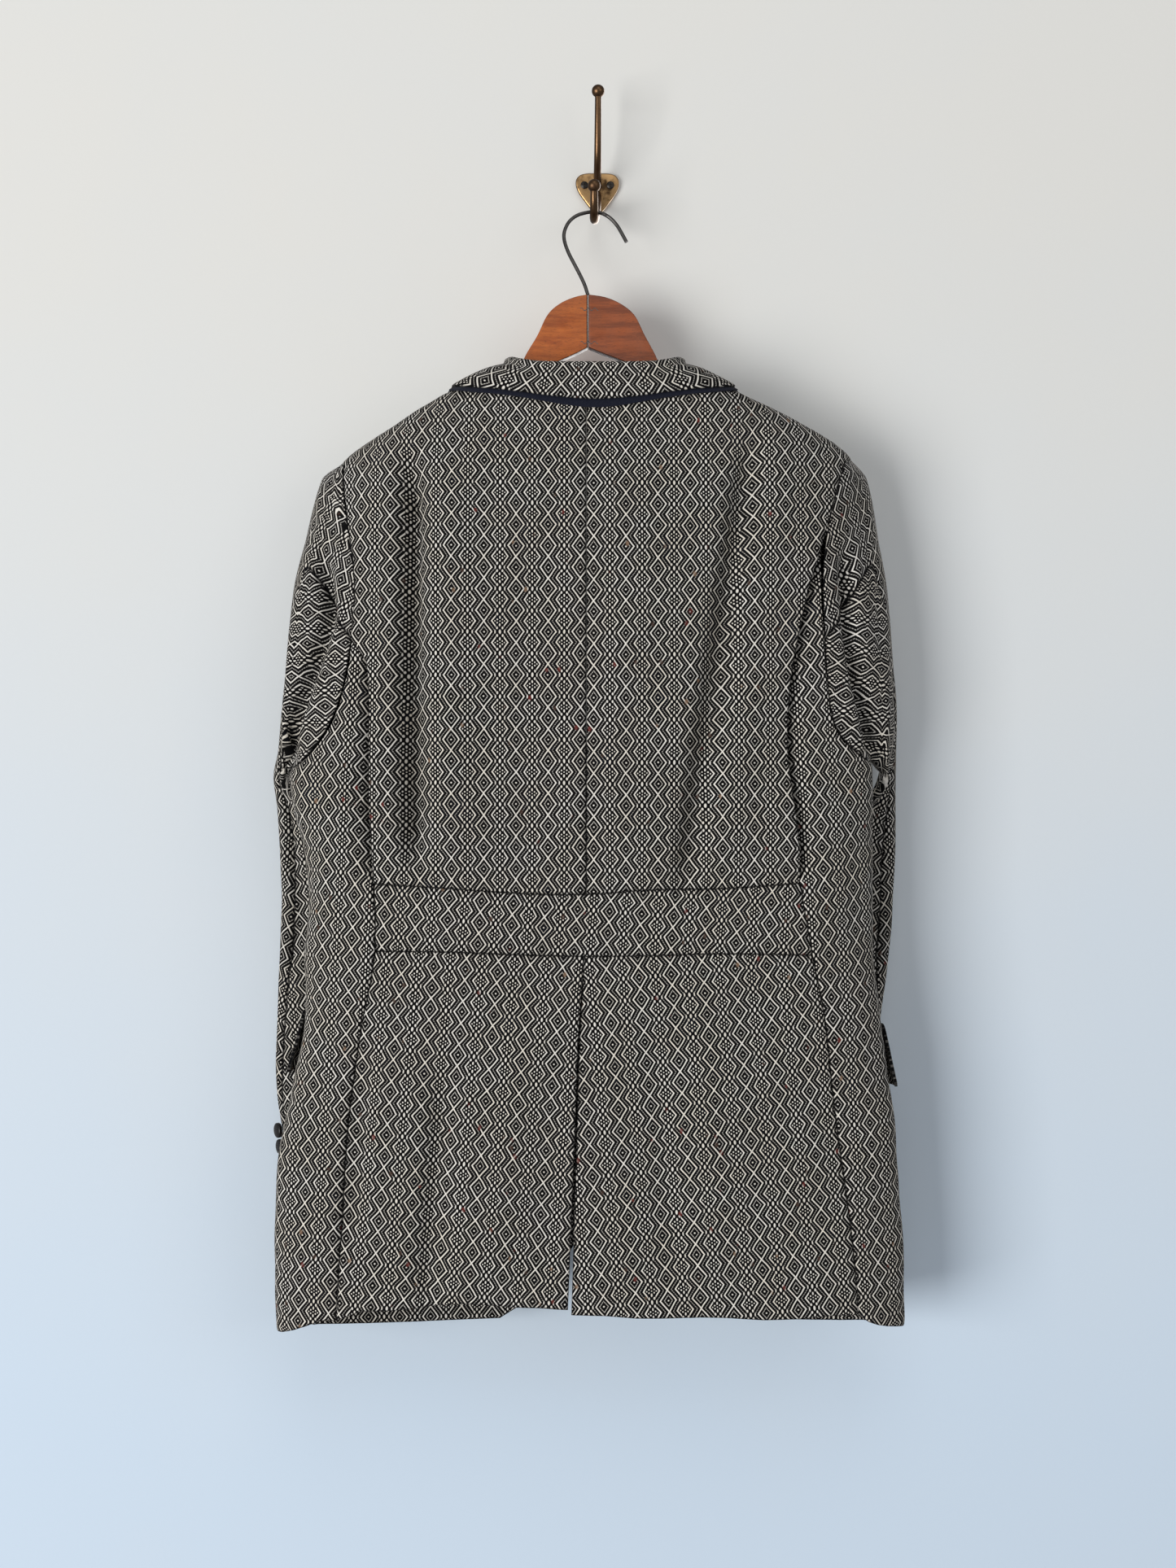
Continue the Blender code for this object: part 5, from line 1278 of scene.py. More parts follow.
def with_object(piece, other, **settings):
    """Cuts another object out of a piece, or joins it on, and removes that object."""
    make_active(piece)
    applied(piece, "BOOLEAN", object=other, **settings)
    bpy.data.objects.remove(other)


def smoothed(degrees):
    """Smooth shading on the active piece, with the edges that are sharper than an angle kept."""
    bpy.ops.object.shade_smooth_by_angle(angle=math.radians(degrees))


def grid_piece(name, points):
    """A sheet of faces through a grid of points."""
    rows, cols = points.shape[:2]
    deselect()
    bpy.ops.mesh.primitive_grid_add(x_subdivisions=cols - 1, y_subdivisions=rows - 1, size=1)
    piece = bpy.context.object
    piece.name = name
    piece.data.vertices.foreach_set("co", np.ascontiguousarray(points, np.float32).reshape(-1))
    piece.data.update()
    return piece


def cloth(name, points, normals, weave, thickness, finish):
    """A wall of cloth with its outer face through a grid of points, and its weave's coordinates."""
    ahead = np.cross(np.diff(points, axis=1)[:-1], np.diff(points, axis=0)[:, :-1])
    if (ahead * normals[:-1, :-1]).sum() < 0:
        points, weave = points[:, ::-1], weave[:, ::-1]
    piece = grid_piece(name, points)
    mesh = piece.data
    corners = np.empty(len(mesh.loops), np.int32)
    mesh.loops.foreach_get("vertex_index", corners)
    mesh.uv_layers[0].name = WEAVE_MAP
    mesh.uv_layers[0].data.foreach_set("uv", weave.reshape(-1, 2)[corners].astype(np.float32).reshape(-1))
    # Painted seam shade: 1 at every edge of the piece, fading inward; the tweed darkens its colour by it
    painted_seam_shade = np.exp(-np.minimum.reduce(grid_lengths(points)) / EDGE_SHADE_WIDTH)
    shade = mesh.attributes.new(SEAM_SHADE_ATTRIBUTE, "FLOAT", "POINT")
    shade.data.foreach_set("value", painted_seam_shade.reshape(-1).astype(np.float32))
    mesh.update()
    applied(piece, "SOLIDIFY", thickness=thickness, offset=-1)
    smoothed(50)
    mesh.materials.clear()
    mesh.materials.append(bpy.data.materials[finish])
    return piece


def place_cloth(piece, node):
    """Says which node a cloth piece stands for, what it rides on and what it hangs from."""
    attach(piece, BODY)
    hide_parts(node)


def panel(context, name, node, places, lift, dips, waves=1.0):
    """A cloth piece on the body surface, finer than its solid, with turned-in edges and slight waves."""
    settings = context.scene.coat_cloth
    s, z = places[..., 0], places[..., 1]
    out = lift - edge_dip(places, dips, SEAM_WIDTH) + waves * unevenness(s, z)
    points, normals = surface(s, z, out)
    piece = cloth("cloth_" + name, points, normals, grain_of(name, s, z), settings.thickness, "Tweed")
    place_cloth(piece, node)


def panels(context, name, node, places_of, lift_of, dips, waves=1.0):
    """A left and a right panel of one kind."""
    for side in SIDES:
        places = refined(places_of(side))
        panel(context, name + side, node + side, places, lift_of(places, side), dips, waves)


def sleeve_grid(side, top_piece):
    """Points and normals of a fine sleeve piece between its two seams, and its points without folds."""
    rings, _ = sleeve_rings(side)
    count = len(rings)
    row_places = divisions(np.linalg.norm(np.diff(rings, axis=0), axis=2).max(axis=1), STEP)
    fine = eased(rings, row_places)
    share = row_places / (count - 1)
    hind = HIND_SEAM_STEPS[0] + (HIND_SEAM_STEPS[1] - HIND_SEAM_STEPS[0]) * share
    fore = FORE_SEAM_STEPS[0] + (FORE_SEAM_STEPS[1] - FORE_SEAM_STEPS[0]) * share
    start, end = (fore, hind + ARMHOLE_STEPS) if top_piece else (hind, fore)
    margin = HALF_GAP / ARMHOLE_STEP_LENGTH
    cols = int(round(SLEEVE_PIECE_WIDTH / STEP))
    steps = np.linspace(start + margin, end - margin, cols, axis=1)
    points = np.array([eased(fine[row], steps[row], closed=True) for row in range(len(fine))])
    normals = grid_normals(points) * sign_of(side)
    rows = row_places[:, None] + np.zeros((1, cols))
    height = sleeve_fold(points, normals, side) * step_up(rows, 0.0, 1.2)
    girth_place = steps / ARMHOLE_STEPS
    height += 0.6 * unevenness(girth_place * 0.34, points[..., 2]) * step_up(rows, 0.5, 2.0)
    height -= edge_dip(points, (0.6, 2.0, 1.2, 1.2), SEAM_WIDTH)
    folded = points + normals * height[..., None]
    return folded, grid_normals(folded) * sign_of(side), points


def smooth_collar():
    """Points and normals of the collar's outer face, finer than its solid."""
    coarse = collar_grid()
    rows = divisions(spacing(coarse, 0), STEP)
    cols = divisions(spacing(coarse, 1), STEP / 2)
    points = eased(eased(coarse, rows).transpose(1, 0, 2), cols).transpose(1, 0, 2)
    return points, grid_normals(points)


class Net:
    """A node tree that is built up from left to right."""

    def __init__(self, tree):
        self.tree = tree
        self.count = 0

    def add(self, kind, inputs=(), **settings):
        node = self.tree.nodes.new(kind)
        node.location = (190 * (self.count % 9), -230 * (self.count // 9))
        self.count += 1
        for name, value in settings.items():
            setattr(node, name, value)
        for name, value in dict(inputs).items():
            self.feed(node.inputs[name], value)
        return node

    def feed(self, socket, value):
        if isinstance(value, bpy.types.NodeSocket):
            self.tree.links.new(value, socket)
        else:
            socket.default_value = value

    def math(self, operation, *values):
        return self.add("ShaderNodeMath", enumerate(values), operation=operation).outputs[0]

    def plus(self, first, second):
        return self.math("ADD", first, second)

    def minus(self, first, second):
        return self.math("SUBTRACT", first, second)

    def times(self, first, second):
        return self.math("MULTIPLY", first, second)

    def over(self, first, second):
        return self.math("DIVIDE", first, second)

    def most(self, first, second):
        return self.math("MAXIMUM", first, second)

    def size(self, value):
        return self.math("ABSOLUTE", value)

    def vector(self, operation, inputs):
        return self.add("ShaderNodeVectorMath", inputs, operation=operation).outputs[0]

    def fade(self, value, low, high, start=0.0, end=1.0):
        """A soft change from start to end as the value goes from low to high."""
        inputs = {"Value": value, "From Min": low, "From Max": high, "To Min": start, "To Max": end}
        return self.add("ShaderNodeMapRange", inputs, interpolation_type="SMOOTHSTEP").outputs[0]

    def noise(self, vector, scale, detail=2.0, roughness=0.5):
        inputs = {"Vector": vector, "Scale": scale, "Detail": detail, "Roughness": roughness}
        return self.add("ShaderNodeTexNoise", inputs).outputs[0]

    def mix(self, factor, first, second, blend="MIX"):
        node = self.add("ShaderNodeMix", data_type="RGBA", blend_type=blend)
        for socket, value in ((node.inputs[0], factor), (node.inputs[6], first), (node.inputs[7], second)):
            self.feed(socket, value)
        return node.outputs[2]

    def stretch(self, vector, scale, turn=(0, 0, 0)):
        """The vector, scaled and turned."""
        inputs = {"Vector": vector, "Scale": scale, "Rotation": turn}
        return self.add("ShaderNodeMapping", inputs).outputs[0]

    def part(self, vector, axis):
        """One of a vector's three values."""
        return self.add("ShaderNodeSeparateXYZ", {0: vector}).outputs[axis]

    def bump(self, height, strength, distance):
        inputs = {"Height": height, "Strength": strength, "Distance": distance}
        return self.add("ShaderNodeBump", inputs).outputs[0]


def effect_group(name, inputs, outputs):
    """A node group with named inputs and outputs: its tree's net, its inputs' values and its end node."""
    group = bpy.data.node_groups.new(name, "ShaderNodeTree")
    for label, kind, value in inputs:
        socket = group.interface.new_socket(label, in_out="INPUT", socket_type=kind)
        if value is not None:
            socket.default_value = value
    for label, kind in outputs:
        group.interface.new_socket(label, in_out="OUTPUT", socket_type=kind)
    net = Net(group)
    start = net.add("NodeGroupInput").outputs
    end = net.add("NodeGroupOutput").inputs
    return net, start, end


FLOAT, COLOUR, VECTOR = "NodeSocketFloat", "NodeSocketColor", "NodeSocketVector"


# Beads of the rosettes: cells from their column's middle, share of the repeat from the rosette's middle,
# and the bead's half width in cells and half height as a share of the repeat
ROSETTE_BEADS = (
    (0.0, 0.0, 0.24, 0.032), (0.95, 0.078, 0.28, 0.04), (1.75, 0.0, 0.24, 0.036), (0.0, 0.18, 0.32, 0.07),
    (1.0, 0.325, 0.36, 0.065), (0.0, 0.5, 0.42, 0.1), (1.75, 0.5, 0.26, 0.085),
)

# How far the figure's yarns wander from their straight lines
YARN_WANDERS = 1.4 * MM


def woven_figure():
    """Diamonds and rosettes in light yarn on a dark ground, charted in cells of the repeat."""
    net, given, end = effect_group(
        "Woven Figure",
        (("Vector", VECTOR, None), ("Repeat Width", FLOAT, 0.0273), ("Repeat Height", FLOAT, 0.0183)),
        (("Light Yarn", FLOAT), ("Relief", FLOAT)),
    )
    inputs = {"Vector": given["Vector"], "Scale": 90.0, "Detail": 1.0}
    wobble = net.add("ShaderNodeTexNoise", inputs).outputs[1]
    shift = net.vector("SUBTRACT", {0: wobble, 1: (0.5, 0.5, 0.5)})
    shift = net.vector("SCALE", {0: shift, "Scale": YARN_WANDERS})
    place = net.vector("ADD", {0: given["Vector"], 1: shift})
    across = net.over(net.part(place, 0), given["Repeat Width"])
    across = net.math("FRACT", net.plus(across, 0.5))
    cells = net.times(net.size(net.minus(across, 0.5)), 12.0)
    up = net.math("FRACT", net.over(net.part(place, 1), given["Repeat Height"]))
    off_middle = net.size(net.minus(up, 0.5))
    past = net.minus(cells, net.math("MULTIPLY_ADD", off_middle, -6.0, 3.0))
    beads = net.math("MULTIPLY_ADD", net.math("SINE", net.times(up, 24 * math.pi)), 0.5, 0.5)

    def line(value, half):
        return net.fade(net.size(value), half * 0.75, half * 1.25, 1.0, 0.0)

    def bead(column, height, half_width, half_height):
        wide = net.over(column, half_width)
        high = net.over(height, half_height)
        return net.fade(net.plus(net.times(wide, wide), net.times(high, high)), 0.6, 1.5, 1.0, 0.0)

    outline = line(net.minus(net.size(net.minus(past, 1.5)), 1.5), 0.31)
    outline = net.times(outline, net.fade(cells, 4.4, 4.7, 1.0, 0.0))
    between = line(net.minus(past, 1.45), 0.2)
    between = net.times(between, net.fade(beads, 0.1, 0.7, 0.1, 0.55))
    between = net.times(between, net.fade(cells, 4.3, 4.5, 1.0, 0.0))
    ring = line(net.plus(past, 1.45), 0.2)
    ring = net.times(ring, net.fade(beads, 0.1, 0.7, 0.3, 0.7))
    total = net.most(net.most(outline, between), ring)
    total = net.most(total, bead(cells, off_middle, 0.32, 0.04))
    own_column = net.minus(6.0, cells)
    own_middle = net.minus(0.5, off_middle)
    for column, height, half_width, half_height in ROSETTE_BEADS:
        apart = net.minus(own_column, column), net.minus(own_middle, height)
        total = net.most(total, bead(*apart, half_width, half_height))
    thin = net.stretch(given["Vector"], (1500.0, 420.0, 1.0))
    yarn = net.noise(thin, 1.0, 2.0, 0.6)
    light = net.times(total, net.fade(yarn, 0.2, 0.6, 0.8, 1.0))
    net.feed(end["Light Yarn"], light)
    net.feed(end["Relief"], net.math("MULTIPLY_ADD", yarn, 0.35, total))


def yarn_colours():
    """The two yarns' colours, with fibres of the other yarn in each and a few coloured neps."""
    net, given, end = effect_group(
        "Yarn Colours",
        (
            ("Vector", VECTOR, None),
            ("Light Yarn", FLOAT, 0.5),
            ("Light Colour", COLOUR, (0.5, 0.48, 0.42, 1)),
            ("Dark Colour", COLOUR, (0.02, 0.02, 0.025, 1)),
            ("Neps", FLOAT, 0.03),
        ),
        (("Colour", COLOUR),),
    )
    broad = net.noise(given["Vector"], 26.0, 3.0, 0.6)
    streak = net.noise(net.stretch(given["Vector"], (900.0, 160.0, 1.0)), 1.0, 2.0, 0.6)
    light = net.mix(net.fade(broad, 0.35, 0.7), given["Light Colour"], (0.90, 0.84, 0.73, 1))
    light = net.mix(net.fade(streak, 0.35, 0.8, 0.0, 0.35), light, (0.40, 0.38, 0.34, 1))
    dark = net.mix(net.fade(streak, 0.4, 0.85, 0.0, 0.5), given["Dark Colour"], (0.018, 0.017, 0.017, 1))
    dark = net.mix(net.fade(broad, 0.55, 0.75, 0.0, 0.5), dark, (0.006, 0.009, 0.018, 1))
    ground = net.mix(given["Light Yarn"], dark, light)
    cells = net.stretch(given["Vector"], (280.0, 200.0, 1.0))
    cell = net.add("ShaderNodeTexVoronoi", {"Vector": cells, "Scale": 1.0})
    chance = net.add("ShaderNodeSeparateColor", {0: cell.outputs["Color"]}).outputs
    near = net.fade(cell.outputs["Distance"], 0.25, 0.6, 1.0, 0.0)
    chosen = net.fade(chance[0], net.minus(1.0, given["Neps"]), net.minus(1.002, given["Neps"]))
    nep = net.mix(net.fade(chance[1], 0.55, 0.6), (0.16, 0.030, 0.026, 1), (0.26, 0.16, 0.10, 1))
    nep = net.mix(net.fade(chance[2], 0.6, 0.64), nep, (0.07, 0.04, 0.03, 1))
    share = net.times(net.times(near, chosen), 0.8)
    net.feed(end["Colour"], net.mix(share, ground, nep))


def mottle():
    """A soft, broad change between two shares, for colour or gloss that isn't quite even."""
    net, given, end = effect_group(
        "Mottle",
        (("Vector", VECTOR, None), ("Scale", FLOAT, 20.0), ("Least", FLOAT, 0.0), ("Most", FLOAT, 1.0)),
        (("Share", FLOAT),),
    )
    cloud = net.noise(given["Vector"], given["Scale"], 4.0, 0.6)
    shares = {"To Min": given["Least"], "To Max": given["Most"]}
    spread = net.add("ShaderNodeMapRange", {"Value": cloud, "From Min": 0.3, "From Max": 0.7, **shares})
    net.feed(end["Share"], spread.outputs[0])


def mottled(net, vector, scale, least, most):
    """A share that changes in soft clouds of a scale."""
    inputs = {"Vector": vector, "Scale": scale, "Least": least, "Most": most}
    return group_node(net, "Mottle", inputs).outputs["Share"]


def group_node(net, name, inputs):
    """A node group placed in a material, with its own values."""
    node = net.add("ShaderNodeGroup", node_tree=bpy.data.node_groups[name])
    for label, value in inputs.items():
        net.feed(node.inputs[label], value)
    return node


def material(name, **fixed):
    """A material with its shader's steady values set, its net and its Object coordinates."""
    made = bpy.data.materials.new(name)
    made.use_nodes = True
    net = Net(made.node_tree)
    net.count = 9
    shader = made.node_tree.nodes["Principled BSDF"].inputs
    for label, value in fixed.items():
        shader[label.replace("_", " ")].default_value = value
    coordinates = net.add("ShaderNodeTexCoord").outputs["Object"]
    return net, shader, coordinates


def tweed_material(cloth_settings):
    net, shader, _ = material("Tweed", Sheen_Weight=0.02, Sheen_Roughness=0.5, Specular_IOR_Level=0.05)
    weave = net.add("ShaderNodeUVMap", uv_map=WEAVE_MAP).outputs[0]
    figure = group_node(net, "Woven Figure", {
        "Vector": weave,
        "Repeat Width": cloth_settings.repeat_width,
        "Repeat Height": cloth_settings.repeat_height,
    })
    colours = group_node(net, "Yarn Colours", {
        "Vector": weave,
        "Light Yarn": figure.outputs["Light Yarn"],
        "Light Colour": (*cloth_settings.light_yarn, 1),
        "Dark Colour": (*cloth_settings.dark_yarn, 1),
        "Neps": cloth_settings.neps,
    })
    # Painted shade along seams and edges: the colour goes nearly black at each piece's edge
    edge = net.add("ShaderNodeAttribute", attribute_name=SEAM_SHADE_ATTRIBUTE).outputs["Fac"]
    seam_shade_share = net.fade(edge, 0.2, 1.0, 0.0, 0.85)
    net.feed(shader["Base Color"], net.mix(seam_shade_share, colours.outputs["Colour"], (0.006, 0.006, 0.007, 1)))
    worn = mottled(net, weave, 40.0, 0.84, 0.97)
    net.feed(shader["Roughness"], worn)
    fuzz = net.noise(net.stretch(weave, (2600.0, 2600.0, 1.0)), 1.0, 3.0, 0.7)
    relief = net.math("MULTIPLY_ADD", fuzz, 0.6, figure.outputs["Relief"])
    net.feed(shader["Normal"], net.bump(relief, 0.9, 0.0006))


def felt_material(cloth_settings):
    net, shader, place = material("Felt", Sheen_Weight=0.08, Sheen_Roughness=0.6, Specular_IOR_Level=0.05)
    fibres = net.noise(net.stretch(place, (1400.0, 1400.0, 500.0)), 1.0, 4.0, 0.75)
    navy = (*cloth_settings.felt, 1)
    base = net.mix(net.fade(fibres, 0.4, 0.72, 0.0, 0.7), navy, (0.022, 0.025, 0.038, 1))
    net.feed(shader["Base Color"], base)
    worn = mottled(net, place, 60.0, 0.88, 1.0)
    net.feed(shader["Roughness"], worn)
    net.feed(shader["Normal"], net.bump(fibres, 1.0, 0.0009))


def horn_material(metal):
    net, shader, place = material("Horn", Coat_Weight=0.12, Coat_Roughness=0.12, IOR=1.45)
    cloud = mottled(net, place, 260.0, 0.0, 0.6)
    net.feed(shader["Base Color"], net.mix(cloud, (*metal.horn, 1), (0.016, 0.013, 0.011, 1)))
    scuff = mottled(net, place, 900.0, 0.18, 0.38)
    net.feed(shader["Roughness"], scuff)
    net.feed(shader["Normal"], net.bump(cloud, 0.15, 0.0004))


def wood_material(name, colour, dark, turn):
    """Varnished beech: fine pores and darker streaks along the arm, with a dull wear."""
    net, shader, place = material(name, Coat_Weight=0.25, Coat_Roughness=0.3, Specular_IOR_Level=0.45)
    along_grain = net.stretch(place, (14.0, 160.0, 160.0), (0, turn, 0))
    streak = net.noise(along_grain, 1.0, 4.0, 0.62)
    pores = net.noise(net.stretch(place, (260.0, 2400.0, 2400.0), (0, turn, 0)), 1.0, 2.0, 0.5)
    base = net.mix(net.fade(streak, 0.36, 0.66), (*colour, 1), (*dark, 1))
    base = net.mix(net.fade(pores, 0.56, 0.72, 0.0, 0.55), base, (0.05, 0.018, 0.008, 1))
    stain = mottled(net, place, 34.0, 0.0, 0.4)
    base = net.mix(stain, base, (0.14, 0.040, 0.010, 1))
    off_joint = net.size(net.minus(net.part(place, 0), HANGER_JOINT))
    base = net.mix(net.fade(off_joint, 0.5 * MM, 1.5 * MM, 0.95, 0.0), base, JOINT_DIRT_AND_UNDERSIDE_SHADE)
    # Painted shade: faces that look down turn to the dark colour
    upward = net.part(net.add("ShaderNodeNewGeometry").outputs["Normal"], 2)
    base = net.mix(net.fade(upward, -0.85, -0.4, 0.85, 0.0), base, JOINT_DIRT_AND_UNDERSIDE_SHADE)
    net.feed(shader["Base Color"], base)
    worn = mottled(net, place, 70.0, 0.34, 0.6)
    net.feed(shader["Roughness"], worn)
    net.feed(shader["Normal"], net.bump(net.plus(streak, pores), 0.25, 0.0003))


def metal_material(name, colour, tarnish, smooth_share, rough_share, scale, browned=None):
    """Old metal: clouds of tarnish and fine scratches, bright where rubbed, browned away from the wall."""
    net, shader, place = material(name, Metallic=1.0)
    cloud = mottled(net, place, scale, 0.0, 1.0)
    edges = net.fade(net.add("ShaderNodeNewGeometry").outputs["Pointiness"], 0.49, 0.56, 0.0, 0.5)
    shade = net.minus(cloud, edges)
    base = net.mix(net.fade(shade, 0.2, 0.8), (*colour, 1), (*tarnish, 1))
    if browned:
        off_wall = net.times(net.part(place, 1), -1.0)
        share = net.fade(off_wall, PLATE_THICKNESS + 2 * MM, PLATE_THICKNESS + 8 * MM, 0.0, 0.85)
        base = net.mix(share, base, (*browned, 1))
    net.feed(shader["Base Color"], base)
    net.feed(shader["Roughness"], net.fade(shade, 0.0, 1.0, smooth_share, rough_share))
    scratches = net.noise(net.stretch(place, (900.0, 900.0, 2600.0)), 1.0, 3.0, 0.6)
    net.feed(shader["Normal"], net.bump(scratches, 0.25, 0.0003))


def wall_material(stage):
    """Matt plaster, warm at the top and with painted cool daylight below, seen from its front alone."""
    net, shader, place = material("Wall", Roughness=0.95, Specular_IOR_Level=0.1)
    height = net.part(place, 2)
    cloud = mottled(net, place, 2.0, -0.08, 0.08)
    share = net.plus(net.fade(height, -1.25, 0.1), cloud)
    # Painted cool daylight toward the foot of the wall
    net.feed(shader["Base Color"], net.mix(share, (*stage.wall_foot_daylight, 1), (*stage.wall_top, 1)))
    grain = net.noise(place, 240.0, 3.0, 0.6)
    net.feed(shader["Normal"], net.bump(grain, 0.08, 0.001))
    see_front_only(net)


def floor_material(stage):
    net, shader, place = material("Floor", Roughness=0.9, Specular_IOR_Level=0.1)
    cloud = mottled(net, place, 1.5, 0.0, 0.3)
    net.feed(shader["Base Color"], net.mix(cloud, (*stage.floor, 1), (0.6, 0.6, 0.6, 1)))
    see_front_only(net)


def see_front_only(net):
    """A stage sheet that is clear from behind."""
    tree = net.tree
    output = next(node for node in tree.nodes if node.type == "OUTPUT_MATERIAL")
    shader = next(node for node in tree.nodes if node.type == "BSDF_PRINCIPLED")
    clear = net.add("ShaderNodeBsdfTransparent")
    side = net.add("ShaderNodeNewGeometry").outputs["Backfacing"]
    blend = net.add("ShaderNodeMixShader", {0: side, 1: shader.outputs[0], 2: clear.outputs[0]})
    tree.links.new(blend.outputs[0], output.inputs[0])


class CoatCloth(bpy.types.PropertyGroup):
    """The cloth of the coat."""

    thickness: FloatProperty(
        name="Thickness", description="Thickness of the tweed", default=CLOTH, unit="LENGTH"
    )
    repeat_width: FloatProperty(
        name="Repeat width", description="Width of one repeat of the weave",
        default=0.0273, unit="LENGTH",
    )
    repeat_height: FloatProperty(
        name="Repeat height", description="Height of one repeat of the weave",
        default=0.0183, unit="LENGTH",
    )
    light_yarn: FloatVectorProperty(
        name="Light yarn", description="Colour of the light yarn",
        default=(0.96, 0.93, 0.87), subtype="COLOR",
    )
    dark_yarn: FloatVectorProperty(
        name="Dark yarn", description="Colour of the dark yarn",
        default=(0.004, 0.004, 0.0042), subtype="COLOR",
    )
    neps: FloatProperty(
        name="Neps", description="Share of the cloth with coloured neps",
        default=0.012, subtype="FACTOR",
    )
    felt: FloatVectorProperty(
        name="Felt", description="Colour of the under collar",
        default=(0.008, 0.010, 0.022), subtype="COLOR",
    )


class CoatHanger(bpy.types.PropertyGroup):
    """The hanger, the hook and the buttons."""

    # One beech for both arms: the right arm's darker colour is painted shade, as it turns from the light
    lit_left_wood: FloatVectorProperty(
        name="Left arm", description="Colour of the left arm",
        default=(0.56, 0.147, 0.026), subtype="COLOR",
    )
    shaded_right_wood: FloatVectorProperty(
        name="Right arm", description="Colour of the right arm",
        default=(0.37, 0.085, 0.019), subtype="COLOR",
    )
    brass: FloatVectorProperty(
        name="Brass", description="Colour of the wall hook", default=(0.42, 0.26, 0.12), subtype="COLOR"
    )
    steel: FloatVectorProperty(
        name="Steel", description="Colour of the hanger's wire",
        default=(0.10, 0.095, 0.09), subtype="COLOR",
    )
    horn: FloatVectorProperty(
        name="Horn", description="Colour of the buttons", default=(0.006, 0.006, 0.007), subtype="COLOR"
    )
    front_button: FloatProperty(
        name="Front button", description="Width of a front button", default=FRONT_BUTTON, unit="LENGTH"
    )
    cuff_button: FloatProperty(
        name="Cuff button", description="Width of a cuff button", default=CUFF_BUTTON, unit="LENGTH"
    )


class CoatStage(bpy.types.PropertyGroup):
    """The wall, the floor, the lights and the camera."""

    wall_top: FloatVectorProperty(
        name="Wall top", description="Colour of the wall high up",
        default=(0.80, 0.80, 0.77), subtype="COLOR",
    )
    # The wall's cool foot is painted daylight
    wall_foot_daylight: FloatVectorProperty(
        name="Wall foot", description="Colour of the wall low down",
        default=(0.66, 0.78, 0.91), subtype="COLOR",
    )
    floor: FloatVectorProperty(
        name="Floor", description="Colour of the floor", default=(0.7, 0.7, 0.7), subtype="COLOR"
    )
    key_light: FloatProperty(
        name="Key light", description="Power of the window light", default=245.0, unit="POWER"
    )
    fill_light: FloatProperty(
        name="Fill light", description="Power of each fill light", default=18.0, unit="POWER"
    )
    lens: FloatProperty(name="Lens", description="Focal length of the camera", default=48.0, unit="CAMERA")
    distance: FloatProperty(
        name="Distance", description="From the camera to the wall", default=1.9, unit="LENGTH"
    )


def finished(piece, finish, node=None):
    """Applies a piece's place and modifiers, gives it its finish and says what it stands for."""
    make_active(piece)
    bpy.ops.object.transform_apply(location=True, rotation=True, scale=True)
    for modifier in list(piece.modifiers):
        bpy.ops.object.modifier_apply(modifier=modifier.name)
    piece.data.materials.clear()
    piece.data.materials.append(bpy.data.materials[finish])
    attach(piece, BODY)
    if node:
        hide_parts(node)


def bar(name, route, radii, points_wanted):
    """A round bar on a smooth curve through a route, with its radii spread evenly along it, all in mm."""
    x, z, depth = np.array(route, float).T * MM
    known = np.arange(len(route))
    fine = np.linspace(0, known[-1], points_wanted)
    radius = np.interp(fine, np.linspace(0, known[-1], len(radii)), radii)
    deselect()
    bpy.ops.curve.primitive_bezier_curve_add()
    piece = bpy.context.object
    piece.name = name
    curve = piece.data
    curve.dimensions = "3D"
    curve.bevel_depth = MM
    curve.bevel_resolution = 4
    curve.use_fill_caps = True
    curve.splines.clear()
    spline = curve.splines.new("POLY")
    spline.points.add(points_wanted - 1)
    places = np.stack([smooth(known, part, fine) for part in (x, -depth, z)], axis=1)
    for point, thick, place in zip(spline.points, radius, places):
        point.co = (*place, 1)
        point.radius = thick
    bpy.ops.object.convert(target="MESH")
    bpy.ops.object.mode_set(mode="EDIT")
    bpy.ops.mesh.select_all(action="SELECT")
    bpy.ops.mesh.remove_doubles(threshold=WELD)
    bpy.ops.mesh.normals_make_consistent(inside=False)
    bpy.ops.object.mode_set(mode="OBJECT")
    smoothed(40)
    return bpy.context.object


def select_faces(piece, axis, sign):
    """In edit mode, selects the faces that look along an axis, or the other way where the sign is -1."""
    bpy.ops.object.mode_set(mode="OBJECT")
    for polygon in piece.data.polygons:
        polygon.select = polygon.normal[axis] * sign > FACING
    bpy.ops.object.mode_set(mode="EDIT")


def edit(piece):
    """Makes a piece ready for select_faces: its faces are what is picked, and none is."""
    make_active(piece)
    bpy.ops.object.mode_set(mode="EDIT")
    bpy.ops.mesh.select_mode(type="FACE")
    bpy.ops.mesh.select_all(action="DESELECT")
    bpy.ops.object.mode_set(mode="OBJECT")


def pulled_out(piece, depth):
    """Gives a flat piece a depth toward the room, with its faces turned outward."""
    edit(piece)
    bpy.ops.object.mode_set(mode="EDIT")
    bpy.ops.mesh.select_all(action="SELECT")
    bpy.ops.mesh.extrude_region_move(TRANSFORM_OT_translate={"value": (0, -depth, 0)})
    bpy.ops.mesh.select_all(action="SELECT")
    bpy.ops.mesh.normals_make_consistent(inside=False)
    bpy.ops.object.mode_set(mode="OBJECT")


def softened(piece, width, segments, degrees):
    """Rounds the active piece's edges that are sharper than an angle."""
    limit = math.radians(degrees)
    applied(piece, "BEVEL", width=width, segments=segments, limit_method="ANGLE", angle_limit=limit)


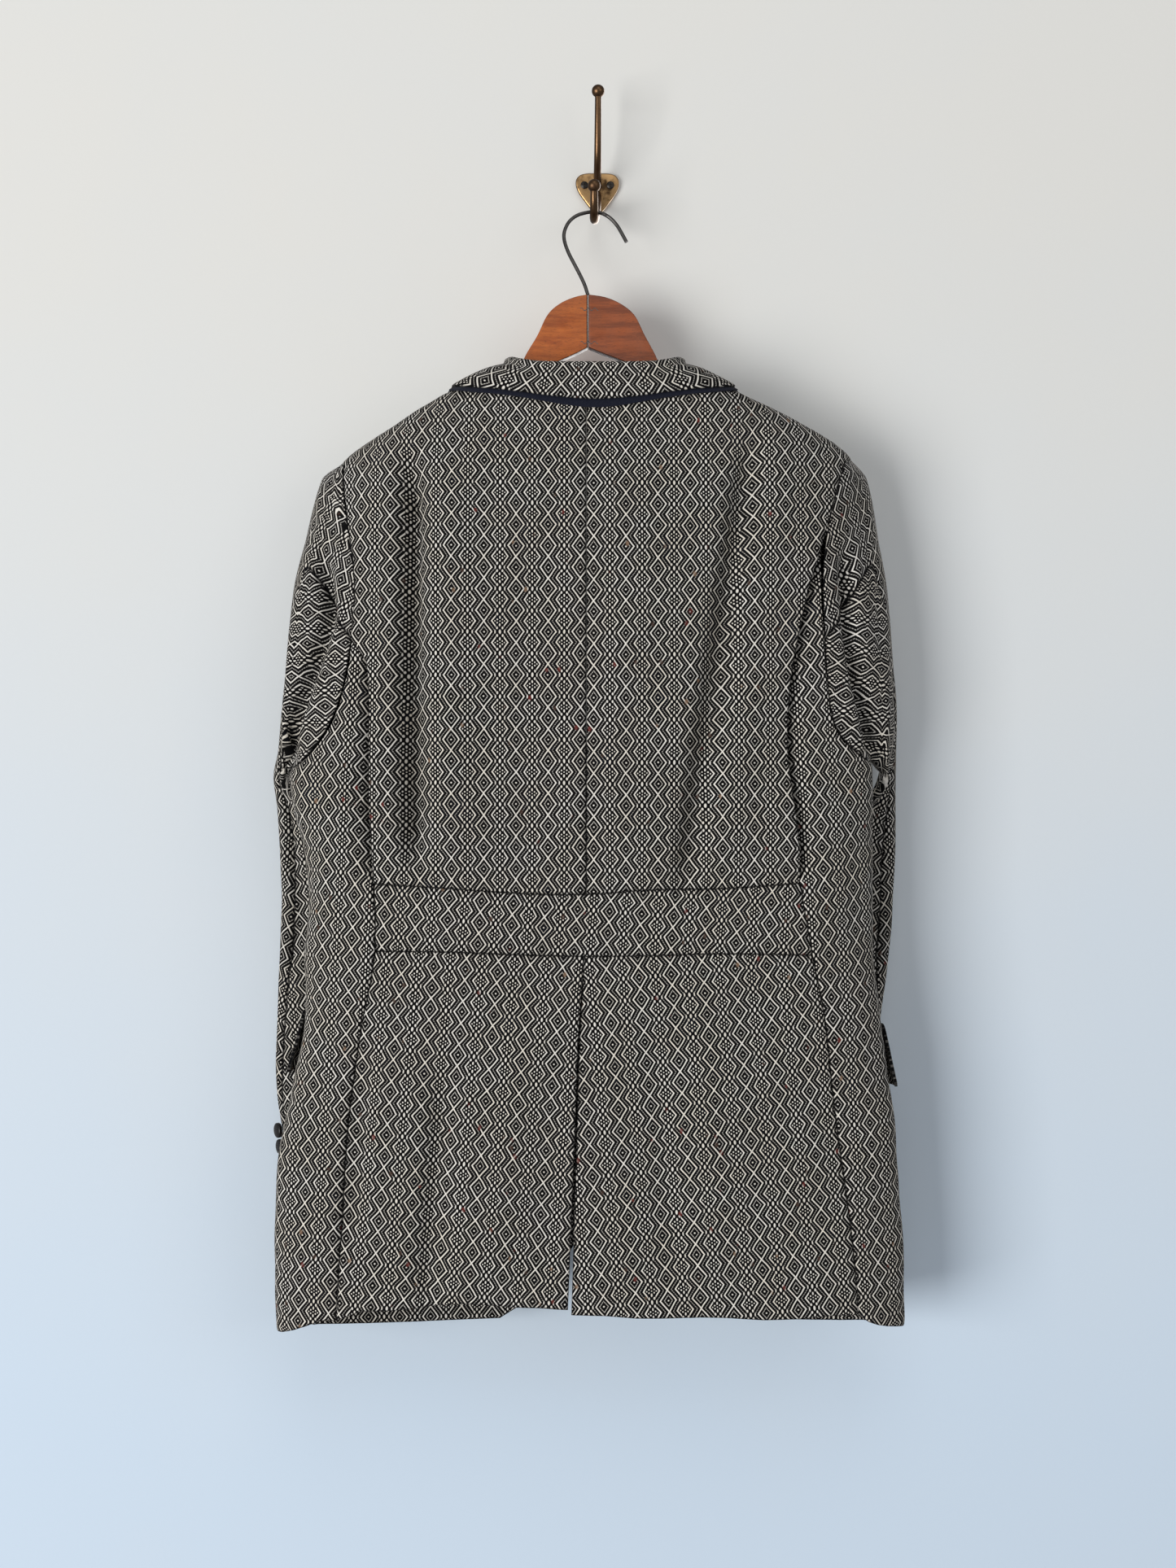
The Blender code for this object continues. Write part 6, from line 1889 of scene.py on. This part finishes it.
def disc(name, vertices, radius, thickness):
    """A round disc that stands on the plane z = 0."""
    deselect()
    centre = (0, 0, thickness / 2)
    bpy.ops.mesh.primitive_cylinder_add(vertices=vertices, radius=radius, depth=thickness, location=centre)
    bpy.ops.object.transform_apply(location=True)
    piece = bpy.context.object
    piece.name = name
    edit(piece)
    return piece


def raised(steps, inset, rise):
    """Raises the picked faces in steps, each a share of the inset and of the rise."""
    for share, height in steps:
        bpy.ops.mesh.inset(thickness=inset * share)
        bpy.ops.transform.translate(value=(0, 0, rise * height))


def turn_to(piece, centre, axis):
    """Turns a piece's Z to an axis and puts it at a centre."""
    piece.rotation_mode = "QUATERNION"
    piece.rotation_quaternion = Vector(axis).to_track_quat("Z", "Y")
    piece.location = centre


def button(name, node, centre, axis, width, holes):
    """A turned button: a raised rim round a dished middle, or a dome where it has no holes."""
    radius, thick = width / 2, BUTTON_THICKNESS
    piece = disc(name, 48, radius, thick * BUTTON_DISC)
    select_faces(piece, 2, 1)
    if holes:
        bpy.ops.mesh.inset(thickness=radius * 0.16)
        bpy.ops.transform.translate(value=(0, 0, thick * 0.12))
        bpy.ops.mesh.inset(thickness=radius * 0.12)
        bpy.ops.mesh.inset(thickness=radius * 0.08)
        bpy.ops.transform.translate(value=(0, 0, -thick * 0.32))
    else:
        raised(((0.22, 0.16), (0.3, 0.1), (0.36, 0.05)), radius * DOME_INSET, thick)
    select_faces(piece, 2, -1)
    bpy.ops.mesh.inset(thickness=radius * 0.3)
    bpy.ops.object.mode_set(mode="OBJECT")
    softened(piece, thick * 0.14, 3, 25)
    if holes:
        spot = radius * 0.2
        for x, y in ((spot, spot), (-spot, spot), (-spot, -spot), (spot, -spot)):
            drill(piece, (x, y, thick / 2), radius * 0.105, thick * 2)
    smoothed(40)
    turn_to(piece, centre, axis)
    finished(piece, "Horn", node)


def drill(piece, centre, radius, depth):
    """A round hole through a piece."""
    deselect()
    bpy.ops.mesh.primitive_cylinder_add(vertices=16, radius=radius, depth=depth, location=centre)
    with_object(piece, bpy.context.object, operation="DIFFERENCE")


def stage_sheet(name, size, centre, turn, finish):
    """A flat stage sheet."""
    deselect()
    bpy.ops.mesh.primitive_plane_add(size=size, location=centre, rotation=turn)
    sheet = bpy.context.object
    sheet.name = name
    bpy.ops.object.transform_apply(location=True, rotation=True, scale=True)
    sheet.data.materials.append(bpy.data.materials[finish])
    sheet.visible_diffuse = False
    return sheet


def area_light(name, centre, target, size, power, colour):
    deselect()
    bpy.ops.object.light_add(type="AREA", location=centre)
    light = bpy.context.object
    light.name = name
    light.data.size = size
    light.data.energy = power
    light.data.color = colour
    light.rotation_mode = "QUATERNION"
    light.rotation_quaternion = (Vector(target) - Vector(centre)).to_track_quat("-Z", "Y")


def hanger_arm(side):
    """Half the wishbone hanger: a board that is bent and sawn to shape, with rounded edges."""
    column = columns_of(HANGER_ARMS[side], HANGER_COLUMNS)
    known = np.arange(len(HANGER_ARMS[side]))
    cols, rows = 72, 5
    fine = np.linspace(0, known[-1], cols)
    value = {name: smooth(known, column[name], fine) for name in HANGER_COLUMNS}
    up = np.linspace(0, 1, rows)[:, None]
    z = value["foot"] * (1 - up) + value["top"] * up
    x = value["x"] + 0 * up
    y = -value["depth"] + HANGER_THICKNESS / 2 + 0 * up
    points = np.stack([x, y, z], axis=-1)
    if side == "left":
        points = points[:, ::-1]
    piece = grid_piece("wood_hanger_" + side, points)
    pulled_out(piece, HANGER_THICKNESS)
    softened(piece, HANGER_ROUNDING, 4, 60)
    smoothed(50)
    finished(piece, side.capitalize() + " Wood", "hanger_" + side)


def fastener(name, height, half):
    """A corrugated fastener, driven in across the hanger's joint: its wavy edge stands just proud."""
    cols = 49
    x = np.linspace(-half, half, cols) + FASTENER_X
    z = height + FASTENER_WAVE * np.sin(np.linspace(0, 8 * math.pi, cols))
    face = -(HANGER_ARMS["left"][0][3] * MM + HANGER_THICKNESS / 2)
    y = 0 * x + face - FASTENER_PROUD
    rows = [np.stack([x, y, z + shift], axis=1) for shift in (-FASTENER_HALF, FASTENER_HALF)]
    piece = grid_piece(name, np.array(rows))
    applied(piece, "SOLIDIFY", thickness=FASTENER_PROUD + FASTENER_IN, offset=-1)
    finished(piece, "Fastener", None)


def wall_hook():
    """The cast hook: a bevelled shield plate, two prongs and their balls, joined into one piece."""
    half = list(PLATE_OUTLINE)
    outline = np.array(half + [(-x, z) for x, z in reversed(half) if x > 0], float) * MM
    outline = eased(outline, np.arange(0, len(outline), 0.25), closed=True)
    deselect()
    bpy.ops.mesh.primitive_circle_add(vertices=len(outline), fill_type="NGON", radius=1)
    plate = bpy.context.object
    plate.name = "brass_wall_hook"
    points = np.stack([outline[:, 0], 0 * outline[:, 0], outline[:, 1]], axis=1)
    plate.data.vertices.foreach_set("co", points.astype(np.float32).reshape(-1))
    plate.data.update()
    pulled_out(plate, PLATE_THICKNESS)
    select_faces(plate, 1, -1)
    bpy.ops.mesh.bevel(offset=PLATE_ROUNDING, segments=3, affect="EDGES")
    bpy.ops.object.mode_set(mode="OBJECT")
    parts = [
        bar("lower_prong", LOWER_PRONG, LOWER_PRONG_RADII, 60),
        bar("upper_prong", UPPER_PRONG, UPPER_PRONG_RADII, 50),
    ]
    for x, z, depth in (LOWER_BALL, UPPER_BALL):
        deselect()
        centre = (x * MM, -depth * MM, z * MM)
        bpy.ops.mesh.primitive_ico_sphere_add(subdivisions=4, radius=BALL_RADIUS, location=centre)
        bpy.ops.object.shade_smooth()
        parts.append(bpy.context.object)
    for part in parts:
        with_object(plate, part, operation="UNION", solver="MANIFOLD")
    smoothed(40)
    finished(plate, "Brass", "wall_hook")


def screw(node, x):
    """A domed screw head with a cross recess."""
    piece = disc("steel_" + node, 40, SCREW_RADIUS, SCREW_EDGE)
    select_faces(piece, 2, 1)
    raised(((0.2, 0.45), (0.3, 0.3), (0.4, 0.15)), SCREW_RADIUS * DOME_INSET, MM)
    bpy.ops.object.mode_set(mode="OBJECT")
    long, narrow = SCREW_RADIUS * 1.3, RECESS_WIDTH
    for size in ((long, narrow, RECESS_DEPTH), (narrow, long, RECESS_DEPTH)):
        deselect()
        bpy.ops.mesh.primitive_cube_add(size=1, location=(0, 0, RECESS_HEIGHT), scale=size)
        with_object(piece, bpy.context.object, operation="DIFFERENCE")
    smoothed(35)
    turn_to(piece, (x, -PLATE_THICKNESS - SEAM_GAP, SCREW_HEIGHT), (0, -1, 0))
    finished(piece, "Screw", node)


class SPORTCOAT_OT_materials(bpy.types.Operator):
    """Makes the node groups and the materials"""

    bl_idname = "sportcoat.materials"
    bl_label = "Materials"

    def execute(self, context):
        scene = context.scene
        hanger = scene.coat_hanger
        woven_figure()
        yarn_colours()
        mottle()
        tweed_material(scene.coat_cloth)
        felt_material(scene.coat_cloth)
        horn_material(hanger)
        # The right arm's darker wood is painted shade on a copy of the left arm's
        wood_material("Left Wood", hanger.lit_left_wood, (0.36, 0.08, 0.014), -0.42)
        wood_material("Right Wood", hanger.shaded_right_wood, (0.19, 0.04, 0.009), 0.42)
        browned = (0.10, 0.055, 0.032)
        metal_material("Brass", hanger.brass, (0.085, 0.05, 0.025), 0.28, 0.55, 120.0, browned)
        metal_material("Steel", hanger.steel, (0.03, 0.027, 0.025), 0.32, 0.55, 200.0)
        metal_material("Screw", (0.06, 0.055, 0.05), (0.02, 0.018, 0.016), 0.4, 0.6, 400.0)
        metal_material("Fastener", (0.16, 0.15, 0.14), (0.05, 0.035, 0.025), 0.4, 0.6, 400.0)
        wall_material(scene.coat_stage)
        floor_material(scene.coat_stage)
        return {"FINISHED"}


class SPORTCOAT_OT_back(bpy.types.Operator):
    """Makes both halves of the back above the belt"""

    bl_idname = "sportcoat.back"
    bl_label = "Back"

    def execute(self, context):
        panels(context, "back_", "back_upper_", back_places, pleat_lift, (2.0, 1.8, 2.2, 0.9))
        return {"FINISHED"}


class SPORTCOAT_OT_belt(bpy.types.Operator):
    """Makes the half belt that is sewn in across the waist"""

    bl_idname = "sportcoat.belt"
    bl_label = "Belt"

    def execute(self, context):
        panel(context, "belt", "belt", refined(belt_places()), 0.4 * MM, (2.0, 2.0, 1.6, 1.6))
        return {"FINISHED"}


class SPORTCOAT_OT_skirt(bpy.types.Operator):
    """Makes both halves of the skirt below the belt, which meet at the vent"""

    bl_idname = "sportcoat.skirt"
    bl_label = "Skirt"

    def execute(self, context):
        panels(context, "skirt_", "back_skirt_", skirt_places, skirt_lift, (0.7, 2.0, 0.9, 2.0))
        return {"FINISHED"}


class SPORTCOAT_OT_side_panels(bpy.types.Operator):
    """Makes the side bodies, which run under the action pleats"""

    bl_idname = "sportcoat.side_panels"
    bl_label = "Side panels"

    def execute(self, context):
        panels(context, "side_", "side_panel_", side_places, side_lift, (0.7, 2.2, 1.6, 1.6))
        return {"FINISHED"}


class SPORTCOAT_OT_fronts(bpy.types.Operator):
    """Makes the fronts, the left one lapping over the right one"""

    bl_idname = "sportcoat.fronts"
    bl_label = "Fronts"

    def execute(self, context):
        panels(context, "front_", "front_", front_places, front_lift, (0.5, 0.9, 0.9, 0.4), 0.6)
        return {"FINISHED"}


class SPORTCOAT_OT_lapels(bpy.types.Operator):
    """Makes the turned-back lapels"""

    bl_idname = "sportcoat.lapels"
    bl_label = "Lapels"

    def execute(self, context):
        panels(context, "lapel_", "lapel_", lapel_places, lapel_lift, (0.2, 0.6, 0.8, 0.5), 0.6)
        return {"FINISHED"}


class SPORTCOAT_OT_flaps(bpy.types.Operator):
    """Makes the pocket flaps, which stand off the fronts at their foot"""

    bl_idname = "sportcoat.flaps"
    bl_label = "Pocket flaps"

    def execute(self, context):
        panels(context, "flap_", "pocket_flap_", flap_places, flap_lift, (0.4, 0.6, 0.4, 0.4), 0.4)
        return {"FINISHED"}


class SPORTCOAT_OT_collar(bpy.types.Operator):
    """Makes the tweed collar and the felt beneath it"""

    bl_idname = "sportcoat.collar"
    bl_label = "Collar"

    def execute(self, context):
        points, normals = smooth_collar()
        _, _, down, _ = grid_lengths(points)
        run = np.cumsum(np.append(0, spacing(points, 0)))
        run = run - run.mean()
        weave = np.stack([run[:, None] + 0 * down, -down], axis=-1)
        outer = points - normals * edge_dip(points, (0.3, 0.3, 0.2, 0.6), SEAM_WIDTH)[..., None]
        piece = cloth("cloth_collar", outer, normals, weave, COLLAR_CLOTH, "Tweed")
        place_cloth(piece, "top_collar")
        under = points - normals * (COLLAR_CLOTH + SEAM_GAP)
        ahead = unit(under[:, -1] - under[:, -2])
        rows = int(UNDER_COLLAR_SHOWS / STEP) + 1
        # In the middle the felt reaches further down: painted shade under the collar's fall
        from_middle = (under[:, -1, 0] - COLLAR_MIDDLE_X) / UNDER_COLLAR_SHADE_SAG_HALF
        shows = (UNDER_COLLAR_SHOWS + UNDER_COLLAR_SHADE_SAG * np.exp(-(from_middle**2)))[:, None]
        strips = [under]
        for row in range(1, rows + 1):
            strips.append((under[:, -1] + ahead * shows * row / rows)[:, None])
        under = np.concatenate(strips, axis=1)
        weave = np.zeros((*under.shape[:2], 2))
        piece = cloth("felt_under_collar", under, grid_normals(under), weave, FELT, "Felt")
        place_cloth(piece, "under_collar")
        return {"FINISHED"}


class SPORTCOAT_OT_sleeves(bpy.types.Operator):
    """Makes the top and the under piece of each sleeve"""

    bl_idname = "sportcoat.sleeves"
    bl_label = "Sleeves"

    def execute(self, context):
        settings = context.scene.coat_cloth
        for side in SIDES:
            for kind in ("top_sleeve_", "under_sleeve_"):
                points, normals, plain = sleeve_grid(side, kind == "top_sleeve_")
                weave = sleeve_weave(plain, normals, side)
                name = "cloth_" + kind + side
                piece = cloth(name, points, normals, weave, settings.thickness, "Tweed")
                place_cloth(piece, kind + side)
        return {"FINISHED"}


class SPORTCOAT_OT_buttons(bpy.types.Operator):
    """Makes the front and the cuff buttons"""

    bl_idname = "sportcoat.buttons"
    bl_label = "Buttons"

    def execute(self, context):
        settings = context.scene.coat_hanger
        for number, height in enumerate(FRONT_BUTTON_HEIGHTS, 1):
            heights = np.array([height])
            total = girth(heights, False)
            lift = front_lift(np.stack([-total, heights], axis=1), "left") + FRONT_SHANK
            point, normal = surface(-total, heights, lift)
            node = f"front_button_{number}"
            button(f"horn_{node}", node, point[0], normal[0], settings.front_button, True)
        for side in SIDES:
            rings, normals = sleeve_rings(side)
            order = np.argsort(rings[:, 0, 2])
            outer, facing = rings[order, 0], normals[order, 0]
            for number, height in enumerate(CUFF_BUTTON_HEIGHTS, 1):
                point = row_at(height, outer[:, 2], outer)
                normal = unit(row_at(height, outer[:, 2], facing))
                normal = unit(normal - (0, CUFF_TURNS, 0))
                point = point + (sign_of(side) * CUFF_HANGS_OUT, 0, 0)
                node = f"cuff_button_{side}_{number}"
                centre = point + normal * CUFF_SHANK
                button(f"horn_{node}", node, centre, normal, settings.cuff_button, False)
        return {"FINISHED"}


class SPORTCOAT_OT_hanger(bpy.types.Operator):
    """Makes the two arms of the wishbone hanger and the fasteners across their joint"""

    bl_idname = "sportcoat.hanger"
    bl_label = "Hanger"

    def execute(self, context):
        for side in SIDES:
            hanger_arm(side)
        for number, (height, half) in enumerate(FASTENERS, 1):
            fastener(f"corrugated_fastener_{number}", height, half)
        return {"FINISHED"}


class SPORTCOAT_OT_wire(bpy.types.Operator):
    """Makes the hanger's wire hook"""

    bl_idname = "sportcoat.wire"
    bl_label = "Wire"

    def execute(self, context):
        piece = bar("steel_wire", WIRE_ROUTE, WIRE_RADII, 90)
        finished(piece, "Steel", "hanger_wire")
        return {"FINISHED"}


class SPORTCOAT_OT_wall_hook(bpy.types.Operator):
    """Makes the cast hook with its plate, prongs and balls, and its two screws"""

    bl_idname = "sportcoat.wall_hook"
    bl_label = "Wall hook"

    def execute(self, context):
        wall_hook()
        for name, x in SCREW_PLACES.items():
            screw(name, x)
        return {"FINISHED"}


class SPORTCOAT_OT_stage(bpy.types.Operator):
    """Makes the wall, the floor, the lights and the camera"""

    bl_idname = "sportcoat.stage"
    bl_label = "Stage"

    def execute(self, context):
        stage = context.scene.coat_stage
        wall = stage_sheet("wall", 6.0, (0, WALL_GAP, 0), (math.pi / 2, 0, 0), "Wall")
        floor = stage_sheet("floor", 6.0, (0, WALL_GAP - 3.0, FLOOR_HEIGHT), (0, 0, 0), "Floor")
        for sheet in (wall, floor):
            sheet.visible_shadow = False
            sheet.visible_glossy = False
        target = (MIDDLE_X, -0.08, -0.55)
        area_light("key", (-3.7, -4.5, -1.2), target, 3.2, stage.key_light, (1.0, 0.985, 0.965))
        area_light("fill_right", (2.6, -3.2, 0.5), target, 2.2, stage.fill_light, (1.0, 0.98, 0.95))
        area_light("fill_top", (0.2, -2.6, 2.2), target, 2.2, stage.fill_light, (1.0, 0.99, 0.97))
        area_light("fill_behind", (0.9, 2.4, -0.1), target, 2.4, stage.fill_light * 3, (1.0, 0.98, 0.96))
        world = bpy.data.worlds.new("Room")
        world.use_nodes = True
        background = world.node_tree.nodes["Background"].inputs
        background["Color"].default_value = (0.93, 0.95, 1.0, 1)
        background["Strength"].default_value = 0.28
        context.scene.world = world
        context.scene.view_settings.view_transform = "Standard"
        deselect()
        bpy.ops.object.camera_add(
            location=(CAMERA_X, -stage.distance, CAMERA_HEIGHT), rotation=(math.pi / 2, 0, 0)
        )
        camera = context.object
        camera.name = "camera"
        camera.data.lens = stage.lens
        camera.data.sensor_width = 36
        context.scene.camera = camera
        return {"FINISHED"}


OPERATORS = (
    SPORTCOAT_OT_materials, SPORTCOAT_OT_back, SPORTCOAT_OT_belt, SPORTCOAT_OT_skirt,
    SPORTCOAT_OT_side_panels, SPORTCOAT_OT_fronts, SPORTCOAT_OT_lapels, SPORTCOAT_OT_flaps,
    SPORTCOAT_OT_collar, SPORTCOAT_OT_sleeves, SPORTCOAT_OT_buttons, SPORTCOAT_OT_hanger,
    SPORTCOAT_OT_wire, SPORTCOAT_OT_wall_hook, SPORTCOAT_OT_stage,
)


class SPORTCOAT_PT_pieces(bpy.types.Panel):
    """The coat's pieces and their sizes and colours"""

    bl_idname = "SPORTCOAT_PT_pieces"
    bl_label = "Sport Coat"
    bl_space_type = "VIEW_3D"
    bl_region_type = "UI"
    bl_category = "Sport Coat"

    def draw(self, context):
        layout = self.layout
        for operator in OPERATORS:
            layout.operator(operator.bl_idname)
        for group in (context.scene.coat_cloth, context.scene.coat_hanger, context.scene.coat_stage):
            box = layout.box()
            for name in group.__annotations__:
                box.prop(group, name)


GROUPS = {"coat_cloth": CoatCloth, "coat_hanger": CoatHanger, "coat_stage": CoatStage}
CLASSES = (*GROUPS.values(), *OPERATORS, SPORTCOAT_PT_pieces)


def register():
    for made in CLASSES:
        bpy.utils.register_class(made)
    for name, group in GROUPS.items():
        setattr(bpy.types.Scene, name, PointerProperty(type=group))


def unregister():
    for name in GROUPS:
        delattr(bpy.types.Scene, name)
    for made in reversed(CLASSES):
        bpy.utils.unregister_class(made)


def main():
    register()
    for operator in OPERATORS:
        category, name = operator.bl_idname.split(".")
        getattr(getattr(bpy.ops, category), name)()


if __name__ == "__main__":
    main()
